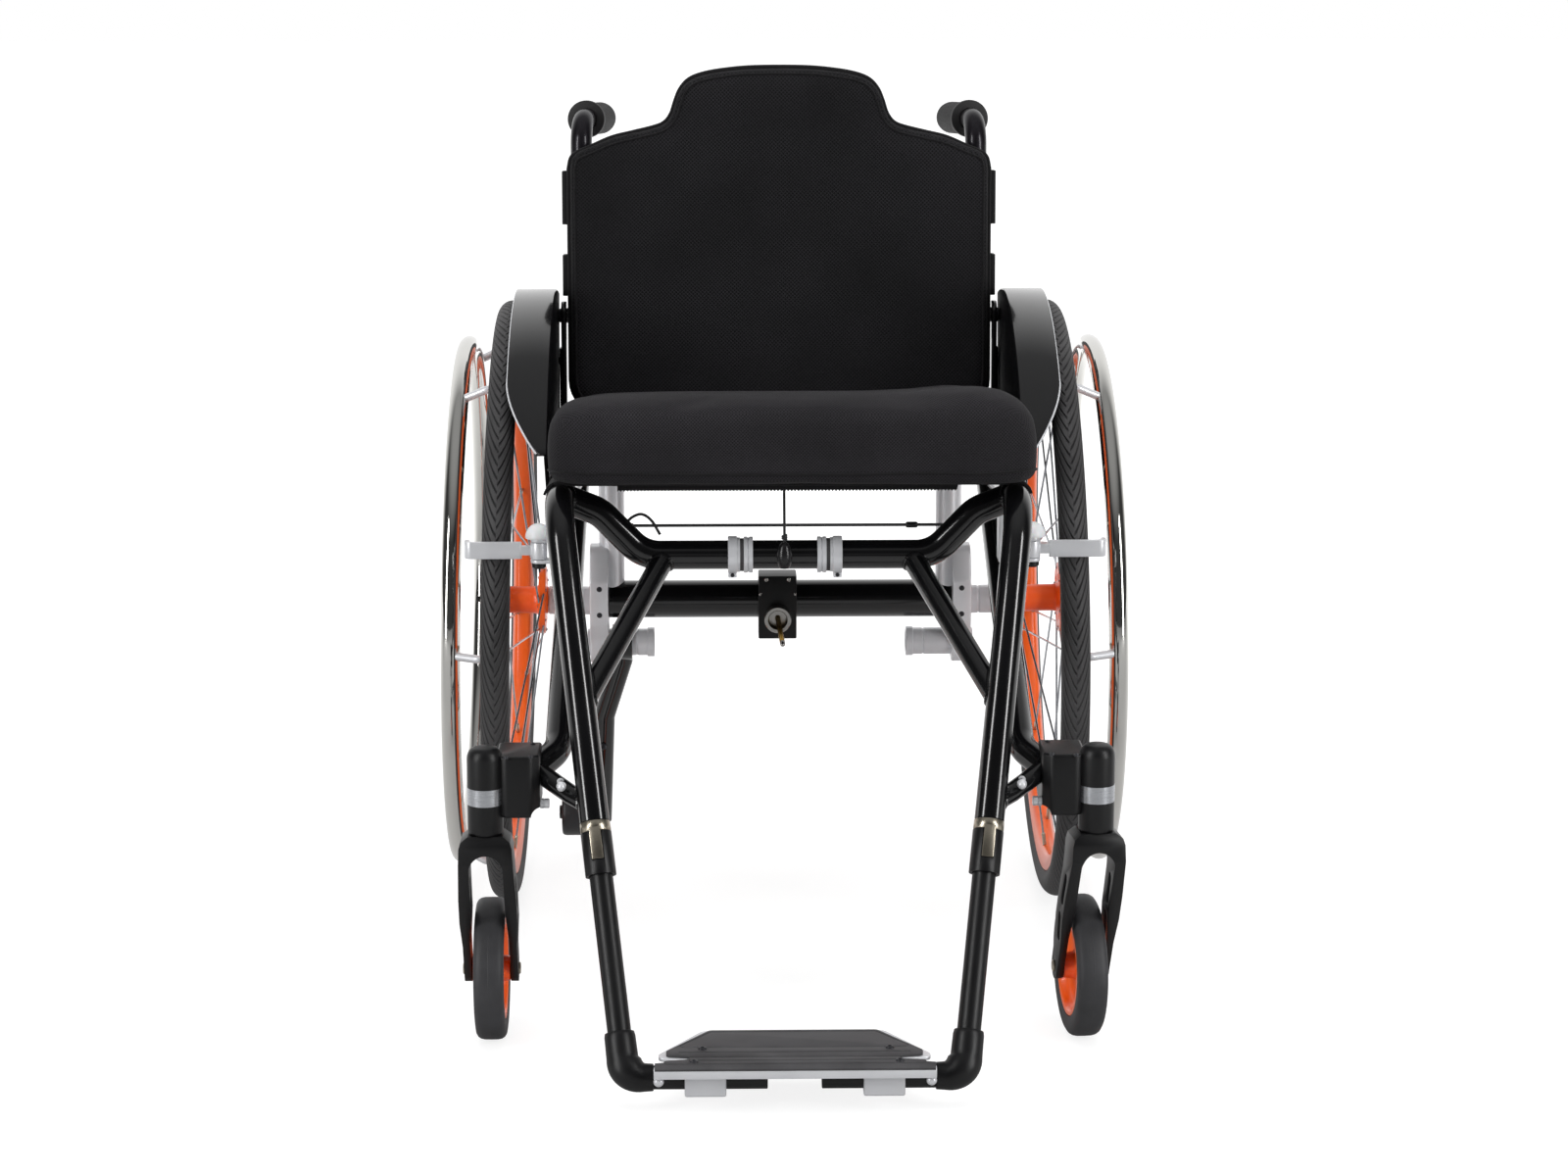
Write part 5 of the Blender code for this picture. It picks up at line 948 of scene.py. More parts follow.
BRASS = bare_metal('drawn_brass', '#c89f45', '#8f6d22', 0.22, (900.0, 900.0, 40.0))
pin_line = [(0.0, 0.0), (0.0022, 0.0), (0.0026, 0.0006), (0.0026, 0.0445), (0.0, 0.0445)]
piece('coupling_pin_shank', turned(pin_line, 32, pin_place), BRASS, 'root', 'brass', 'coupling_pin')
tip_line = [(0.0, 0.0447), (0.0026, 0.0447), (0.0026, 0.0472), (0.0022, 0.0490), (0.0013, 0.0499),
            (0.0, 0.0501)]
piece('coupling_pin_tip', turned(tip_line, 32, pin_place), TURNED_METAL, 'root', 'nickel')


# Rear tyres: high-pressure tyres in dark grey rubber. Each half of the tread carries long curved sipes,
# staggered by half a pitch across the crown, and the sidewalls are plain.

TYRE_R = 0.295
TYRE_HALF_W = 0.0135
RIM_R = 0.270
tyre_line = [(RIM_R + 0.0003, -0.0105)] + arc((TYRE_R - TYRE_HALF_W, 0.0), TYRE_HALF_W, -122, 122, 30)
tyre_line.append((RIM_R + 0.0003, 0.0105))
TYRE_CROWN = sum(math.dist(a, b) for a, b in zip(tyre_line, tyre_line[1:])) / 2
TREAD_HALF_W = 0.011
TREAD_PITCH = 0.0138
WALL_FROM = 0.0172


def tread_rubber():
    """Tyre rubber: dull dark grey. The sipes are drawn in the UV map's metres across and round the tyre, as a
    bump and as painted shade: near black in the grooves.
    """
    paint, tree, shader = bare_paint('tyre_tread_rubber', IOR=1.52, Roughness=0.62)
    place = node(tree, 'ShaderNodeTexCoord')
    axes = node(tree, 'ShaderNodeSeparateXYZ', [(0, place.outputs['UV'])])
    found = {'u': axes.outputs['X'], 'v': axes.outputs['Y']}
    for name, operation, *inputs in (
            ('offset', 'SUBTRACT', 'u', TYRE_CROWN), ('across', 'ABSOLUTE', 'offset'),
            ('right', 'GREATER_THAN', 'offset', 0.0), ('part', 'DIVIDE', 'across', TREAD_HALF_W),
            ('bent', 'POWER', 'part', 1.35), ('turn', 'DIVIDE', 'v', TREAD_PITCH),
            ('phase', 'MULTIPLY_ADD', 'bent', 1.9, 'turn'), ('phase', 'MULTIPLY_ADD', 'right', 0.5, 'phase'),
            ('saw', 'FRACT', 'phase'), ('wave', 'SUBTRACT', 'saw', 0.5), ('wave', 'ABSOLUTE', 'wave'),
            ('sipe', 'MULTIPLY', 'wave', 5.4), ('sipe', 'MINIMUM', 'sipe', 1.0),
            ('wall', 'GREATER_THAN', 'across', WALL_FROM), ('height', 'MAXIMUM', 'sipe', 'wall')):
        links = [(index, found.get(value, value)) for index, value in enumerate(inputs)]
        found[name] = node(tree, 'ShaderNodeMath', links, operation=operation).outputs[0]
    grain, cloud = [node(tree, 'ShaderNodeTexNoise', [('Vector', place.outputs['Object'])], Scale=scale,
                         Detail=detail).outputs[0] for scale, detail in ((900.0, 2.0), (18.0, 4.0))]
    tint = tinted(tree, cloud, ('#2e2d2e', '#3e3d3e'), (0.3, 0.7))
    # Painted shade: inside the sipes the colour is near black, shade painted into the grooves, and elsewhere
    # the grey tread tint.
    sipe_painted_shade = node(tree, 'ShaderNodeMix', [(0, found['height']), (7, tint)], data_type='RGBA')
    sipe_painted_shade.inputs[6].default_value = linear('#0b0a0c')
    rough = node(tree, 'ShaderNodeMath', [(0, grain), (1, 0.12), (2, found['height'])],
                 operation='MULTIPLY_ADD')
    bump = node(tree, 'ShaderNodeBump', [('Height', rough.outputs[0])], Strength=1.0, Distance=0.0014)
    tree.links.new(sipe_painted_shade.outputs[2], shader.inputs['Base Color'])
    tree.links.new(bump.outputs[0], shader.inputs['Normal'])
    return paint


pair('rear_tyre_tread', turned(tyre_line, 180, WHEEL_PLACE, closed=True), tread_rubber(), 'wheel_',
     'tyre_rubber', 'rear_tyre_')


# Rear wheels: box-section rims and turned hubs, both in orange lacquer, laced with 24 stainless spokes.
# Each spoke has its head behind the hub flange and a nickelled nipple in the rim; a valve stands in every
# rim.

RIM_DEPTH = 0.016
RIM_HALF_W = 0.0105
FLANGE_R = 0.0330
FLANGE_IN = (-0.0352, -0.0282)
FLANGE_OUT = (0.0148, 0.0088)


def spoke_ends():
    """Start and end of every spoke in the wheel's own frame: leading and trailing ones on both flanges."""
    ends = []
    rim_r = RIM_R - RIM_DEPTH + 0.0015
    hub_r = FLANGE_R - 0.003
    for low, high, outward, offset in ((*FLANGE_IN, -1, 0.0), (*FLANGE_OUT, 1, 15.0)):
        margin = (high - low) / 6
        for lead in range(0, 360, 60):
            for hub_turn, rim_turn, along, lean_out in ((0, 60, low + margin, 0.0045),
                                                        (30, -30, high - margin, 0.0015)):
                ends.append((Vector((*polar(hub_r, lead + offset + hub_turn), along)),
                             Vector((*polar(rim_r, lead + offset + rim_turn), outward * lean_out))))
    return ends


rim_half = [(RIM_R, -RIM_HALF_W + 0.0007), (RIM_R - 0.0007, -RIM_HALF_W), (RIM_R - 0.0068, -RIM_HALF_W),
            (RIM_R - 0.0080, -RIM_HALF_W + 0.0004), (RIM_R - 0.0128, -0.0082), (RIM_R - 0.0150, -0.0066),
            (RIM_R - 0.0160, -0.0046)]
hub_line = [(0.0068, 0.0255), (0.0125, 0.0255), (0.0135, 0.0246), (0.0135, 0.0175), (0.0150, 0.0160),
            (0.0335, 0.0148), (0.0345, 0.0140), (0.0345, 0.0096), (0.0335, 0.0088), (0.0165, 0.0088),
            (0.0138, 0.0066), (0.0132, 0.0030), (0.0132, -0.0220), (0.0140, -0.0262), (0.0160, -0.0282),
            (0.0322, -0.0282), (0.0330, -0.0289), (0.0330, -0.0345), (0.0322, -0.0352), (0.0145, -0.0352),
            (0.0135, -0.0358), (0.0135, -0.0366), (0.0128, -0.0372), (0.0068, -0.0372)]
lightening = []
for x, y in arc((0, 0), 0.0222, 15, 315, 5):
    for low, high in ((-0.040, -0.020), (0.003, 0.020)):
        lightening.append(rod((x, y, low), (x, y, high), 0.0042, 24))
hub = carved(turned(hub_line, 96, closed=True), 'DIFFERENCE', *lightening)
# Orange lacquer over aluminium: saturated and glossy, with slightly richer orange in the slow clouds.
ORANGE = finish('orange_lacquer', ('#ff5a10', '#ff7026'), (20.0, 3.0), (0.24, 0.36), (600.0, 2.0),
                (0.08, 0.0002), Coat_Weight=0.20, Coat_Roughness=0.08)
rim = together(turned(doubled(rim_half), 180, closed=True), hub)
pair('rear_wheel_rim', moved(rim, WHEEL_PLACE), ORANGE, 'wheel_', 'orange_lacquer', 'rear_wheel_')
STAINLESS = bare_metal('drawn_stainless_spokes', '#b9bbc0', '#7d8087', 0.20, (60.0, 60.0, 60.0))
SPOKE_HEAD = [(0.0, 0.0), (0.0022, 0.0004), (0.0022, 0.0018), (0.0012, 0.0030), (0.0, 0.0030)]
NIPPLE = [(0.0, -0.0140), (0.0016, -0.0140), (0.0019, -0.0132), (0.0019, 0.0002), (0.0, 0.0002)]
spokes, nipples = [], []
for start, end in spoke_ends():
    way = (end - start).normalized()
    spokes.append(swept([start - way * 0.001, end], 0.0010, 8))
    spokes.append(turned(SPOKE_HEAD, 10, pointed(start - way * 0.0016, way)))
    nipples.append(turned(NIPPLE, 10, pointed(end, way)))
pair('rear_wheel_spokes', moved(together(*spokes), WHEEL_PLACE), STAINLESS, 'wheel_', 'polished_steel')
pair('rear_wheel_nipples', moved(together(*nipples), WHEEL_PLACE), NICKEL, 'wheel_', 'nickel')
valve_line = [(0.0, 0.0), (0.0046, 0.0), (0.0046, 0.0022), (0.0030, 0.0032), (0.0030, 0.0180),
              (0.0022, 0.0185), (0.0022, 0.0230), (0.0, 0.0235)]
valve = turned(valve_line, 20, WHEEL_PLACE @ aimed((0.0, -(RIM_R - RIM_DEPTH + 0.0005), 0.0), -90, 'X'))
pair('rear_wheel_valve', valve, NICKEL, 'wheel_', 'nickel')


# Handrims: polished stainless tube rings outside the wheels, each carried by six silver distance tubes that
# are bolted to the rim. The polished steel mirrors the white room and the orange rim.

HANDRIM_R = 0.2506
HANDRIM_TUBE = 0.00925
HANDRIM_OUT = 0.0428
POLISHED = bare_metal('polished_stainless_steel', '#e3e2de', '#cfceca', 0.06, (9.0, 9.0, 9.0))
ring_line = arc((HANDRIM_R, HANDRIM_OUT), HANDRIM_TUBE, 0, 360, 24)[:-1]
pair('handrim_ring', turned(ring_line, 180, WHEEL_PLACE, closed=True), POLISHED, 'wheel_', 'polished_steel',
     'handrim_')
TAB_R = 0.2655
tabs = []
for x, y in arc((0, 0), 1.0, -90, 210, 5):
    foot, bend, end = [(x * reach, y * reach, along) for reach, along in
                       ((TAB_R, RIM_HALF_W + 0.0003), (TAB_R, RIM_HALF_W + 0.0060),
                        (HANDRIM_R + 0.004, HANDRIM_OUT - 0.006))]
    tabs.append(swept(rounded([foot, bend, end], 0.008, 8), 0.0039, 20))
    tabs.append(turned([(0.0, 0.0), (0.0040, 0.0), (0.0040, 0.0024), (0.0, 0.0024)], 20,
                       Matrix.Translation(foot)))
pair('handrim_tabs', moved(together(*tabs), WHEEL_PLACE), ALUMINIUM, 'wheel_', 'silver_anodised')


# Quick-release axles: hardened steel pins through the hubs into the carriers, with a turned head outside
# and a black button in it that is pressed to free the wheel.

AXLE_END = 0.0298
axle_line = [(0.0, AXLE_END - 0.0075), (0.0033, AXLE_END - 0.0075), (0.0033, AXLE_END - 0.0004),
             (0.0037, AXLE_END), (0.0088, AXLE_END), (0.0095, AXLE_END - 0.0007), (0.0095, 0.0262),
             (0.0091, 0.0258), (0.00635, 0.0258), (0.00635, -0.1590), (0.0056, -0.1605), (0.0, -0.1605)]
pair('quick_axle_pin', turned(axle_line, 40, WHEEL_PLACE), POLISHED, 'wheel_', 'polished_steel',
     'quick_axle_')
button_low = AXLE_END - 0.0032
button_line = [(0.0, AXLE_END + 0.0045), (0.0020, AXLE_END + 0.0044), (0.0028, AXLE_END + 0.0038),
               (0.0030, AXLE_END + 0.0030), (0.0030, button_low), (0.0, button_low)]
pair('axle_button_cap', turned(button_line, 32, WHEEL_PLACE), SATIN_BLACK, 'button_', 'satin_black',
     'axle_button_')


# Castor housings: turned and milled aluminium in satin black. The barrel holds the fork's stem on two
# bearings, and its bracket is bolted to the frame from inside. A plain silver band runs round each barrel.

STEM_X = 0.262
STEM_Y = -0.519
HOUSING_R = 0.0153
HOUSING_BOTTOM = 0.2010
HOUSING_TOP = 0.2775

barrel_line = [(radius, HOUSING_TOP - down)
               for radius, down in ((0.0, 0.0), (0.0085, 0.0004), (0.0112, 0.0014), (0.0134, 0.0036),
                                    (0.0147, 0.0066), (0.0152, 0.0090), (HOUSING_R, 0.0115))]
barrel_line += [(radius, HOUSING_BOTTOM + up) for radius, up in
                ((HOUSING_R, 0.0025), (0.0149, 0.0008), (0.0140, 0.0), (0.0, 0.0))]
barrel = turned(barrel_line, 72, Matrix.Translation(at(STEM_X, STEM_Y, 0)))
side_face = [(x, AXLE_Y + y) for x, y in ((0.2520, -0.5230), (0.2440, -0.5285), (0.2230, -0.5285),
                                          (BRACKET_IN_X, -0.5210), (BRACKET_IN_X, -0.4740),
                                          (0.2520, -0.4740))]
bracket = softened(plate(side_face, 0.2160, 0.2700), 0.0024, 4)
relief = softened(rod(at(BRACKET_IN_X, -0.56, 0.2160), at(BRACKET_IN_X, -0.45, 0.2160), 0.0080, 40), 0.0004)
stem_bore = rod(at(STEM_X, STEM_Y, 0.19), at(STEM_X, STEM_Y, 0.254), 0.0063, 32)
housing = carved(barrel, 'UNION', carved(bracket, 'DIFFERENCE', relief))
housing = softened(carved(housing, 'DIFFERENCE', stem_bore), 0.0006, 2, 50.0)
pair('castor_housing_body', housing, SATIN_BLACK, 'root', 'satin_black', 'castor_housing_')
band = turned([(0.0151, 0.2272), (0.0155, 0.2274), (0.0155, 0.2420), (0.0151, 0.2422)], 72,
              Matrix.Translation(at(STEM_X, STEM_Y, 0)), closed=True)
FOIL = bare_metal('brushed_silver_band', '#d6d8dc', '#aeb1b7', 0.28, (80.0, 80.0, 2500.0))
pair('castor_housing_band', band, FOIL, 'root', 'silver_anodised')
nut_line = [(0.0, 0.0078), (0.0036, 0.0078), (0.0042, 0.0072), (0.0042, 0.0036), (0.0036, 0.0030),
            (0.0044, 0.0030), (0.0044, 0.0), (0.0, 0.0)]
acorn_line = [(0.0, 0.0062), (0.0022, 0.0056), (0.0036, 0.0040), (0.0042, 0.0018), (0.0042, 0.0), (0.0, 0.0)]
bolts = together(turned(nut_line, 24, aimed(at(0.2151, -0.516, 0.2262), -90)),
                 turned(acorn_line, 24, aimed(at(0.1960, -0.5385, 0.2475), 100, 'X')))
pair('castor_housing_bolts', bolts, ALUMINIUM, 'root', 'silver_anodised')
lid_spots = [at(x, y, 0.2696) for x, y in ((0.2225, -0.5260), (0.2225, -0.4820), (0.2430, -0.5290))]
screw_pairs(('castor_housing_screws_', lid_spots, (0, 0, 1), 0.0024, DARK_STEEL, 'satin_black'))


# Castor forks: milled from one block of aluminium and anodised satin black, with chamfered shoulders, an
# arch over the wheel and two lightening slots in each blade. The stem is pressed in from below.

TRAIL = 0.055
CASTOR_R = 0.0625
FORK_TIP_R = 0.0115
tip = CASTOR_R - FORK_TIP_R
half_front = [(0.0150, 0.2007), (0.0212, 0.1960), (0.0228, 0.1905), (0.0234, 0.1760), (0.0250, 0.1400),
              (0.0252, 0.1150), (0.0236, 0.0900), (0.0236, tip - 0.01), (0.0170, tip - 0.01),
              (0.0170, 0.0950), (0.0148, 0.1250), (0.0145, 0.1700)]
half_front += arc((0.0, 0.1700), 0.0145, 0, 90, 8)[1:-1]
front_view = plate(half_front + [(0.0, 0.1845)] + opposite(half_front), -0.05, 0.10, 'XZ')
side_view = [(-0.0128, 0.2007), (-0.0162, 0.1925), (-0.0165, 0.1760)]
side_view += arc((TRAIL, CASTOR_R), FORK_TIP_R, 195, 385, 15)
side_view += [(0.0215, 0.1640), (0.0188, 0.1780), (0.0165, 0.2007)]
blades = carved(plate(side_view, -0.03, 0.03, 'YZ'), 'INTERSECT', front_view)
slots = [plate(capsule((0.007, 0.156), (0.017, 0.134), 0.0045, 10), -0.04, 0.04, 'YZ'),
         plate(capsule((0.026, 0.117), (0.036, 0.096), 0.0045, 10), -0.04, 0.04, 'YZ')]
axle_hole = rod((-0.04, TRAIL, CASTOR_R), (0.04, TRAIL, CASTOR_R), 0.0043, 32)
fork = softened(carved(blades, 'DIFFERENCE', axle_hole, *slots), 0.0016, 2, 28.0)
stem = rod((0, 0, 0.188), (0, 0, 0.2510), 0.0060, 32)
washer = turned([(0.0062, 0.2007), (0.0125, 0.2007), (0.0125, 0.20095), (0.0062, 0.20095)], 48, closed=True)
fork = together(carved(fork, 'UNION', stem), washer)

castor_half = [(0.0448, 0.0122), (0.0500, 0.0130), (0.0548, 0.01325), (0.0580, 0.0128), (0.0603, 0.0114),
               (0.0617, 0.0092), (0.0624, 0.0060), (0.0625, 0.0020)]
seam = turned([(0.06242, 0.0005), (0.06262, 0.0), (0.06242, -0.0005), (0.0620, 0.0)], 96, closed=True)
castor_tread = together(turned(doubled(castor_half), 96, closed=True), seam)
disc_half = [(0.0445, 0.01165), (0.0440, 0.0122), (0.0412, 0.0122), (0.0400, 0.0112), (0.0388, 0.0082),
             (0.0368, 0.0050), (0.0340, 0.0037), (0.0300, 0.0033), (0.0180, 0.0035), (0.0140, 0.0044),
             (0.0122, 0.0070), (0.0114, 0.0120), (0.0108, 0.0162), (0.0100, 0.0166), (0.0043, 0.0166)]
castor_rim = turned(doubled(disc_half), 96, closed=True)
bolt_half = [(0.0, 0.0250), (0.0028, 0.0250), (0.0030, 0.0244), (0.0046, 0.0253), (0.0052, 0.0248),
             (0.0052, 0.0237), (0.0040, 0.0237)]
castor_bolt = turned(doubled(bolt_half), 36)
CASTOR_RUBBER = moulded_rubber('moulded_castor_rubber', '#3b3b3e', '#2a2a2c', 0.55, 0.0012)
for side, sign, turn in (('R', 1, 6.0), ('L', -1, 0.0)):
    stem_place = aimed(at(sign * STEM_X, STEM_Y, 0), turn, 'Z')
    wheel_place = stem_place @ aimed((0, TRAIL, CASTOR_R))
    for name, shape, place, paint, body, slot, packed in (
            ('castor_fork_body_', fork, stem_place, SATIN_BLACK, 'castor_', 'satin_black', 'castor_fork_'),
            ('castor_tyre_ring_', castor_tread, wheel_place, CASTOR_RUBBER, 'castor_wheel_', 'castor_rubber',
             'castor_tyre_'),
            ('castor_rim_disc_', castor_rim, wheel_place, ORANGE, 'castor_wheel_', 'orange_lacquer',
             'castor_rim_'),
            ('castor_axle_bolt_', castor_bolt, wheel_place, NICKEL, 'castor_', 'nickel', 'castor_axle_')):
        piece(name + side, moved(shape, place), paint, body + side, slot, packed + side)
    for face, label in ((-1, 'in'), (1, 'out')):
        spots = [wheel_place @ Vector((x, y, face * 0.0036)) for x, y in arc((0, 0), 0.0335, 0, 288, 4)]
        way = (wheel_place.to_3x3() @ Vector((0, 0, face))).normalized()
        screws('castor_rim_screws_%s_%s' % (side, label), spots, way, 0.0017, DARK_STEEL,
               'castor_wheel_' + side, 'satin_black')


# Brakes: a flat aluminium bar, hooked round the tyre's shoulder, turns on a bolt between two ears under the
# seat rail. The clamp block is screwed to the rail; a white dome covers the bolt above and a black knob
# ends it below.

BRAKE_X = 0.2245
BRAKE_Y = -math.sqrt(TYRE_R ** 2 - (0.3925 - WHEEL_Z) ** 2) - 0.0031
BAR_LOW, BAR_HIGH = 0.3925, 0.4085
EYE_R = 0.0075

clamp_block = block(at(0.1930, BRAKE_Y - 0.0120, BAR_LOW - 0.0030),
                    at(0.2135, BRAKE_Y + 0.0120, rail_at(BRAKE_Y).z - 0.0040))
clamp_block = softened(clamp_block, 0.0020, 3)
for low in (BAR_LOW - 0.0033, BAR_HIGH + 0.0003):
    ear = plate(capsule((0.2055, AXLE_Y + BRAKE_Y), (BRAKE_X, AXLE_Y + BRAKE_Y), EYE_R, 16), low,
                low + 0.0030)
    clamp_block = carved(clamp_block, 'UNION', softened(ear, 0.0005))
clamp_block = carved(clamp_block, 'DIFFERENCE', side_core)
bolt = rod(at(BRAKE_X, BRAKE_Y, BAR_LOW - 0.002), at(BRAKE_X, BRAKE_Y, BAR_HIGH + 0.002), 0.0035, 24)
pair('brake_clamp_body', together(clamp_block, bolt), ALUMINIUM, 'root', 'silver_anodised', 'brake_clamp_')
dome_line = [(0.0, BAR_HIGH + 0.0170)]
dome_line += [(0.0122 * x, BAR_HIGH + 0.0043 + 0.0127 * z) for x, z in arc((0, 0), 1.0, 80, 0, 8)]
dome_line += [(0.0118, BAR_HIGH + 0.0035), (0.0, BAR_HIGH + 0.0035)]
# Moulded white acetal: smooth and slightly clear, so that light softens in it.
WHITE = finish('moulded_white_acetal', ('#d5d6d8', '#e9eaeb'), (90.0, 3.0), (0.22, 0.36), (90.0, 3.0),
               IOR=1.48, Subsurface_Weight=0.15, Subsurface_Scale=0.002)
bolt_place = Matrix.Translation(at(BRAKE_X, BRAKE_Y, 0))
pair('brake_dome', turned(dome_line, 40, bolt_place), WHITE, 'root', 'silver_anodised')
knob_line = [(radius, BAR_LOW - down) for radius, down in
             ((0.0, 0.0030), (0.0058, 0.0032), (0.0065, 0.0040), (0.0065, 0.0070), (0.0052, 0.0084),
              (0.0, 0.0088))]
pair('brake_knob', turned(knob_line, 32, bolt_place), SATIN_BLACK, 'root', 'satin_black')

rear = AXLE_Y + BRAKE_Y + 0.0025
front = rear - 0.0050
low, high = BAR_LOW + 0.0003, BAR_HIGH - 0.0003
hook = [(0.2400, front, 0), (0.2925, front, 0), (0.2925, rear + 0.0110, 0), (0.2885, rear + 0.0110, 0),
        (0.2873, rear + 0.0006, 0), (0.2400, rear, 0)]
bar = softened(plate(rounded(hook, 0.0068, 8, closed=True), low, high), 0.0006)
neck = softened(block((BRAKE_X, front + 0.0006, low + 0.0032), (0.2450, rear - 0.0006, high - 0.0032)),
                0.0008)
eye = softened(rod(at(BRAKE_X, BRAKE_Y, low), at(BRAKE_X, BRAKE_Y, high), EYE_R, 40), 0.0005)
pin_hole = rod(at(BRAKE_X, BRAKE_Y, BAR_LOW - 0.01), at(BRAKE_X, BRAKE_Y, BAR_HIGH + 0.01), 0.0038, 32)
brake_bar = carved(carved(bar, 'UNION', neck, eye), 'DIFFERENCE', pin_hole)
pair('brake_bar', brake_bar, ALUMINIUM, 'brake_', 'silver_anodised', 'brake_arm_')


# Side guards: pressed aluminium. A flat matt black panel stands beside the cushion, and a gloss black
# mudguard with a bare edge runs along its top over the tyre and narrows in front. Two bosses and small
# screws hold it to the rail.

GUARD_IN_X = 0.2178
FENDER_R = 0.3060
FENDER_MIDDLE_R = FENDER_R - 0.0015
FENDER_OUT_X = 0.2565
FENDER_START, FENDER_END = -14.8, 52.4
BOSS_YS = (-0.160, 0.028)


def guard_arc(radius, start, end, steps=48):
    """Points (y, z) on a circle round the rear axle; degrees from the top towards the front."""
    return arc((AXLE_Y, WHEEL_Z), radius, 90 + start, 90 + end, steps)


def rail_below(y):
    """Height of the bosses: a little below the middle of the seat rail."""
    return rail_at(y).z - 0.0040


panel_line = guard_arc(FENDER_MIDDLE_R, -15.0, 53.0) + [(AXLE_Y - 0.205, 0.440), (AXLE_Y + 0.055, 0.430)]
panel = plate(panel_line, GUARD_IN_X, GUARD_IN_X + 0.0030, 'YZ')
strip = guard_arc(FENDER_R, FENDER_START, FENDER_END) + guard_arc(FENDER_R - 0.0030, FENDER_END, FENDER_START)
fender = plate(strip, GUARD_IN_X + 0.001, FENDER_OUT_X, 'YZ')
full_y, front_y = [y for y, z in guard_arc(FENDER_R, 36.0, 53.0, 1)]
tip_x = GUARD_IN_X + 0.0035
sweep = [(tip_x + (FENDER_OUT_X - tip_x) * math.cos(share * math.pi / 2) ** 0.75,
          full_y + (front_y - full_y) * share) for share in [step / 16 for step in range(17)]]
trim_line = [(0.30, full_y), *sweep, (tip_x, front_y - 0.05), (0.30, front_y - 0.05)]
trim = plate(trim_line, WHEEL_Z, WHEEL_Z + 0.33)
guard = softened(carved(panel, 'DIFFERENCE', trim), 0.0007, 2, 40.0)
for y in BOSS_YS:
    boss = rod(at(rail_at(y).x, y, rail_below(y)), at(GUARD_IN_X + 0.001, y, rail_below(y)), 0.0050, 32)
    guard = carved(guard, 'UNION', boss)
MATT_BLACK = satin_black('matt_black_powder_coat', 0.62, 0.72, 0.05)
pair('side_guard_panel', carved(guard, 'DIFFERENCE', side_core), MATT_BLACK, 'root', 'satin_black',
     'side_guard_')
fender = softened(carved(fender, 'DIFFERENCE', trim), 0.0007, 2, 40.0)
pair('side_guard_fender', fender, GLOSS_BLACK, 'root', 'black_lacquer')
bare_edge = [Vector((FENDER_OUT_X - 0.0002, y, z)) for y, z in guard_arc(FENDER_MIDDLE_R, FENDER_START, 35.0)]
bare_edge += [Vector((x + 0.0002, y, WHEEL_Z + math.sqrt(FENDER_MIDDLE_R ** 2 - (AXLE_Y - y) ** 2)))
              for x, y in sweep[1:-1]]
pair('side_guard_edge', swept(bare_edge, 0.0011, 8), ALUMINIUM, 'root', 'silver_anodised')
lobe_spots = [at(GUARD_IN_X + 0.0002, y, z) for y, z in ((-0.2120, 0.4700), (-0.2060, 0.4570))]
boss_spots = [at(GUARD_IN_X + 0.0029, y, rail_below(y)) for y in BOSS_YS]
screw_pairs(('side_guard_screws_', lobe_spots, (-1, -0.35, 0), 0.0026, ALUMINIUM, 'silver_anodised'),
            ('side_guard_bolts_', boss_spots, (1, 0, 0), 0.0046, DARK_STEEL, 'satin_black'))


# Back hinges: a black steel plate on the rear end of each seat rail. Its foot is clamped on the rail, and
# its pin and spacer carry the cane, which folds forward on it. A rib stiffens it outside, with the hinge
# bolt through both.

PIVOT = at(0.0, 0.055, 0.570)
BACK_PLACE = aimed(PIVOT, -4.0, 'X')
CANE_X = 0.1940
CANE_R = 0.0105
POST_OUT_X = 0.2150
RIB_OUT_X = 0.2170

foot_block = block((0.1745, PIVOT.y - 0.0140, 0.4240), (POST_OUT_X, PIVOT.y + 0.0140, 0.4565))
upright = plate(capsule((PIVOT.y, 0.4380), (PIVOT.y, PIVOT.z), 0.0140, 24), 0.2097, POST_OUT_X, 'YZ')
rib = block((0.2140, PIVOT.y - 0.0080, 0.4260), (RIB_OUT_X, PIVOT.y + 0.0080, 0.5380))
hinge_pin = rod((CANE_X - CANE_R - 0.003, PIVOT.y, PIVOT.z), (0.2140, PIVOT.y, PIVOT.z), 0.0040, 24)
spacer = rod((CANE_X + CANE_R + 0.0004, PIVOT.y, PIVOT.z), (0.2130, PIVOT.y, PIVOT.z), 0.0075, 32)
post_body = carved(softened(foot_block, 0.0016, 3), 'UNION', softened(upright, 0.0008), softened(rib, 0.0008),
                   hinge_pin, spacer)
pair('back_hinge_plate', carved(post_body, 'DIFFERENCE', side_core), GLOSS_BLACK, 'root', 'black_lacquer',
     'back_post_')
hinge_line = [(0.0, 0.0030), (0.0040, 0.0030), (0.0062, 0.0024), (0.0070, 0.0012), (0.0070, 0.0), (0.0, 0.0)]
clamp_line = [(0.0, 0.0026), (0.0030, 0.0026), (0.0042, 0.0016), (0.0042, 0.0), (0.0, 0.0)]
bolts = [turned(hinge_line, 32, aimed((POST_OUT_X, PIVOT.y, PIVOT.z)))]
bolts += [turned(clamp_line, 24, aimed((RIB_OUT_X, PIVOT.y, z))) for z in (0.4330, 0.4480, 0.5250)]
pair('back_hinge_bolts', together(*bolts), DARK_STEEL, 'root', 'satin_black')


# Canes and push grips: bent aluminium tube in dark grey metallic lacquer, with soft rubber grips pushed
# over the rear ends. Each grip has a flange in front, a waist of fine rings and a round end.

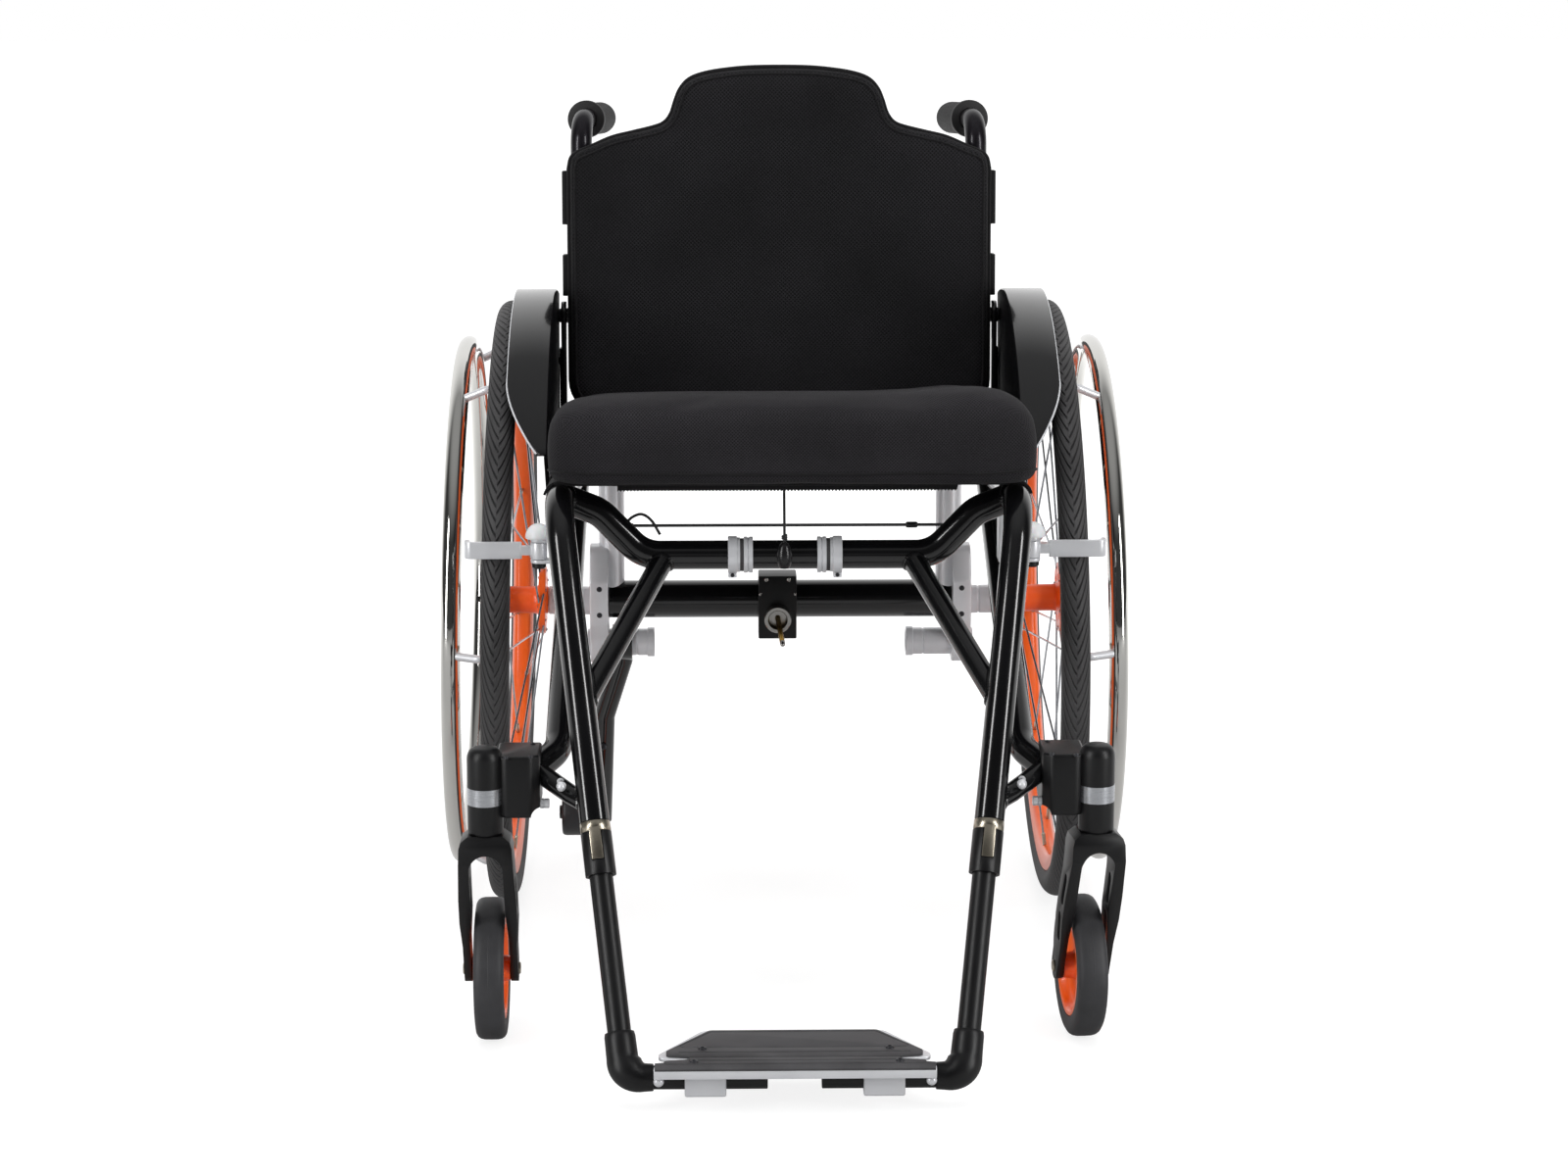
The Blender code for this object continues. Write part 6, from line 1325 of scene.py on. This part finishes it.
GRIP_DIR = Vector((-0.012, 0.112, 0.0)).normalized()
GRIP_R = 0.0160
GRIP_RINGS = 14
RING_PITCH = 0.0058

cane_corner = Vector((CANE_X, 0.0, 0.192))
cane_path = rounded([(CANE_X, 0.0, -0.024), cane_corner, cane_corner + GRIP_DIR * 0.142], 0.026, 16)
cane_bore = rod((CANE_X - 0.02, 0, 0), (CANE_X + 0.02, 0, 0), 0.0043, 32)
cane = carved(swept(cane_path, CANE_R, 40), 'DIFFERENCE', cane_bore)
# Dark grey metallic lacquer: fine flakes under a clear coat, a little violet.
METALLIC = finish('dark_grey_metallic_lacquer', ('#161418', '#2c2930'), (2600.0, 1.0), (0.30, 0.42),
                  (2600.0, 1.0), span=(0.35, 0.70), Metallic=0.75, Coat_Weight=0.4, Coat_Roughness=0.12)
pair('back_cane_tube', moved(cane, BACK_PLACE), METALLIC, 'back', 'grey_metallic', 'back_cane_')
grip_line = [(0.0, 0.1120), (0.0060, 0.1119), (0.0110, 0.1112), (0.0142, 0.1094), (0.0157, 0.1066),
             (GRIP_R, 0.1030)]
for ring in range(GRIP_RINGS):
    grip_line += [(radius, 0.0980 - ring * RING_PITCH + up) for radius, up in
                  ((GRIP_R, 0.0022), (0.0154, 0.0014), (0.0154, 0.0004), (GRIP_R, -0.0004))]
grip_line += [(GRIP_R, 0.0150), (0.0166, 0.0110), (0.0182, 0.0080), (0.0185, 0.0070), (0.0185, 0.0018),
              (0.0182, 0.0004), (0.0172, 0.0), (0.0108, 0.0), (0.0108, 0.1085), (0.0, 0.1085)]
grip = turned(grip_line, 48, BACK_PLACE @ pointed(cane_corner + GRIP_DIR * 0.034, GRIP_DIR))
GRIP_RUBBER = moulded_rubber('soft_grip_rubber', '#1e1d1e', '#151415', 0.62, 0.0009)
pair('push_grip_sleeve', grip, GRIP_RUBBER, 'back', 'grip_rubber', 'push_grip_')


# Back shell: the stretched black upholstery behind the pad. Laminated cloth with a bound edge, it is
# strapped round both canes by two bands a side, which close with hook and loop.

BACK_LOW = -0.100
BACK_HALF_X = 0.2085
BACK_CROWN = ((0.2085, 0.0000), (0.2085, 0.0700), (0.2085, 0.1300), (0.2082, 0.1470), (0.2030, 0.1600),
              (0.1842, 0.1690), (0.1641, 0.1776), (0.1440, 0.1825), (0.1239, 0.1874), (0.1139, 0.1914),
              (0.1078, 0.1993), (0.1038, 0.2113), (0.0987, 0.2232), (0.0897, 0.2331), (0.0756, 0.2390),
              (0.0536, 0.2430), (0.0235, 0.2455))


def back_ring(shrink, depth, per_span=5):
    """Outline of the backrest, drawn in by the shrink: straight sides, sloping shoulders, a raised middle."""
    side = [Vector((x, z, 0.0)) for x, z in BACK_CROWN]
    low_side = [Vector((BACK_HALF_X, BACK_LOW, 0.0)), Vector((BACK_HALF_X, 0.0, 0.0))]
    lower = rounded(opposite(low_side) + low_side, 0.038, 8)
    line = smooth_route(side + opposite(side), per_span) + lower[1:-1]
    drawn = []
    for index, point in enumerate(line):
        way = (line[(index + 1) % len(line)] - line[index - 1]).normalized()
        drawn.append(Vector((point.x - way.y * shrink, depth, point.y + way.x * shrink)))
    return drawn


def woven_nylon(name, pale, dark, pitch):
    """Woven nylon: plain weave of crossing threads, slightly shiny, near black."""
    paint, tree, shader = bare_paint(name, Sheen_Weight=0.06, Sheen_Roughness=0.4, Specular_IOR_Level=0.25,
                                     Roughness=0.72)
    place = node(tree, 'ShaderNodeTexCoord')
    axes = node(tree, 'ShaderNodeSeparateXYZ', [(0, place.outputs['Object'])])
    up = node(tree, 'ShaderNodeMath', [(0, axes.outputs['Z']), (1, axes.outputs['Y'])], operation='ADD')
    rows = []
    for source in (axes.outputs['X'], up.outputs[0]):
        turn = node(tree, 'ShaderNodeMath', [(0, source), (1, 2 * math.pi / pitch)], operation='MULTIPLY')
        rows.append(node(tree, 'ShaderNodeMath', [(0, turn.outputs[0])], operation='SINE').outputs[0])
    weave = node(tree, 'ShaderNodeMath', [(0, rows[0]), (1, rows[1])], operation='MULTIPLY')
    cloud = node(tree, 'ShaderNodeTexNoise', [('Vector', place.outputs['Object'])], Scale=25.0, Detail=4.0)
    dress(tree, shader, cloud.outputs[0], (dark, pale), (0.0, 1.0), weave.outputs[0], (0.5, 0.0004))
    return paint


SHELL_T = 0.0050
shell_rear = -CANE_R - 0.0007
shell_rings = [back_ring(0.006, depth) for depth in (shell_rear - SHELL_T, shell_rear)]
strap_front, strap_behind = shell_rear - 0.0040, CANE_R + 0.0007
strap_out = [(0.1965, strap_front, 0), (0.2130, strap_front, 0), (0.2130, strap_behind + 0.002, 0),
             (0.1860, strap_behind + 0.002, 0)]
strap_in = [(0.1860, strap_behind, 0), (0.2110, strap_behind, 0), (0.2110, strap_front + 0.002, 0),
            (0.1965, strap_front + 0.002, 0)]
strap_line = rounded(strap_out, 0.0045, 6) + rounded(strap_in, 0.0028, 6)
shell = [softened(skin(shell_rings), 0.0012, 3)]
for low, high in ((0.020, 0.060), (0.090, 0.142)):
    strap = softened(plate(strap_line, low, high), 0.0005)
    shell += [strap, mirrored(strap)]
NYLON = woven_nylon('woven_black_nylon', '#19191b', '#101012', 0.0016)
piece('back_shell_cloth', moved(together(*shell), BACK_PLACE), NYLON, 'back', 'satin_black', 'back_shell')
binding = swept(back_ring(0.0062, shell_rear - 0.0004), 0.0016, 10, closed=True)
piece('back_shell_binding', moved(binding, BACK_PLACE), NYLON, 'back', 'satin_black')


# Back pad: foam in a black spacer-mesh cover with small open cells. A seam runs 9 mm inside its edge, and a
# bound edge goes round its rear. Its front is slightly crowned, and its shoulders drop from the raised
# middle.

PAD_T = 0.0230


def spacer_mesh(name, pale, dark, cell, sheen):
    """Spacer mesh: black polyester knitted in small open cells, with a little pale fuzz on the ridges."""
    paint, tree, shader = bare_paint(name, Sheen_Weight=sheen, Sheen_Roughness=0.5, Specular_IOR_Level=0.25,
                                     Roughness=0.88)
    place = node(tree, 'ShaderNodeTexCoord')
    axes = node(tree, 'ShaderNodeSeparateXYZ', [(0, place.outputs['Object'])])
    facing = node(tree, 'ShaderNodeVectorMath', [(0, place.outputs['Normal'])], operation='ABSOLUTE')
    facing = node(tree, 'ShaderNodeSeparateXYZ', [(0, facing.outputs[0])])
    patterns = []
    for first, second in (('X', 'Z'), ('X', 'Y'), ('Y', 'Z')):
        flat = node(tree, 'ShaderNodeCombineXYZ', [('X', axes.outputs[first]), ('Y', axes.outputs[second])])
        grid = node(tree, 'ShaderNodeMapping', [('Vector', flat.outputs[0])],
                    Rotation=(0.0, 0.0, math.pi / 4), Scale=(1.0 / cell, 1.0 / cell, 1.0))
        cells = node(tree, 'ShaderNodeTexVoronoi', [('Vector', grid.outputs[0])], voronoi_dimensions='2D',
                     Scale=1.0, Randomness=0.0)
        patterns.append(cells.outputs['Distance'])
    on_top = node(tree, 'ShaderNodeMath', [(0, facing.outputs['Z']), (1, facing.outputs['Y'])],
                  operation='GREATER_THAN')
    upper = node(tree, 'ShaderNodeMix', [(0, on_top.outputs[0]), (2, patterns[0]), (3, patterns[1])])
    widest = node(tree, 'ShaderNodeMath', [(0, facing.outputs['Z']), (1, facing.outputs['Y'])],
                  operation='MAXIMUM')
    on_side = node(tree, 'ShaderNodeMath', [(0, facing.outputs['X']), (1, widest.outputs[0])],
                   operation='GREATER_THAN')
    spot = node(tree, 'ShaderNodeMix', [(0, on_side.outputs[0]), (2, upper.outputs[0]), (3, patterns[2])])
    ridge = node(tree, 'ShaderNodeMapRange', [(0, spot.outputs[0])], interpolation_type='SMOOTHSTEP',
                 From_Min=0.18, From_Max=0.52)
    cloud = node(tree, 'ShaderNodeTexNoise', [('Vector', place.outputs['Object'])], Scale=9.0, Detail=4.0)
    mixed = node(tree, 'ShaderNodeMath', [(0, ridge.outputs[0]), (1, cloud.outputs[0])], operation='MULTIPLY')
    dress(tree, shader, mixed.outputs[0], (dark, pale), (0.05, 0.65), ridge.outputs[0], (0.55, 0.0006))
    return paint


def inflated(mesh, voxel, pressure, cap, floor):
    """Foam in a tight cover: remeshed, blown up as cloth for 20 frames, within the cap and the floor."""
    mesh = modified(mesh, 'REMESH', mode='VOXEL', voxel_size=voxel)
    rest = [vertex.co.copy() for vertex in mesh.vertices]
    body = placed('body', mesh)
    cover = body.modifiers.new('cover', 'CLOTH')
    for name, value in (('quality', 6), ('mass', 0.3), ('tension_stiffness', 22.0),
                        ('compression_stiffness', 22.0), ('shear_stiffness', 12.0),
                        ('bending_stiffness', 1.5), ('use_pressure', True),
                        ('uniform_pressure_force', pressure)):
        setattr(cover.settings, name, value)
    cover.settings.effector_weights.gravity = 0.0
    cover.point_cache.frame_start = 1
    cover.point_cache.frame_end = 20
    for frame_number in range(1, 21):
        bpy.context.scene.frame_set(frame_number)
    blown = body.evaluated_get(bpy.context.evaluated_depsgraph_get()).data
    for vertex, start, end in zip(mesh.vertices, rest, [point.co.copy() for point in blown.vertices]):
        way = end - start
        vertex.co = floor(start + way * min(1.0, cap / max(way.length, 1e-9)))
    body.modifiers.remove(cover)
    bpy.data.objects.remove(body)
    bpy.context.scene.frame_set(1)
    return modified(mesh, 'SUBSURF', levels=1, render_levels=1)


def hugging(mesh, route, lift):
    """The route laid on the mesh's nearest spots and lifted a little, so that a seam follows the cloth."""
    shape = bmesh.new()
    shape.from_mesh(mesh)
    surface = BVHTree.FromBMesh(shape)
    nearest = [surface.find_nearest(point) for point in route]
    shape.free()
    return [spot + normal * lift for spot, normal, face, distance in nearest]


pad_back = shell_rear - SHELL_T - 0.0003
pad_front = pad_back - PAD_T
pad_rings = [back_ring(shrink, depth) for shrink, depth in
             ((0.0045, pad_back), (0.0015, pad_back - 0.0030), (0.0005, pad_front + 0.0120),
              (0.0015, pad_front + 0.0070), (0.0045, pad_front + 0.0042), (0.0090, pad_front + 0.0030))]
pad = inflated(skin(pad_rings), 0.005, 3.0, 0.0032,
               lambda spot: Vector((spot.x, min(spot.y, pad_back), spot.z)))
MESH_CLOTH = spacer_mesh('black_spacer_mesh', '#1e1d20', '#040405', 0.0026, 0.02)
seam_line = hugging(pad, back_ring(0.0085, pad_front + 0.0021), 0.0002)
pad_piece = piece('back_pad_cover', moved(pad, BACK_PLACE), MESH_CLOTH, 'back', 'mesh_cloth', 'back_cushion',
                  smooth=80.0)
PIPING = woven_nylon('black_seam_binding', '#161517', '#0c0b0d', 0.0012)
pad_seam = swept(seam_line, 0.0012, 10, closed=True)
piece('back_pad_seam', moved(pad_seam, BACK_PLACE), PIPING, 'back', 'mesh_cloth')
pad_edge = swept(back_ring(0.0034, pad_back - 0.0016), 0.0029, 12, closed=True)
piece('back_pad_binding', moved(pad_edge, BACK_PLACE), PIPING, 'back', 'mesh_cloth')


# Seat sling: tightly woven nylon, stretched across the seat rails and wrapped down their outer sides. Its
# front edge is bound with a toothed tape that shows below the cushion.

SLING_T = 0.0022
SLING_FRONT = -0.386
SLING_REAR = 0.034
WRAP_R = TUBE_R + 0.0006
TAPE_HALF_X = 0.1500
TOOTH_PITCH = 0.0030


def sling_under(y):
    return rail_at(y).z + WRAP_R


rows = []
for step in range(25):
    rail = rail_at(SLING_FRONT + (SLING_REAR - SLING_FRONT) * step / 24)
    half = [Vector((rail.x + x, rail.y, rail.z + z))
            for x, z in arc((0, 0), WRAP_R + SLING_T / 2, 12, 90, 12)]
    flat_part = [half[-1].lerp(opposite(half)[0], k / 24) for k in range(1, 24)]
    rows.append(half + flat_part + opposite(half))
sling_mesh = modified(skin(rows, closed=False), 'SOLIDIFY', thickness=SLING_T, offset=0.0)
sling = piece('seat_sling_cloth', sling_mesh, NYLON, 'root', 'satin_black', 'seat_sling')
tape = swept([point + Vector((0, -0.0010, -0.0012)) for point in rows[0][9:-9]], 0.0020, 10)
tape_piece = piece('seat_sling_binding', tape, PIPING, 'root', 'satin_black')
edge_low = sling_under(SLING_FRONT) - 0.0075
teeth = [(-TAPE_HALF_X, edge_low + 0.0085)]
teeth += [(-TAPE_HALF_X + step * TOOTH_PITCH / 2, edge_low + 0.0016 * (step % 2)) for step in range(200)]
teeth += [(TAPE_HALF_X, edge_low + 0.0085)]
toothed = plate(teeth, AXLE_Y + SLING_FRONT - 0.0006, AXLE_Y + SLING_FRONT + 0.0008, 'XZ')
teeth_piece = piece('seat_sling_teeth', toothed, PIPING, 'root', 'satin_black')


# Seat cushion: 70 mm of foam in a black knitted cover. Its top edges are round, its sides draw in between
# the corners and bulge over the rails in front of the guards, and its top slopes down to the back. A seam
# runs round its bottom.

CUSHION_HALF_X = 0.2145
CUSHION_FRONT = -0.445
CUSHION_REAR = -0.002
CUSHION_T = 0.070
CUSHION_CORNER = 0.044
GUARD_TIP_Y = -0.270
BULGE_R, BULGE_L = 0.052, 0.022
TOP_SLOPE = 0.43
CUSHION_RINGS = ((0.0140, 0.0, 0.0), (0.0070, 0.04, 0.001), (0.0045, 0.12, 0.004), (0.0035, 0.30, 0.006),
                 (0.0035, 0.45, 0.006), (0.0048, 0.62, 0.005), (0.0080, 0.77, 0.003), (0.0135, 0.88, 0.002),
                 (0.0220, 0.955, 0.001), (0.0350, 0.995, 0.0), (0.0570, 1.02, 0.0), (0.0900, 1.04, 0.0),
                 (0.1350, 1.05, 0.0))
half_y = (CUSHION_REAR - CUSHION_FRONT) / 2
middle_y = (CUSHION_REAR + CUSHION_FRONT) / 2

right_side = [Vector((CUSHION_HALF_X, -half_y, 0)), Vector((CUSHION_HALF_X, half_y, 0))]
corner_line = rounded(right_side + opposite(right_side), CUSHION_CORNER, 10, closed=True)
outline = []
for first, second in zip(corner_line, corner_line[1:] + corner_line[:1]):
    steps = 16 if (second - first).length > 0.1 else 1
    outline += [first.lerp(second, step / steps) for step in range(steps)]


def cushion_ring(inset, height, draw=0.0):
    """Ring of the cushion: the outline drawn in, with bulges before the guards and a sloping top."""
    made = []
    for point in outline:
        side = max(0.0, 1 - (abs(point.y) / half_y) ** 2) * draw
        end = max(0.0, 1 - (abs(point.x) / CUSHION_HALF_X) ** 2) * draw
        x = point.x * (1 - (inset + side) / CUSHION_HALF_X)
        y = middle_y + point.y * (1 - (inset + end) / half_y)
        bulge = min(max((GUARD_TIP_Y - y) / 0.06, 0.0), 1.0)
        x *= 1 + (BULGE_R if x > 0 else BULGE_L) * bulge * bulge * (3 - 2 * bulge)
        swell = 0.0070 * math.exp(-((x - 0.172) / 0.046) ** 2) * (height / CUSHION_T) ** 2
        back_share = min(max((y - CUSHION_FRONT - 0.06) / 0.36, 0.0), 1.0)
        above = height * (1 - TOP_SLOPE * back_share) + swell
        made.append(Vector((x, AXLE_Y + y, sling_under(y) + SLING_T + 0.0006 + above)))
    return made


cushion_rings = [cushion_ring(inset, CUSHION_T * share, draw) for inset, share, draw in CUSHION_RINGS]


def on_sling(spot):
    return Vector((spot.x, spot.y, max(spot.z, sling_under(spot.y - AXLE_Y) + SLING_T + 0.0006)))


cushion = inflated(skin(cushion_rings), 0.006, 3.5, 0.0042, on_sling)
seam_ring = hugging(cushion, cushion_ring(-0.0002, CUSHION_T * 0.13, 0.004), 0.0002)
KNIT = spacer_mesh('black_knitted_cover', '#2a282c', '#0d0c0e', 0.0021, 0.03)
cushion_piece = piece('seat_cushion_cover', cushion, KNIT, 'root', 'knit_cloth', 'seat_cushion', smooth=80.0)
piece('seat_cushion_seam', swept(seam_ring, 0.0012, 8, closed=True), PIPING, 'root', 'knit_cloth')


# Anti-tipper, viewer's left only: a twin tube in gloss black, clamped by an eye on the carrier's holder
# tube. A sprung button locks it, and a black plastic roller on its pin runs inside the rear wheel, behind
# the axle.

ROLLER = at(-0.1820, 0.100, 0.050)
EYE_LOW, EYE_HIGH = 0.1465, 0.1660
TWIN_R = 0.0062
eye_line = [(0.01365, 0.0), (0.0174, 0.0), (0.0180, 0.0006), (0.0180, 0.0189), (0.0174, 0.0195),
            (0.01365, 0.0195)]
eye_ring = turned(eye_line, 56, aimed(at(-EYE_HIGH, 0, HOLDER_Z)), closed=True)
eye_x = -(EYE_LOW + EYE_HIGH) / 2 - 0.001
knee = at(-0.1765, 0.045, 0.165)
end = ROLLER + (ROLLER - knee).normalized() * 0.0098
arm_route = rounded([at(eye_x, 0, HOLDER_Z), at(eye_x, 0.011, HOLDER_Z - 0.021), knee, end], 0.012, 10)
twin = [swept([point + Vector((offset, 0, 0)) for point in arm_route], TWIN_R, 28)
        for offset in (-0.0046, 0.0046)]
eye_bore = rod(at(-0.20, 0, HOLDER_Z), at(-0.12, 0, HOLDER_Z), 0.0150, 48)
twin_arm = carved(carved(twin[0], 'UNION', twin[1]), 'DIFFERENCE', eye_bore)
pin_bar = rod(ROLLER, Vector((-0.2230, ROLLER.y, ROLLER.z)), 0.0040, 24)
pin_head = rod(Vector((-0.2223, ROLLER.y, ROLLER.z)), Vector((-0.2250, ROLLER.y, ROLLER.z)), 0.0070, 32)
arm = together(eye_ring, twin_arm, pin_bar, softened(pin_head, 0.0006))
piece('antitip_arm_tube', arm, GLOSS_BLACK, 'tipper', 'black_lacquer', 'antitip_arm')
button_spot = knee.lerp(ROLLER, 0.30) + Vector((0.0, -0.0066, 0.0))
screws('antitip_arm_button', [button_spot], (0, -1, 0.2), 0.0034, DARK_STEEL, 'tipper', 'satin_black')
roller_line = [(0.0200, 0.0142), (0.0222, 0.0138), (0.0236, 0.0122), (0.0240, 0.0100), (0.0240, -0.0100),
               (0.0236, -0.0122), (0.0222, -0.0138), (0.0200, -0.0142), (0.0192, -0.0126), (0.0120, -0.0122),
               (0.0100, -0.0142), (0.0043, -0.0142), (0.0043, 0.0142), (0.0100, 0.0142), (0.0120, 0.0122),
               (0.0192, 0.0126)]
roller = turned(roller_line, 64, aimed((-0.2078, ROLLER.y, ROLLER.z)), closed=True)
ROLLER_PLASTIC = moulded_rubber('moulded_roller_plastic', '#242427', '#18181a', 0.45, 0.0008)
piece('antitip_roller', roller, ROLLER_PLASTIC, 'tipper_wheel', 'satin_black', 'antitip_wheel')


# Release cord: a thin black braided cord stretched between the bends of the cross tube, with a metal
# ferrule at the left, a loose tail that loops over it and a small plastic stopper at the right.

RELEASE_Z = 0.4410
TAIL_POINTS = ((0.1440, RELEASE_Z), (0.1380, 0.4482), (0.1290, 0.4512), (0.1205, 0.4455), (0.1130, 0.4330))
main_line = swept([at(-0.150, CROSS_Y, RELEASE_Z), at(0.150, CROSS_Y, RELEASE_Z)], 0.0014, 16)
main_line = carved(main_line, 'DIFFERENCE', swept(cross_path, CROSS_R + 0.0003, 40))
tail = swept(smooth_route([at(-x, CROSS_Y, z) for x, z in TAIL_POINTS], 8), 0.0013, 12)
piece('release_cord_line', together(main_line, tail), CORD, 'root', 'black_cord', 'release_cord')
stopper_line = [(0.0, 0.0), (0.0020, 0.0002), (0.0027, 0.0012), (0.0027, 0.0095), (0.0020, 0.0105),
                (0.0, 0.0107)]
stopper = turned(stopper_line, 20, aimed(at(0.1040, CROSS_Y, RELEASE_Z)))
piece('release_cord_stopper', stopper, SATIN_BLACK, 'root', 'satin_black')
ferrule_line = [(0.0, 0.0), (0.0019, 0.0), (0.0021, 0.0004), (0.0021, 0.0070), (0.0019, 0.0074),
                (0.0, 0.0074)]
ferrule = turned(ferrule_line, 20, aimed(at(-0.1440, CROSS_Y, RELEASE_Z)))
piece('release_cord_ferrule', ferrule, NICKEL, 'root', 'nickel')
